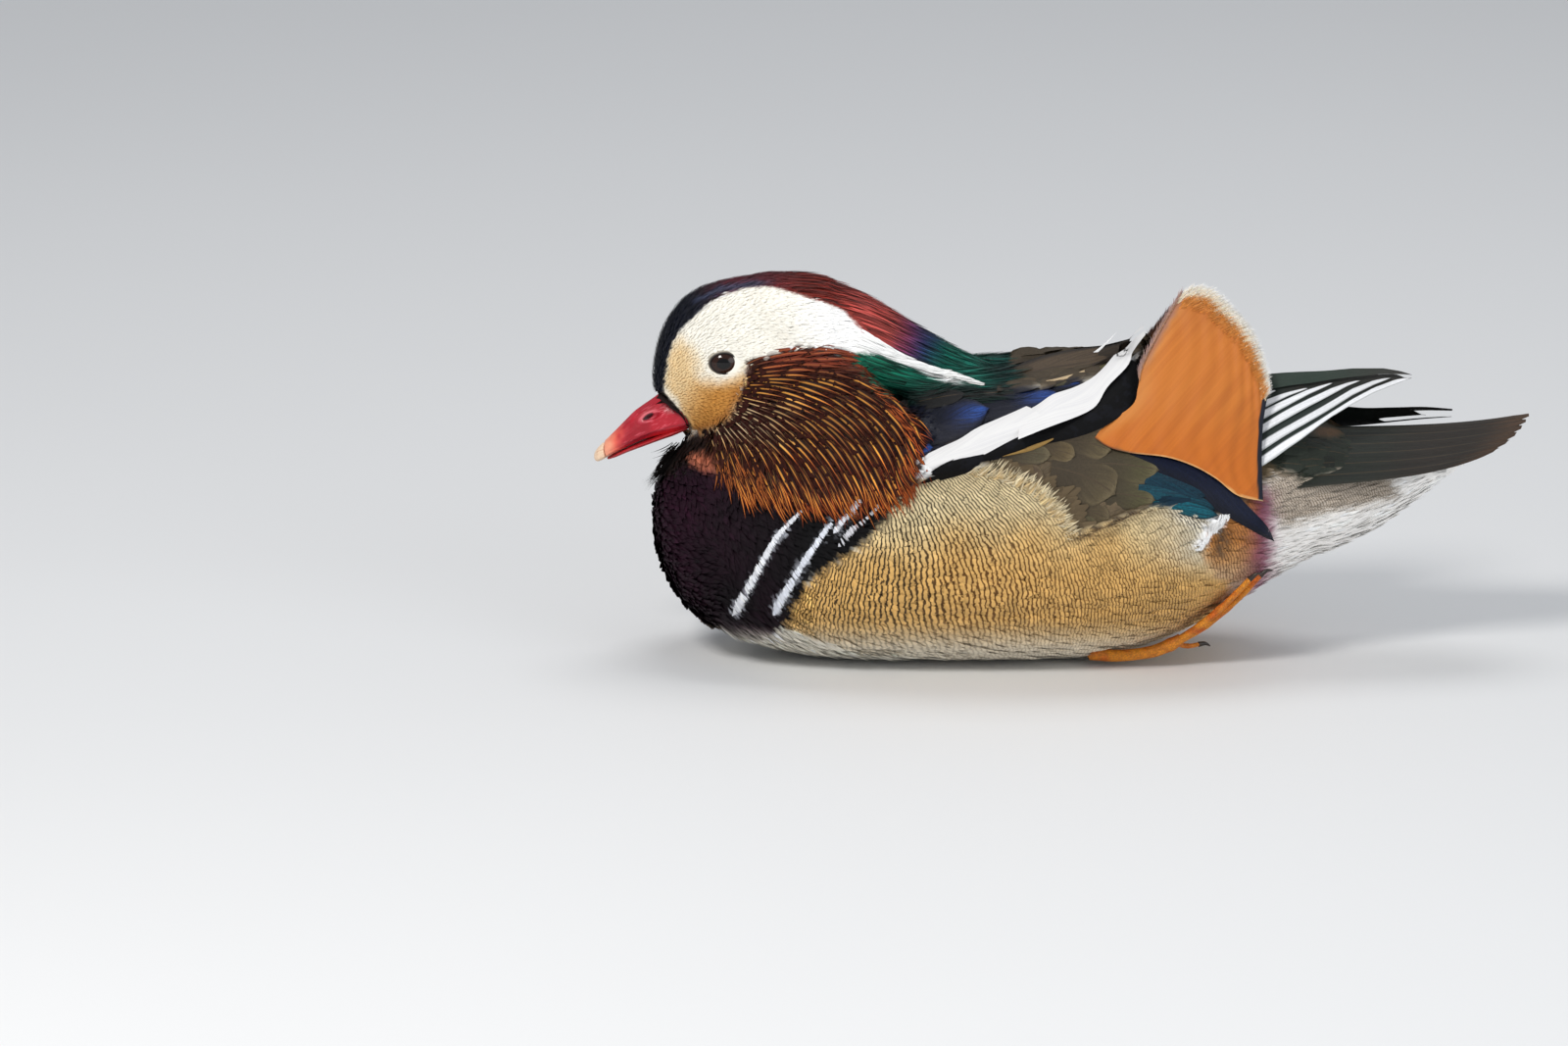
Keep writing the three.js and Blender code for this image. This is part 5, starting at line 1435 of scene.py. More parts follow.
def tone_covert(base=(112, 98, 70), edge=(150, 134, 96), deep=(74, 62, 44)):
    def f(u, s, g):
        # painted shade towards the root, where the feather in front laps it
        c = mix(np.broadcast_to(base, g.shape), deep, ease(0.95, 0.25, s) * 0.75)
        c = mix(c, edge, np.clip(ease(0.62, 0.97, np.abs(u)) * ease(0.35, 0.8, s) * 0.45 + ease(0.8, 0.98, s) * 0.5, 0, 0.6))
        # painted shadow line along the side edges and the end
        c = mix(c, deep, np.clip(ease(0.95, 1.0, np.abs(u)) * ease(0.3, 0.6, s) + ease(0.985, 1.0, s), 0, 1) * 0.7)
        return c, mix(c, deep, np.full(u.shape, 0.8)), 0.55

    return f


def tone_flat(a, b=None, amount=0.5, edge=None):
    def f(u, s, g):
        c = np.broadcast_to(np.asarray(a, float), g.shape)
        if edge is not None:
            c = mix(c, edge, np.clip(ease(0.7, 1.0, np.abs(u)) + ease(0.9, 1.0, s), 0, 1))
        return c, np.broadcast_to(np.asarray(b if b is not None else a, float), g.shape), amount

    return f


def bare_wing(p):
    q = plane(p)
    return (inside(WHITE_STRIPE, q) < -1) & (inside(BLACK_LOBE, q) < 2)


coat("coat_coverts", "wing_feathers", MAT_VANE, zoned(6, extra=bare_wing), 0.0032, 0.009, 0.0027, rng, across=5, camber=0.14, steps=5,
     profile=(0.6, 0.9, 1.0, 1.0, 0.85, 0.3), lift=(-0.0004, -0.0001, 0.0001, 0.0003, 0.0005, 0.0005), jitter=0.4, tone=0.05)

# wing coverts, the rear and lower ones first, each one lapped by those in front
coverts = []
rows = [
    ((1080, 512), (1130, 529), 13, 0), ((1070, 515), (1117, 536), 11, 0), ((1066, 512), (1104, 538), 11, 0), ((1050, 500), (1090, 526), 11, 0),
    ((1112, 503), (1175, 511), 14.5, 2), ((1112, 474), (1179, 481), 19, 2), ((1070, 478), (1135, 506), 27, 5), ((1032, 487), (1074, 505), 10, 0),
    ((1010, 480), (1064, 489), 13, 1), ((1080, 450), (1131, 463), 15, 3), ((1046, 455), (1095, 468), 13, 2), ((1008, 462), (1071, 467), 12, 2), ((978, 476), (1022, 475), 7, 1),
]
for i, (a, b, h, c) in enumerate(rows):
    base = (84 + (i * 13) % 11, 72 + (i * 7) % 8, 50 + (i * 5) % 7) if i not in (4, 5) else (80, 76, 48)
    coverts.append((dict(root=a, tip=b, half=h, bend=-c, lift=(0.3 + 0.05 * i, 0.8 + 0.06 * i), blunt=0.17, k=18, m=11), tone_covert(base, (132, 118, 88), (54, 45, 33))))
big("wing_coverts", coverts, MAT_VANE)

# teal speculum, then the deep blue outer web of the big tertial
spec = []
for a, b, h, c in (((1156, 511), (1238, 525), 6, (14, 104, 120)), ((1158, 500), (1236, 520), 11, (13, 70, 84)), ((1158, 486), (1226, 508), 12, (12, 56, 72))):
    spec.append((dict(root=a, tip=b, half=h, bend=-3, lift=(0.2, 2.6) if h == 6 else (0.9, 1.5), blunt=0.16), tone_flat(c, (8, 34, 50), 0.8, (5, 14, 20))))
big("speculum", spec, MAT_METAL)


def web(low, high, k, m, up, ground=None, stiff=False):
    """A vane between two edge lines in the side plane; a stiff one bridges what lies under it."""
    lo, hi = curve(low, k), curve(high, k)
    t = np.linspace(0, 1, m)[None, :, None]
    q = lo[:, None] * (1 - t) + hi[:, None] * t
    p, n = (ground or SKIN).shoot(q.reshape(-1, 2))
    p, n = p.reshape(k, m, 3), n.reshape(k, m, 3)
    for _ in range(4):
        for arr in (p, n):
            arr[1:-1] = arr[1:-1] * 0.5 + (arr[:-2] + arr[2:]) * 0.25
            arr[:, 1:-1] = arr[:, 1:-1] * 0.5 + (arr[:, :-2] + arr[:, 2:]) * 0.25
    if stiff:
        a, b = np.meshgrid(np.linspace(-1, 1, k), np.linspace(-1, 1, m), indexing="ij")
        terms = np.stack([np.ones_like(a), a, b, a * a, a * b, a**3], -1).reshape(-1, 6)
        y, depth = p[..., 1].reshape(-1), p[..., 2] + p[..., 1] * LEAN_S / LEAN_C
        fit = terms @ np.linalg.lstsq(terms, y, rcond=None)[0]
        fit = (fit + np.quantile(y - fit, 0.3)).reshape(k, m)
        p = np.stack([p[..., 0], fit, depth - fit * LEAN_S / LEAN_C], -1)
        for _ in range(16):
            n[1:-1] = n[1:-1] * 0.5 + (n[:-2] + n[2:]) * 0.25
    n = unit(n)
    s = np.linspace(0, 1, k)[:, None]
    return p + n * ((up[0] + (up[1] - up[0]) * s + 0.5 * np.sin(t[..., 0] * math.pi)) * MM)[..., None], n


g, n = web([(1150, 466), (1178, 483), (1205, 499), (1232, 517), (1251, 529), (1292, 547)], [(1150, 460), (1187, 466), (1214, 475), (1237, 488), (1259, 507), (1292, 546)], 28, 9, (1.2, 1.8))
g = g + n * (0.0016 * ease(0.7, 1.0, np.linspace(0, 1, 28)))[:, None, None]
blade = []
for i, (gg, nn) in enumerate(both_sides(g, n)):
    us, ss = np.meshgrid(np.linspace(-1, 1, 9), np.linspace(0, 1, 28))
    us = us if i == 0 else us[:, ::-1]
    gn = grid_normals(gg)
    gn = gn * np.sign((gn * nn).sum(-1, keepdims=True))
    c = mix(np.broadcast_to((8, 17, 42), gg.shape), (7, 10, 22), ease(0.2, -0.9, us))
    fuv = np.stack([us * 0.5 - 0.55, ss, np.full_like(us, 0.4)], -1)
    aux = np.stack([0 * us, 0 * us + 0.7, 0 * us], -1)
    blade.append(grid_batch(gg[None], gn[None], lin(c)[None], lin(np.broadcast_to((6, 12, 34), gg.shape))[None], fuv[None], aux[None]))
feathers("tertial_blade", blade, MAT_METAL)


# scapulars: black under blue under the long white ones
def scap_drop(r):
    r = r.copy()
    r[..., 2] -= 0.18 * np.maximum(0, r[..., 2] - 0.095)
    return r


def tone_blue(u, s, g):
    """Navy feathers with a painted blue glint towards the end, each with a dark rim."""
    c = mix(np.broadcast_to((5, 8, 26), g.shape), (36, 74, 150), np.clip(ease(0.4, 0.92, s) * ease(1.0, 0.96, s) * ease(1.0, 0.2, np.abs(u)), 0, 1))
    c = mix(c, (6, 8, 16), np.clip(ease(0.88, 1.0, np.abs(u)) + ease(0.96, 1.0, s), 0, 1))
    return c, mix(c, (7, 10, 26), 0.85 + 0 * u), 0.9


def set_web(low, high, k, m, up, tone, drop=scap_drop, stiff=False):
    """A vane between two edge lines, on both sides."""
    g, n = web(low, high, k, m, up, stiff=stiff)
    us, ss = np.meshgrid(np.linspace(-1, 1, m), np.linspace(0, 1, k))
    r, out = rng.random(), []
    for i, (gg, nn) in enumerate(both_sides(g, n, drop)):
        uu = us if i == 0 else us[:, ::-1]
        gn = grid_normals(gg)
        gn = gn * np.sign((gn * nn).sum(-1, keepdims=True))
        col, col2, vm = tone(uu, ss, gg)
        fuv = np.stack([uu, ss, np.full_like(uu, r)], -1)
        aux = np.stack([0 * uu, vm + 0 * uu, 0 * uu], -1)
        out.append(grid_batch(gg[None], unit(gn * 0.6 + nn * 0.4)[None], lin(np.broadcast_to(col, gg.shape))[None], lin(np.broadcast_to(col2, gg.shape))[None], fuv[None], aux[None]))
    return out


black = (5, 5, 7)
specs = []
for a, b, h, c, tone_ in (((905, 420), (985, 406), 9, -2, (9, 8, 9)), ((950, 412), (1062, 401), 8, -2, (14, 12, 11)), ((1000, 399), (1104, 386), 8, -2, (52, 44, 34))):
    specs.append((dict(root=a, tip=b, half=h, bend=c, lift=(0.3, 1.4), blunt=0.2, k=18), tone_flat(tone_, (22, 19, 16), 0.7, (11, 10, 11))))
big("scapulars_brown", specs, MAT_VANE, drop=scap_drop)


def tone_long(base, deep, edge_shadow, side_=1):
    """A long back feather with painted shade towards its root and a painted shadow line along its edges and end,
    darkest along the upper edge.
    """
    def f(u, s, g):
        c = mix(np.broadcast_to(base, g.shape), deep, ease(0.5, 0.0, s) * 0.5)
        # painted shadow line along the edges and the end
        c = mix(c, edge_shadow, np.clip(ease(0.68, 0.92, u * side_) + ease(0.93, 1.0, s) + 0.7 * ease(0.85, 1.0, -u * side_), 0, 1))
        return c, mix(c, deep, 0.8 + 0 * u), 0.8

    return f


longs = set_web([(1095, 386), (1122, 377), (1150, 367)], [(1098, 366), (1124, 358.5), (1153, 353)], 20, 9, (1.3, 1.6), tone_long((50, 40, 29), (26, 21, 16), (10, 9, 9)), stiff=True)
longs += set_web([(1070, 399), (1098, 394), (1136, 379)], [(1068, 392), (1098, 384), (1137, 371)], 20, 9, (1.2, 1.5), tone_long((88, 82, 52), (48, 44, 30), (20, 17, 14)), stiff=True)
longs += set_web([(1016, 399), (1045, 399), (1076, 389.5), (1108, 381), (1134, 371)], [(1016, 384), (1040, 372.5), (1066, 365.5), (1098, 361.5), (1126, 361)], 30, 11, (-0.4, 2.6), tone_long((74, 60, 44), (42, 33, 25), (12, 10, 10)), stiff=True)
longs += set_web([(1066, 395.4), (1085, 393), (1105, 386.4)], [(1066, 394.8), (1085, 389.6), (1105, 383.4)], 12, 5, (2.1, 2.2), tone_flat((196, 172, 136), (140, 118, 88), 0.7))
feathers("back_feathers_long", longs, MAT_VANE_PLAIN)
feathers("scapulars_black", set_web(
    [(936, 493), (959, 489), (985.7, 480), (1003.6, 472.4), (1032, 463.4), (1057, 454.6), (1078.6, 450.6), (1105, 443.4), (1132, 432.5), (1148, 420), (1157, 405.7), (1160.5, 388), (1164, 366)],
    [(940, 484), (964, 473), (994, 461), (1025, 447), (1058, 436), (1085, 429), (1108, 421), (1117, 410), (1123, 400), (1135, 389), (1147, 378), (1156, 368), (1165, 356)],
    40, 9, (1.5, 1.7), tone_flat(black, (18, 19, 26), 0.6)) + set_web([(1020, 466), (1036, 463.6), (1052, 459.5), (1072, 449.2)], [(1020, 465.6), (1036, 460), (1052, 454), (1072, 448)], 18, 5, (1.9, 2.0), tone_flat((146, 116, 66), (72, 56, 34), 0.8)),
    MAT_DARK)
specs = []
for a, b, h, c in (((1046, 406), (1106, 393), 5, -2), ((985, 431), (1080, 406), 12, -4), ((925, 453), (1009, 421), 18, -4), ((905, 464), (950, 459), 11, -2)):
    specs.append((dict(root=a, tip=b, half=h, bend=c, lift=(0.1 if a[0] < 930 else 0.8, 1.5 if b[0] > 970 else 1.0), blunt=0.2, k=18, m=11), tone_blue))
big("scapulars_blue", specs, MAT_METAL, drop=scap_drop)
pearl = tone_flat((233, 232, 231), (205, 204, 208), 0.45)
feathers("scapulars_white", set_web(
    [(1036, 451), (1068.7, 438.9), (1095, 430), (1117, 419.6), (1121, 409), (1127, 399.5), (1150, 378), (1172, 348)],
    [(1040, 430), (1060.7, 418), (1071.4, 408), (1087.5, 404.6), (1110.7, 394.6), (1126.8, 380.7), (1148, 361), (1172, 344)], 34, 9, (2.6, 3.0), pearl, stiff=True) + set_web(
    [(916, 496), (937.5, 489.8), (964, 479), (994.6, 467.3), (1025, 453.4), (1050, 443), (1068, 434)],
    [(916, 479), (930, 472), (955, 460.5), (980, 451), (993, 442), (1020, 432), (1046, 421.5)], 34, 9, (0.3, 3.2), pearl), MAT_WHITE)


# ---------------------------------------------------------------------------
# Sails
# ---------------------------------------------------------------------------
SAIL_LOW = [(8.7, -46.5, 95.2), (15.4, -50, 90.7), (24.6, -51.3, 88.4), (37.9, -50.6, 86.6), (48, -49.8, 83), (56.5, -49.6, 78.1), (64.6, -49.2, 71.6), (74.3, -46.8, 68.8)]
SAIL_TOP = [(43.1, -12.4, 140), (47.2, -11, 142.2), (52, -10.8, 142.2), (55.6, -11.4, 140.6), (59.4, -12.6, 137.4), (64, -14.8, 132.6), (68.6, -17.6, 127.2), (72.4, -21, 119.6), (75, -24.6, 111.6), (76.2, -27.4, 105)]
SAIL_FRONT = [(8.7, -46.5, 95.2), (24.4, -38.5, 103), (27.4, -34.6, 109.6), (28.8, -30, 116.4), (33.6, -22, 125.4), (38.2, -16.6, 132.8), (43.1, -12.4, 140)]
SAIL_REAR = [(74.3, -46.8, 68.8), (74, -41.4, 77.6), (74, -36.4, 86.6), (74.6, -31.4, 95.4), (76.2, -27.4, 105)]


def far_sail(p):
    return np.stack([57 + (p[..., 0] - 57) * 0.92, -p[..., 1], 80 + (p[..., 2] - 80) * 0.9], -1)


NS, NT = 90, 70
for tag in ("left", "right"):
    g = coons(SAIL_LOW, SAIL_TOP, SAIL_FRONT, SAIL_REAR, NS, NT)
    if tag == "right":
        g = far_sail(g)[:, ::-1]
    g = g * MM
    n = grid_normals(g)
    out = np.array([0, -1.0 if tag == "left" else 1.0, 0.2])
    n = n * np.sign((n * out).sum(-1, keepdims=True))
    tt = np.linspace(0, 1, NT) if tag == "left" else np.linspace(1, 0, NT)
    t, s = np.meshgrid(tt, np.linspace(0, 1, NS))
    edge = np.minimum(np.minimum(s, 1 - s) * 12, np.minimum(t, 1 - t) * 12)
    q = plane(g.reshape(-1, 3)).reshape(NS, NT, 2)
    ripple = 0.00022 * np.sin(46 * (s + 0.35 * t) + 3 * np.sin(7 * t)) * ease(0, 1, edge)
    thick = 0.00055 * ease(0, 1, edge)
    # distance in from the top and rear rims, in plane units
    if tag == "left":
        hi, re, fr = plane(np.array(SAIL_TOP) * MM), plane(np.array(SAIL_REAR) * MM), plane(np.array(SAIL_FRONT) * MM)
        lo = plane(np.array(SAIL_LOW) * MM)
    else:
        hi, re, fr, lo = (plane(far_sail(np.array(e)) * MM) for e in (SAIL_TOP, SAIL_REAR, SAIL_FRONT, SAIL_LOW))
    qf = q.reshape(-1, 2)
    d_top, w_top = along(hi, qf)
    d_rear, _ = along(re, qf)
    d_front, w_front = along(fr, qf)
    d_low, _ = along(lo, qf)
    flat = g.reshape(-1, 3)
    orange = mix((198, 116, 44), (194, 102, 24), ease(400, 480, qf[:, 1]) * 0.8)
    orange = mix(orange, (184, 110, 50), ease(360, 320, qf[:, 1]) * 0.5)
    orange = mix(orange, (206, 136, 68), ease(18, 6, d_front) * 0.5)
    orange = mix(orange, (176, 98, 38), ease(14, 7, d_rear) * 0.35)
    fringe_white = ease(8, 2.0, d_top + 2.5 * noise(flat, 0.0025, 4)) * ease(0.0, 0.12, w_top)
    col = mix(orange, (238, 226, 206), np.clip(fringe_white, 0, 1) * 0.9)
    lilac = ease(10, 2, d_front + 2 * noise(flat, 0.003, 5)) * ease(0.45, 0.7, w_front)
    col = mix(col, (148, 112, 108), lilac * 0.75)
    band = ease(5.6, 4.2, d_rear + 0.7 * noise(flat, 0.004, 6))
    col = mix(col, (16, 20, 34), band)
    col = mix(col, (232, 196, 140), ease(1.6, 0.6, d_low) * 0.8)
    col = mix(col, (20, 18, 20), ease(1.6, 0.8, d_low) * ease(1180, 1120, qf[:, 0]))
    # barbs run from the low shaft up and back
    c1 = (0.75 * q[..., 0] + 0.66 * q[..., 1]) / 100
    col2 = mix(col, (158, 78, 24), np.full(len(qf), 0.8) * (1 - band) * (1 - fringe_white))
    fuv = np.stack([0.2 + 0.8 * t, c1, np.full_like(s, 0.3)], -1)
    aux = np.stack([0 * s, 0 * s + 0.45, 0 * s], -1)
    face = g + n * (thick + ripple)[..., None]
    back = g - n * (thick - ripple)[..., None]
    shape = (1, NS, NT, 3)
    batches = []
    for gg, sgn in ((face, 1), (back, -1)):
        gn = grid_normals(gg)
        gn = gn * np.sign((gn * n).sum(-1, keepdims=True)) * sgn
        batches.append(grid_batch(gg[None], gn[None], lin(col).reshape(shape), lin(col2).reshape(shape), fuv[None], aux[None]))
    feathers(f"sail_vane_{tag}", batches, MAT_SAIL, [f"sail_{tag}"])

    # loose barbs along the rims
    def rim(count, s_of, t_of, length, spread, tone, wide=0.00013, out_=0.3, lean=0.35, level=0.0002):
        k = rng.random(count)
        si, ti = s_of(k), t_of(k)
        a = np.clip(si * (NS - 1), 0, NS - 1.001)
        b = np.clip((ti if tag == "left" else 1 - ti) * (NT - 1), 0, NT - 1.001)
        i, j = a.astype(int), b.astype(int)
        fa, fb = (a - i)[:, None], (b - j)[:, None]
        at = lambda arr: (arr[i, j] * (1 - fa) + arr[i + 1, j] * fa) * (1 - fb) + (arr[i, j + 1] * (1 - fa) + arr[i + 1, j + 1] * fa) * fb
        p, nn = at(g), unit(at(n))
        dt = unit(g[i, np.minimum(j + 1, NT - 1)] - g[i, np.maximum(j - 1, 0)]) * (1 if tag == "left" else -1)
        ds = unit(g[np.minimum(i + 1, NS - 1), j] - g[np.maximum(i - 1, 0), j])
        d = unit(dt * (1 - lean) + ds * lean + nn * 0.0)
        d = unit(d + rng.normal(0, spread, (count, 3)))
        steps = 4
        L = length * rng.uniform(0.5, 1.2, count)
        u = np.linspace(0, 1, steps + 1)
        pts = p[:, None] + d[:, None] * (L[:, None] * (u[None] - out_))[..., None] + nn[:, None] * ((level + rng.uniform(0, 0.0003, (count, 1))) * np.ones(steps + 1)[None])[..., None]
        pts = pts + (ds * 0.0006)[:, None] * (u**2)[None, :, None]
        nrm = np.broadcast_to(nn[:, None], pts.shape)
        dr = np.broadcast_to(d[:, None], pts.shape)
        gg, gn, fuv = vanes(pts, nrm, dr, (wide * (1 - 0.85 * u))[None], np.zeros(steps + 1), 2, 0.0, rng, 0.4, 0.3)
        col = tone(k, u, count)
        col = lin(np.broadcast_to(col[:, :, None], gg.shape) * (1 + rng.normal(0, 0.08, (count, 1, 1, 1))))
        return grid_batch(gg, gn, col, col, fuv, np.zeros(gg.shape))

    shade = lambda a, b: (lambda k, u, c: mix(np.broadcast_to(np.asarray(a, float), (c, len(u), 3)), b, np.broadcast_to(u[None], (c, len(u)))))
    fr1 = rim(3000, lambda k: 0.02 + 0.96 * k, lambda k: 0.93 + 0.07 * rng.random(len(k)) ** 0.6, 0.0042, 0.17, shade((234, 208, 168), (250, 248, 244)), wide=0.00012)
    fr2 = rim(900, lambda k: 0.025 * k, lambda k: 0.45 + 0.52 * k, 0.0044, 0.15, shade((182, 130, 92), (166, 140, 140)), out_=0.15, lean=-0.5)
    fr3 = rim(700, lambda k: 0.08 + 0.86 * k, lambda k: 0.88 + 0.07 * rng.random(len(k)), 0.004, 0.06, shade((200, 120, 48), (216, 154, 92)), out_=0.2, wide=0.0001, level=0.0007)
    feathers(f"sail_fringe_{tag}", [fr1, fr2, fr3], MAT_SOFT)


# ---------------------------------------------------------------------------
# Primaries: stacked vanes, each with a white outer edge
# ---------------------------------------------------------------------------
PRIM = {
    "left": ([(30, -40, 86), (56, -37.5, 81), (76.4, -33, 80.4), (90, -28.5, 88.6), (105.6, -22.5, 98), (118, -19, 104.4), (130.8, -15.4, 109.2)],
             [(30, -12, 108), (56, -11, 107.6), (76, -10.6, 107.8), (90, -10.8, 109.4), (104, -11.4, 110.8), (118.6, -13, 111.2), (130.8, -14.6, 110.6)]),
    "right": ([(30, 40, 86), (56, 37.5, 80.4), (76.4, 31.5, 78.6), (92, 26, 79.8), (110, 20, 82.2), (122, 16.5, 84.2), (134, 13.6, 86.2), (147, 11, 88)],
              [(30, 9, 108), (56, 6.4, 105.8), (76, 4, 101.4), (92, 2.2, 96.2), (110, 2, 93.2), (124, 3.6, 92.8), (136, 5.6, 92.6), (147, 7.4, 91.4)]),
}
# lower edge and the white web's upper border, of the outermost and longest feather first
QUILLS = [
    ([(1258, 496), (1290, 476), (1301.7, 468.8), (1323.4, 453), (1345, 435), (1356, 427), (1372, 417.3), (1399, 402.7), (1421, 394), (1437.5, 387.3)],
     [(1258, 487), (1290, 466), (1312.5, 451.5), (1334, 437.4), (1356, 422.2), (1377.6, 408.7), (1399, 397.3), (1421, 389), (1437.5, 386)]),
    ([(1258, 481), (1290, 460.7), (1312.5, 447), (1334, 433), (1356, 419), (1377.6, 405.4), (1399, 395), (1417, 387.8)],
     [(1258, 472), (1290, 451), (1312.5, 438.5), (1334, 425), (1356, 411.4), (1377.6, 398.4), (1399, 390.2), (1417, 386.6)]),
    ([(1258, 463), (1290, 444), (1312.5, 431.4), (1334, 418), (1356, 405.4), (1372, 396.7), (1386, 391)],
     [(1258, 455), (1290, 435), (1312.5, 422), (1334, 409.7), (1356, 398.4), (1372, 393), (1386, 389.8)]),
    ([(1258, 449), (1290, 431), (1312.5, 419), (1334, 406), (1358, 393.8)], [(1258, 441), (1290, 422), (1312.5, 411.4), (1332, 401.6), (1345, 396.7), (1358, 392.6)]),
    ([(1258, 437), (1290, 420.6), (1312.5, 409.7), (1332.5, 400.8)], [(1258, 430), (1290, 413), (1307, 407), (1332.5, 399.6)]),
    ([(1258, 425), (1290, 409.7), (1300, 404.8)], [(1258, 421), (1290, 405.4), (1300, 403.6)]),
]
CLOAK_LOW = [(1258, 411), (1298, 402.5), (1332, 396.5), (1358, 391), (1385, 388), (1410, 385.8), (1438, 386)]
CLOAK_TOP = [(1258, 390), (1290, 387.5), (1316, 385.3), (1360, 381), (1378, 379.4), (1409, 379.4), (1426, 382), (1438, 385.4)]


def shell(g, n, thick, tone, r, u, s):
    """Front and back of a thin vane as two batches."""
    out = []
    for sgn in (1, -1):
        gg = g + n * (thick * sgn * (1 - u**2) * ease(1.0, 0.93, s))[..., None]
        gn = grid_normals(gg)
        gn = gn * np.sign((gn * n).sum(-1, keepdims=True)) * sgn
        col, col2, vm = tone(u, s, gg)
        fuv = np.stack([u, s, np.full_like(u, r)], -1)
        aux = np.stack([0 * u, np.broadcast_to(vm, u.shape), 0 * u], -1)
        out.append(grid_batch(gg[None], gn[None], lin(np.broadcast_to(col, gg.shape))[None], lin(np.broadcast_to(col2, gg.shape))[None], fuv[None], aux[None]))
    return out


def across_lines(line, u):
    a = np.array(line, float)
    return np.interp(u, a[:, 0], a[:, 1])


for tag in ("left", "right"):
    low, top = (curve(e, 240) for e in PRIM[tag])
    sgn = -1.0 if tag == "left" else 1.0
    K = 46
    batches = []

    def at_x(c, x):
        return np.stack([x, np.interp(x, c[:, 0], c[:, 1]), np.interp(x, c[:, 0], c[:, 2])], -1)

    for i in range(7):
        cloak = i == 6
        s = np.linspace(0, 1, K) ** 0.9
        if tag == "left":
            lower, border = (CLOAK_LOW, CLOAK_TOP) if cloak else QUILLS[i]
            uu = 1258 + (lower[-1][0] - 1258) * s
            x = (uu - U0) * UNIT / MM
            L, H = at_x(low, x), at_x(top, x)
            vl, vh = plane(L * MM)[:, 1], plane(H * MM)[:, 1]
            share = lambda line: (vl - across_lines(line, uu)) / np.maximum(vl - vh, 2.5)
            tl, tw = share(lower), share(border)
            tu = tw if cloak else share(CLOAK_LOW) + 3 / np.maximum(vl - vh, 2.5)
        else:
            x = 64 + ((146.8, 137, 127, 117, 107, 96, 147)[i] - 64) * s
            L, H = at_x(low, x), at_x(top, x)
            tl = np.full(K, (0.0, 0.17, 0.33, 0.48, 0.61, 0.72, 0.60)[i])
            part = ease(114, 122, x)
            if i == 1:
                tl = tl + 0.16 * part
            tw = tl + (0.4 if cloak else 0.075)
            tu = tw if cloak else np.full(K, 0.9)
            if i == 0:
                tu = tu + (0.17 - tu) * part
        close = ease(0.9, 1.0, s) ** 1.3
        if cloak:
            rows = tl[:, None] + (tu - tl)[:, None] * np.linspace(0, 1, 9)[None]
        else:
            end = tl + (tw - tl) * 0.5
            tu = tu + (np.maximum(end, tl + 0.002) - tu) * close
            tw = np.minimum(tw, tu)
            rows = np.concatenate([tl[:, None] + (tw - tl)[:, None] * np.array([0, 0.3, 0.62, 0.93])[None], tw[:, None] + (tu - tw)[:, None] * np.array([0.02, 0.12, 0.3, 0.5, 0.75, 1.0])[None]], 1)
        M = rows.shape[1]
        g = (L[:, None] * (1 - rows[..., None]) + H[:, None] * rows[..., None]) * MM
        n = grid_normals(g)
        outward = np.array([0, sgn, 0.5])
        n = n * np.sign((n * outward).sum(-1, keepdims=True))
        n = unit(n * 0.5 + unit(outward) * 0.5)
        m_ = np.linspace(0, 1, M)[None]
        raise_ = 0.0004 + 0.00042 * i + 0.0006 * (1 - m_) ** 2 if tag == "left" else 0.0002 + 0.00012 * i + 0.0004 * (1 - m_) ** 2
        raise_ = raise_ + 0.0026 * ease(102, 80, x)[:, None] * (tag == "left")
        g = g + n * raise_[..., None]
        u = np.broadcast_to(m_ * 2 - 1, (K, M)).copy()
        ss = np.broadcast_to(s[:, None], (K, M)).copy()
        white = np.zeros(M) if cloak else np.array([0.6, 1, 1, 1] + [0.0] * (M - 4))
        gray = mix(np.broadcast_to((34, 44, 40) if not cloak else (36, 50, 42), g.shape), (44, 42, 38), ease(0.45, 1.0, ss))
        pale = mix(gray, (236, 237, 240), np.broadcast_to(white[None], (K, M)) * ease(1.01, 0.97, ss) * (1.0 if tag == "left" else ease(0.03, 0.22, ss)))
        r = rng.random()
        for face in (1, -1):
            gg = g + n * (0.00026 * face * (1 - u**2) * ease(1.0, 0.95, ss))[..., None]
            gn = grid_normals(gg)
            gn = gn * np.sign((gn * n).sum(-1, keepdims=True)) * face
            # painted shade: the back face is 0.6 of the grey, without the white bands
            c = pale if face > 0 else gray * 0.6
            fuv = np.stack([u * 0.9 - 0.05, ss, np.full_like(u, r)], -1)
            aux = np.stack([0 * u, 0 * u + 0.3, 0 * u], -1)
            batches.append(grid_batch(gg[None], gn[None], lin(c)[None], lin(mix(c, gray * 0.7, 0.3 + 0 * u))[None], fuv[None], aux[None]))
    feathers(f"primary_vanes_{tag}", batches, MAT_QUILL, [f"primaries_{tag}"])


# ---------------------------------------------------------------------------
# Tail: twelve vanes in a shallow roof, the middle pair on top
# ---------------------------------------------------------------------------
def tail_at(s, t):
    c = 2 * t - 1
    k = np.abs(c)
    x = 84 + (177 - 1.5 - 13 * k**3 - 84) * s
    w = 36 * (1 - 0.1 * s - 0.44 * s**4)
    z = 86.2 + 0.2 * s + 4.9 * s**4 - (16.2 - 7.6 * s) * k**1.35
    return np.stack([x, w * c, z], -1) * MM


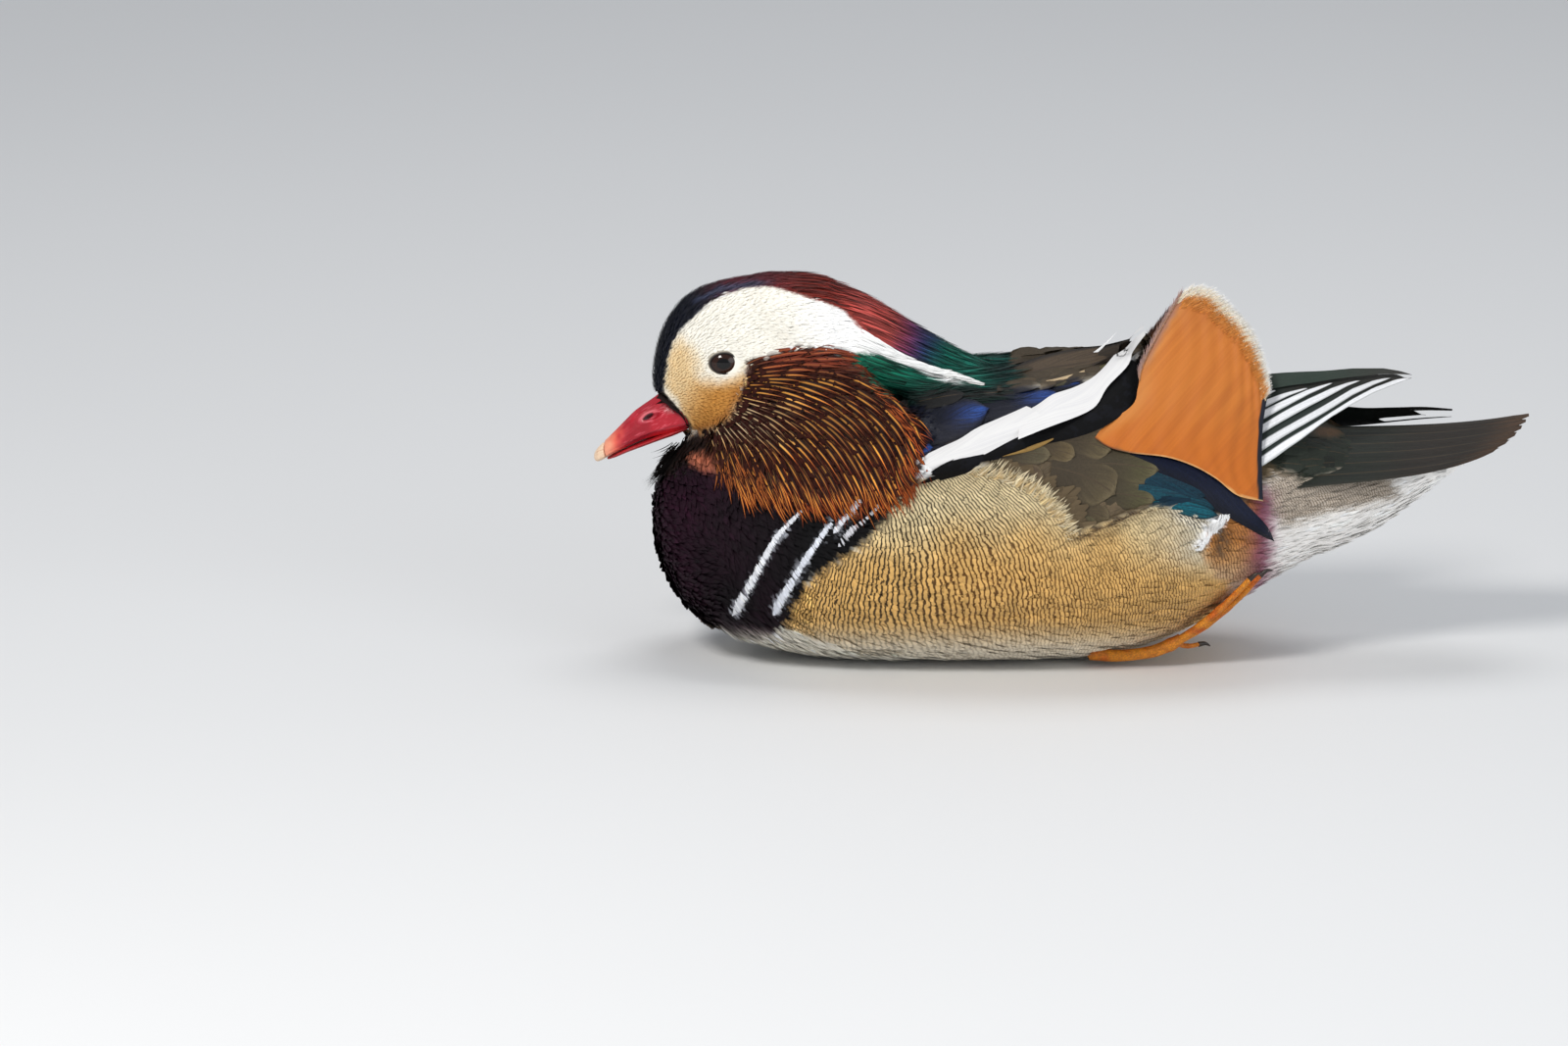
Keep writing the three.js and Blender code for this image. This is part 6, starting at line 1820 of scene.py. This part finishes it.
batches = []
for i in range(12):
    pair = i // 2
    side = 1 if i % 2 else -1
    c0 = (pair + 0.35) / 6.4
    s = np.linspace(0.0, 1, 34)
    u = np.linspace(-1, 1, 9)
    halfw = 0.135 * (1 - 0.18 * s) * np.sqrt(np.clip(1 - np.clip((s - 0.95) / 0.055, 0, 1) ** 2.6, 0.004, 1))
    cc = side * (c0 + halfw[:, None] * u[None] * (1 if side > 0 else -1))
    cc = np.clip(cc, -1, 1) if pair < 5 else np.clip(cc, -1.03, 1.03)
    ss = np.broadcast_to(s[:, None], cc.shape)
    end = 1.0 - 0.012 * pair
    g = tail_at(ss * end, (cc + 1) / 2)
    g[..., 2] += (0.0004 - 0.00035 * pair) * ease(0, 1, ss) + 0.0003 * (1 - u[None] ** 2)
    n = grid_normals(g)
    n = n * np.sign(n[..., 2:3])

    def tone(u, s, gg):
        c = mix(np.broadcast_to((33, 38, 31), gg.shape), (37, 30, 24), ease(0.3, 0.65, s))
        c = mix(c, (78, 56, 40), ease(0.8, 1.0, s + 0.05 * np.abs(u)))
        c = mix(c, (72, 64, 52), ease(0.85, 1.0, np.abs(u)) * 0.5)
        return c, mix(c, (20, 22, 19), 0.75 + 0 * u), 0.9

    batches += shell(g, n, 0.0003, tone, rng.random(), np.broadcast_to(u[None], cc.shape).copy(), ss.copy())
feathers("tail_vanes", batches, MAT_VANE, ["tail"])


# ---------------------------------------------------------------------------
# Bill, nail, eyes
# ---------------------------------------------------------------------------
def worn(name, nodes, voxel, times, mat, paint_fn, press=None, whole=True):
    v, f = remeshed(nodes, 0.0, voxel)
    if whole:
        v, f = biggest(v, f)
    v = relax(v, f, times, 0.5)
    n = vertex_normals(v, f)
    v = v + n * (0.12 * voxel * times / 3)
    if press is not None:
        back = ease(636, 668, plane(v)[:, 0] - 0.35 * (plane(v)[:, 1] - 402))
        v = v + n * press(v)[:, None]
        v[:, 0] += 0.0034 * back
    base, dark, aux = paint_fn(v)
    m = plain_mesh(name, v, f)
    put_attrs(m, col=lin(base), col2=lin(dark), fuv=np.tile([1.0, 0.0, 0.5], (len(v), 1)), aux=aux)
    return shown(name, m, mat, nodes)


def hard(name, rough, spec, scale, strength, spots=0.25, coat=0.0, kind="noise", dist=0.00025):
    t = Net(name)
    col, col2 = t.attr("col").outputs["Color"], t.attr("col2").outputs["Color"]
    ph, vm, st = t.split(t.attr("aux").outputs["Vector"])
    where = t.place()
    big_ = t.noise(where, scale * 0.3, 2.0)
    base = t.blend(col, col2, t.math("MULTIPLY", t.ramp(big_, 0.4, 0.68), vm))
    if kind == "scale":
        v = t.add("TexVoronoi", {"feature": "DISTANCE_TO_EDGE"}, Vector=where, Scale=scale)
        h = t.ramp(v.outputs[0], 0.0, 0.12)
        base = t.blend(base, grey(t, t.math("ADD", t.math("MULTIPLY", h, spots), 1 - spots)), 1.0, "MULTIPLY")
    else:
        h = t.noise(where, scale, 3.0, 0.6)
        base = t.blend(base, grey(t, t.math("ADD", t.math("MULTIPLY", t.math("SUBTRACT", h, 0.5), spots), 1.0)), 1.0, "MULTIPLY")
    return t.shader(base, t.bump(h, strength, dist), Roughness=rough, Specular_IOR_Level=spec, Coat_Weight=coat, Coat_Roughness=0.15)


def bill_horn():
    """Horn with fine pale scratches along the bill where aux.y is high."""
    t = Net("bill_horn")
    col, col2 = t.attr("col").outputs["Color"], t.attr("col2").outputs["Color"]
    ph, vm, st = t.split(t.attr("aux").outputs["Vector"])
    where = t.place()
    x, y, z = t.split(where)
    # along the bill: down and forward by 29 degrees
    run = t.math("ADD", t.math("MULTIPLY", x, 0.875), t.math("MULTIPLY", z, 0.485))
    cross = t.math("SUBTRACT", t.math("MULTIPLY", z, 0.875), t.math("MULTIPLY", x, 0.485))
    grain = t.add("CombineXYZ", i0=t.math("MULTIPLY", run, 170.0), i1=t.math("MULTIPLY", y, 900.0), i2=t.math("MULTIPLY", cross, 1500.0)).outputs[0]
    scratch = t.noise(grain, 1.0, 3.0, 0.6)
    blotch = t.noise(where, 420.0, 2.0)
    base = t.blend(col, col2, t.math("MULTIPLY", t.ramp(scratch, 0.54, 0.68), vm))
    light = t.math("ADD", t.math("MULTIPLY", t.math("SUBTRACT", blotch, 0.5), 0.3), 1.0)
    base = t.blend(base, grey(t, light), 1.0, "MULTIPLY")
    return t.shader(base, t.bump(t.math("ADD", scratch, blotch), 0.2, 0.0002), Roughness=0.4, Specular_IOR_Level=0.4, Coat_Weight=0.08, Coat_Roughness=0.2)


MAT_BILL = bill_horn()
MAT_FOOT = hard("foot_scales", 0.5, 0.4, 900.0, 0.6, 0.35, 0.0, "scale")
MAT_CLAW = hard("claw_horn", 0.4, 0.5, 700.0, 0.2, 0.3)


TOMIUM = [(706, 440), (687, 443), (669, 448), (655, 455), (639, 461), (623, 469)]


def nostril(q):
    """Distance from the nostril's slit, 1 at its rim."""
    mid, ang = (661.6, 425.4), math.radians(-31)
    uu, vv = q[:, 0] - mid[0], q[:, 1] - mid[1]
    du, dv = uu * math.cos(ang) + vv * math.sin(ang), -uu * math.sin(ang) + vv * math.cos(ang)
    return np.hypot(du / 6.6, dv / 2.5), dv


def bill_paint(p):
    q = plane(p)
    u, v = q[:, 0], q[:, 1]
    n2, n4 = noise(p, 0.0018, 7), noise(p, 0.005, 8)
    base = mix(np.tile(np.array([(158, 14, 34)], float), (len(p), 1)), (182, 22, 42), ease(0, 0.7, n4))
    base = mix(base, (146, 14, 36), ease(412, 398, v - 0.35 * (668 - u)) * ease(640, 660, u) * 0.5)
    d, _ = along(TOMIUM, q)
    base = mix(base, (206, 28, 34), ease(7.5, 2.5, d))
    base = mix(base, (130, 12, 30), ease(1.3, 0.1, np.abs(d - 7.6)) * 0.65)
    base = mix(base, (232, 108, 84), ease(642, 626, u + 3 * n2) * 0.9)
    base = mix(base, (238, 168, 134), ease(629, 620, u + 3 * n2) * 0.8)
    base = mix(base, (112, 14, 30), ease(690, 703, u) * 0.45)
    dn, dv = nostril(q)
    side_on = np.abs(p[:, 1]) > 0.002
    base = mix(base, (222, 118, 124), ease(2.1, 1.5, dn) * ease(0.85, 1.15, dn) * side_on * (0.45 + 0.4 * ease(1, -3, dv)))
    # painted shade in the nostril's slit
    base = mix(base, (50, 6, 14), ease(1.1, 0.75, dn) * side_on)
    mark = 0.1 + 0.85 * ease(24, 6, np.hypot((u - 668) * 0.9, (v - 424) * 1.5)) + 0.6 * ease(3.5, 1.5, np.abs(d - 10.5)) * ease(628, 640, u)
    return base, mix(base, (230, 110, 122), np.full(len(p), 0.75)), np.stack([0 * u, np.clip(mark, 0, 1) * ease(0.9, 1.5, dn), 0 * u], 1)


def bill_press(p):
    q = plane(p)
    dn, _ = nostril(q)
    on = np.abs(p[:, 1]) > 0.002
    d, _ = along(TOMIUM, q)
    base = 0.0008 * ease(648, 668, q[:, 0] - 0.35 * (q[:, 1] - 402))
    return base + (-0.0013 * ease(1.2, 0.3, dn) + 0.0003 * ease(2.2, 1.4, dn) * ease(0.9, 1.4, dn)) * on - 0.00022 * np.exp(-(((d - 7.4) / 1.2) ** 2))


worn("bill_top", ["bill_upper"], 0.00036, 4, MAT_BILL, bill_paint, bill_press)
worn("bill_under", ["bill_lower"], 0.0004, 4, MAT_BILL, lambda p: (np.tile(np.array([(168, 34, 40)], float), (len(p), 1)), np.tile(np.array([(120, 20, 28)], float), (len(p), 1)), np.tile([0, 0.5, 0], (len(p), 1))))


def nail_paint(p):
    q = plane(p)
    n2 = noise(p, 0.0015, 9)
    base = mix(np.tile(np.array([(236, 206, 176)], float), (len(p), 1)), (226, 138, 108), ease(614, 630, q[:, 0] + 3 * n2))
    return base, mix(base, (198, 140, 112), np.full(len(p), 0.8)), np.tile([0, 0.6, 0], (len(p), 1))


worn("nail", ["bill_nail"], 0.00028, 4, MAT_BILL, nail_paint)


def eye_material():
    t = Net("eye_glossy")
    u, v, r = t.split(t.attr("fuv").outputs["Vector"])
    where = t.place()
    iris = t.blend((*lin((52, 26, 14)), 1), (*lin((30, 14, 8)), 1), t.noise(where, 1500.0, 2.0))
    c = t.blend((*lin((5, 4, 5)), 1), iris, t.ramp(u, 0.50, 0.56))
    c = t.blend(c, (*lin((12, 7, 5)), 1), t.ramp(u, 0.86, 0.97))
    return t.shader(c, None, Roughness=0.1, Specular_IOR_Level=0.38)


MAT_EYE = eye_material()
MAT_LID = hard("lid_skin", 0.6, 0.35, 1400.0, 0.3, 0.3)
EX, EY, EZ, RX, RY, RZ = -0.128, 0.0115, 0.1149, 0.007, 0.006, 0.006
OPEN_A, OPEN_B = 0.00495, 0.0039
for tag, sg in (("left", -1), ("right", 1)):
    th, ph = np.meshgrid(np.linspace(0, 2 * math.pi, 64, endpoint=False), np.linspace(0, math.pi / 2, 26))
    x, z, y = np.sin(ph) * np.cos(th), np.sin(ph) * np.sin(th), np.cos(ph)
    v = np.stack([EX + RX * x, sg * (EY + RY * y), EZ + RZ * z], -1).reshape(-1, 3)
    k, m_ = ph.shape
    idx = np.arange(k * m_).reshape(k, m_)
    f = np.stack([idx[:-1], idx[1:], np.roll(idx, -1, 1)[1:], np.roll(idx, -1, 1)[:-1]], -1).reshape(-1, 4)
    if sg > 0:
        f = f[:, ::-1]
    m = plain_mesh(f"eyeball_{tag}", v, f)
    rad = np.hypot(RX * x / OPEN_A, RZ * z / OPEN_B).reshape(-1)
    put_attrs(m, fuv=np.stack([rad, 0 * rad, 0 * rad], 1))
    m.validate()
    shown(f"eyeball_{tag}", m, MAT_EYE, [f"eye_{tag}"])
    # lids: a rolled rim on the eyeball, running out under the feathers
    ring = np.linspace(0, 2 * math.pi, 72, endpoint=False)
    prof = [(0.93, -0.0003), (0.985, 0.0002), (1.04, 0.00045), (1.11, 0.0005), (1.2, 0.0003), (1.34, -0.0001), (1.5, -0.0006)]
    rows_ = []
    for a, up in prof:
        xx, zz = OPEN_A * a * np.cos(ring), OPEN_B * a * np.sin(ring)
        zz = zz * (1 + 0.05 * np.cos(ring))
        yy = EY + RY * np.sqrt(np.clip(1 - (xx / RX) ** 2 - (zz / RZ) ** 2, 0.02, 1))
        rows_.append(np.stack([EX + xx, sg * (yy + up), EZ + zz], 1))
    v = np.stack(rows_)
    k, m_ = v.shape[:2]
    idx = np.arange(k * m_).reshape(k, m_)
    f = np.stack([idx[:-1], idx[1:], np.roll(idx, -1, 1)[1:], np.roll(idx, -1, 1)[:-1]], -1).reshape(-1, 4)
    if sg > 0:
        f = f[:, ::-1]
    m = plain_mesh(f"eyelids_{tag}", v.reshape(-1, 3), f)
    shade_ = np.repeat(np.array([0, 0, 0.1, 0.4, 0.9, 1, 1.0]), m_)
    col = mix(np.broadcast_to((26, 20, 18), (k * m_, 3)), (214, 206, 190), shade_)
    put_attrs(m, col=lin(col), col2=lin(col * 0.8), fuv=np.tile([1.0, 0, 0.5], (k * m_, 1)), aux=np.zeros((k * m_, 3)))
    shown(f"eyelids_{tag}", m, MAT_LID)


# ---------------------------------------------------------------------------
# Feet
# ---------------------------------------------------------------------------
def foot_paint(p):
    n4 = noise(p, 0.004, 10)
    base = mix(np.tile(np.array([(226, 142, 36)], float), (len(p), 1)), (206, 98, 20), ease(-0.2, 0.8, n4))
    return base, mix(base, (150, 70, 24), np.full(len(p), 0.7)), np.tile([0, 0.6, 0], (len(p), 1))


def swept(path, radii, ring=16, flat=1.0, knots=(), swell=0.18, n=40, cap=True):
    """A closed tube along the path (mm), wider at the knots; flat < 1 presses it in height."""
    c = curve(path, n)
    r = np.interp(np.linspace(0, 1, n), np.linspace(0, 1, len(radii)), radii)
    w = np.linspace(0, 1, n)
    for k in knots:
        r = r * (1 + swell * np.exp(-(((w - k) / 0.045) ** 2)))
    t = unit(np.gradient(c, axis=0))
    side = unit(np.cross(t, np.array([0, 0, 1.0])))
    up = np.cross(side, t)
    a = np.linspace(0, 2 * math.pi, ring, endpoint=False)
    g = c[:, None] + side[:, None] * (r[:, None] * np.cos(a)[None])[..., None] + up[:, None] * (r[:, None] * flat * np.sin(a)[None])[..., None]
    idx = np.arange(n * ring).reshape(n, ring)
    f = np.stack([idx[:-1], np.roll(idx, -1, 1)[:-1], np.roll(idx, -1, 1)[1:], idx[1:]], -1).reshape(-1, 4)
    v = np.concatenate([g.reshape(-1, 3), c[:1] - t[:1] * r[0] * 0.6, c[-1:] + t[-1:] * r[-1] * 0.8])
    ends = [[n * ring, idx[0, (j + 1) % ring], idx[0, j]] for j in range(ring)] + [[n * ring + 1, idx[-1, j], idx[-1, (j + 1) % ring]] for j in range(ring)]
    return v, f.tolist() + ends


TOES = {
    "outer": [(43.6, -29, 11.2), (50, -32.2, 16.6), (56.5, -34.8, 22.6), (63.2, -37.4, 29.6), (69.5, -39.5, 37)],
    "middle": [(43.6, -29, 11.2), (51, -31, 15.8), (58, -32.6, 21.4), (66, -34.2, 29), (73.5, -35.4, 37.4)],
    "inner": [(43.6, -28.6, 11.2), (50, -28.8, 14.8), (56, -28.6, 19), (62, -28.6, 25.2), (67.4, -28.4, 31.8)],
    "hind": [(43, -27.6, 9.4), (45.4, -26.6, 8.4), (48, -26, 8.2), (50.8, -24.4, 8.4)],
}
CLAWS = {
    "outer": [(69.5, -39.5, 37), (72, -40.2, 39.2), (74.2, -40.2, 39.6)], "middle": [(73.5, -35.4, 37.4), (76.2, -35.6, 39.6), (78.4, -35.5, 39.6)],
    "inner": [(67.4, -28.4, 31.8), (70, -28.4, 34.2), (72.2, -28.4, 34.6)], "hind": [(50.8, -24.4, 8.4), (53.4, -24, 8.6), (55.3, -23.8, 7.6)],
}


def toe_web(a, b, n=26, m=9):
    """Thin skin between two toes, hollowed along its free edge, as a closed sheet."""
    ca, cb = curve(TOES[a], 60), curve(TOES[b], 60)
    w = np.linspace(0.06, 0.93, n)
    pick = lambda c, k: np.stack([np.interp(k, np.linspace(0, 1, 60), c[:, i]) for i in range(3)], -1)
    t = np.linspace(0, 1, m)
    back = 0.16 * np.sin(t * math.pi) * 1.0
    k = 0.06 + (w[:, None] - 0.06) * (1 - back[None])
    pa, pb = pick(ca, k), pick(cb, k)
    g = pa * (1 - t[None, :, None]) + pb * t[None, :, None]
    nrm = grid_normals(g * MM)
    sag = 0.5 * np.sin(t * math.pi)[None] * np.linspace(0.4, 1, n)[:, None] + 0.12 * np.sin(np.linspace(0, 40, n))[:, None] * np.sin(t * math.pi)[None]
    g = g + nrm * sag[..., None]
    th = 0.28
    v = np.concatenate([(g + nrm * th).reshape(-1, 3), (g - nrm * th).reshape(-1, 3)])
    idx = np.arange(n * m).reshape(n, m)
    q = np.stack([idx[:-1, :-1], idx[1:, :-1], idx[1:, 1:], idx[:-1, 1:]], -1).reshape(-1, 4)
    f = q.tolist() + (q[:, ::-1] + n * m).tolist()
    loop = np.concatenate([idx[0, :-1], idx[:-1, -1], idx[-1, :0:-1], idx[:0:-1, 0]])
    nxt = np.roll(loop, -1)
    return v, f + np.stack([loop, nxt, nxt + n * m, loop + n * m], 1).tolist()


def joined(name, parts, tag, mat, paint_fn, nodes):
    """One mesh from (vertices in mm, faces) parts, mirrored for the right side."""
    vs, fs, base_ = [], [], 0
    for v, f in parts:
        if tag == "right":
            v, f = v * (1, -1, 1), [q[::-1] for q in f]
        vs.append(v * MM)
        fs += [[i + base_ for i in q] for q in f]
        base_ += len(v)
    v = np.concatenate(vs)
    m = bpy.data.meshes.new(name)
    m.from_pydata(v.tolist(), [], fs)
    base, dark, aux = paint_fn(v)
    put_attrs(m, col=lin(base), col2=lin(dark), fuv=np.tile([1.0, 0.0, 0.5], (len(v), 1)), aux=aux)
    m.polygons.foreach_set("use_smooth", [True] * len(m.polygons))
    b = bmesh.new()
    b.from_mesh(m)
    bmesh.ops.recalc_face_normals(b, faces=b.faces)
    b.to_mesh(m)
    b.free()
    return shown(name, m, mat, nodes)


for tag in ("left", "right"):
    toes = [swept(TOES[k], r, 16, 0.82, (0.3, 0.55, 0.8) if k != "hind" else (0.5,), 0.13, 60) for k, r in
            (("outer", (1.9, 1.6, 1.45, 1.2)), ("middle", (2.0, 1.7, 1.5, 1.25)), ("inner", (1.8, 1.5, 1.35, 1.1)), ("hind", (1.3, 1.1, 0.95)))]
    webs = [toe_web("outer", "middle"), toe_web("middle", "inner")]
    joined(f"foot_skin_{tag}", toes + webs, tag, MAT_FOOT, foot_paint, [f"foot_{tag}"])
    joined(f"leg_skin_{tag}", [swept([(10, -25, 5.2), (20, -26, 4.4), (32, -27.4, 6), (39, -28.2, 8.6), (44, -28.8, 11.4)], (2.7, 2.3, 2.2, 2.4, 2.2), 20, 1.0, (0.88,), 0.14, 60)],
           tag, MAT_FOOT, foot_paint, [f"leg_{tag}"])
    for toe in ("outer", "middle", "inner", "hind"):
        joined(f"claw_horn_{toe}_{tag}", [swept(CLAWS[toe], (0.95, 0.7, 0.16), 12, 1.15, (), 0, 14)], tag, MAT_CLAW,
               lambda p: (np.tile(np.array([(46, 34, 26)], float), (len(p), 1)), np.tile(np.array([(24, 18, 14)], float), (len(p), 1)), np.tile([0, 0.5, 0], (len(p), 1))), [f"claw_{toe}_{tag}"])


# ---------------------------------------------------------------------------
# Floor, light, camera
# ---------------------------------------------------------------------------
t = Net("floor_pale")
MAT_FLOOR = t.shader(t.blend((0.74, 0.745, 0.75, 1), (0.78, 0.785, 0.79, 1), t.noise(t.place(), 1.5, 2.0)), None, Roughness=0.7, Specular_IOR_Level=0.25)
m = plain_mesh("floor", np.array([(-14, -9, 0), (14, -9, 0), (14, 40, 0), (-14, 40, 0)], float), np.array([(0, 1, 2, 3)]))
floor = bpy.data.objects.new("floor", m)
bpy.context.scene.collection.objects.link(floor)
m.materials.append(MAT_FLOOR)
floor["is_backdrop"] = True

world = bpy.data.worlds.new("studio")
bpy.context.scene.world = world
world.use_nodes = True
world.node_tree.nodes["Background"].inputs[0].default_value = (0.9, 0.94, 1.0, 1)
world.node_tree.nodes["Background"].inputs[1].default_value = 0.42


def lamp(name, at, aim, size, power, color=(1, 1, 1)):
    d = bpy.data.lights.new(name, "AREA")
    d.shape, d.size, d.energy, d.color = "DISK", size, power, color
    o = bpy.data.objects.new(name, d)
    bpy.context.scene.collection.objects.link(o)
    o.location = at
    o.rotation_euler = (Vector(aim) - Vector(at)).to_track_quat("-Z", "Y").to_euler()
    return o


lamp("key", (-0.75, -1.3, 1.35), (-0.02, 0, 0.07), 0.5, 22, (1.0, 0.975, 0.94))
lamp("fill", (1.1, -1.2, 0.5), (0.02, 0, 0.07), 1.2, 7, (0.93, 0.97, 1.0))
lamp("top", (0.1, 0.5, 1.6), (0, 0, 0.08), 0.9, 7)

cam_data = bpy.data.cameras.new("camera")
cam = bpy.data.objects.new("camera", cam_data)
bpy.context.scene.collection.objects.link(cam)
bpy.context.scene.camera = cam
cam_data.sensor_width, cam_data.lens = 36, 425.7
cam_data.clip_start, cam_data.clip_end = 0.1, 100
cam.location = (-0.1053, -6.8206, 1.6243)
cam.rotation_euler = Vector((0, LEAN_C, -LEAN_S)).to_track_quat("-Z", "Y").to_euler()
bpy.context.scene.view_settings.view_transform = "Standard"
bpy.context.scene.view_settings.look = "None"

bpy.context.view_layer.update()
total = 0
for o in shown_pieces():
    c = len(o.data.loops) - 2 * len(o.data.polygons)
    total += c
    print("PIECE", o.name, c)
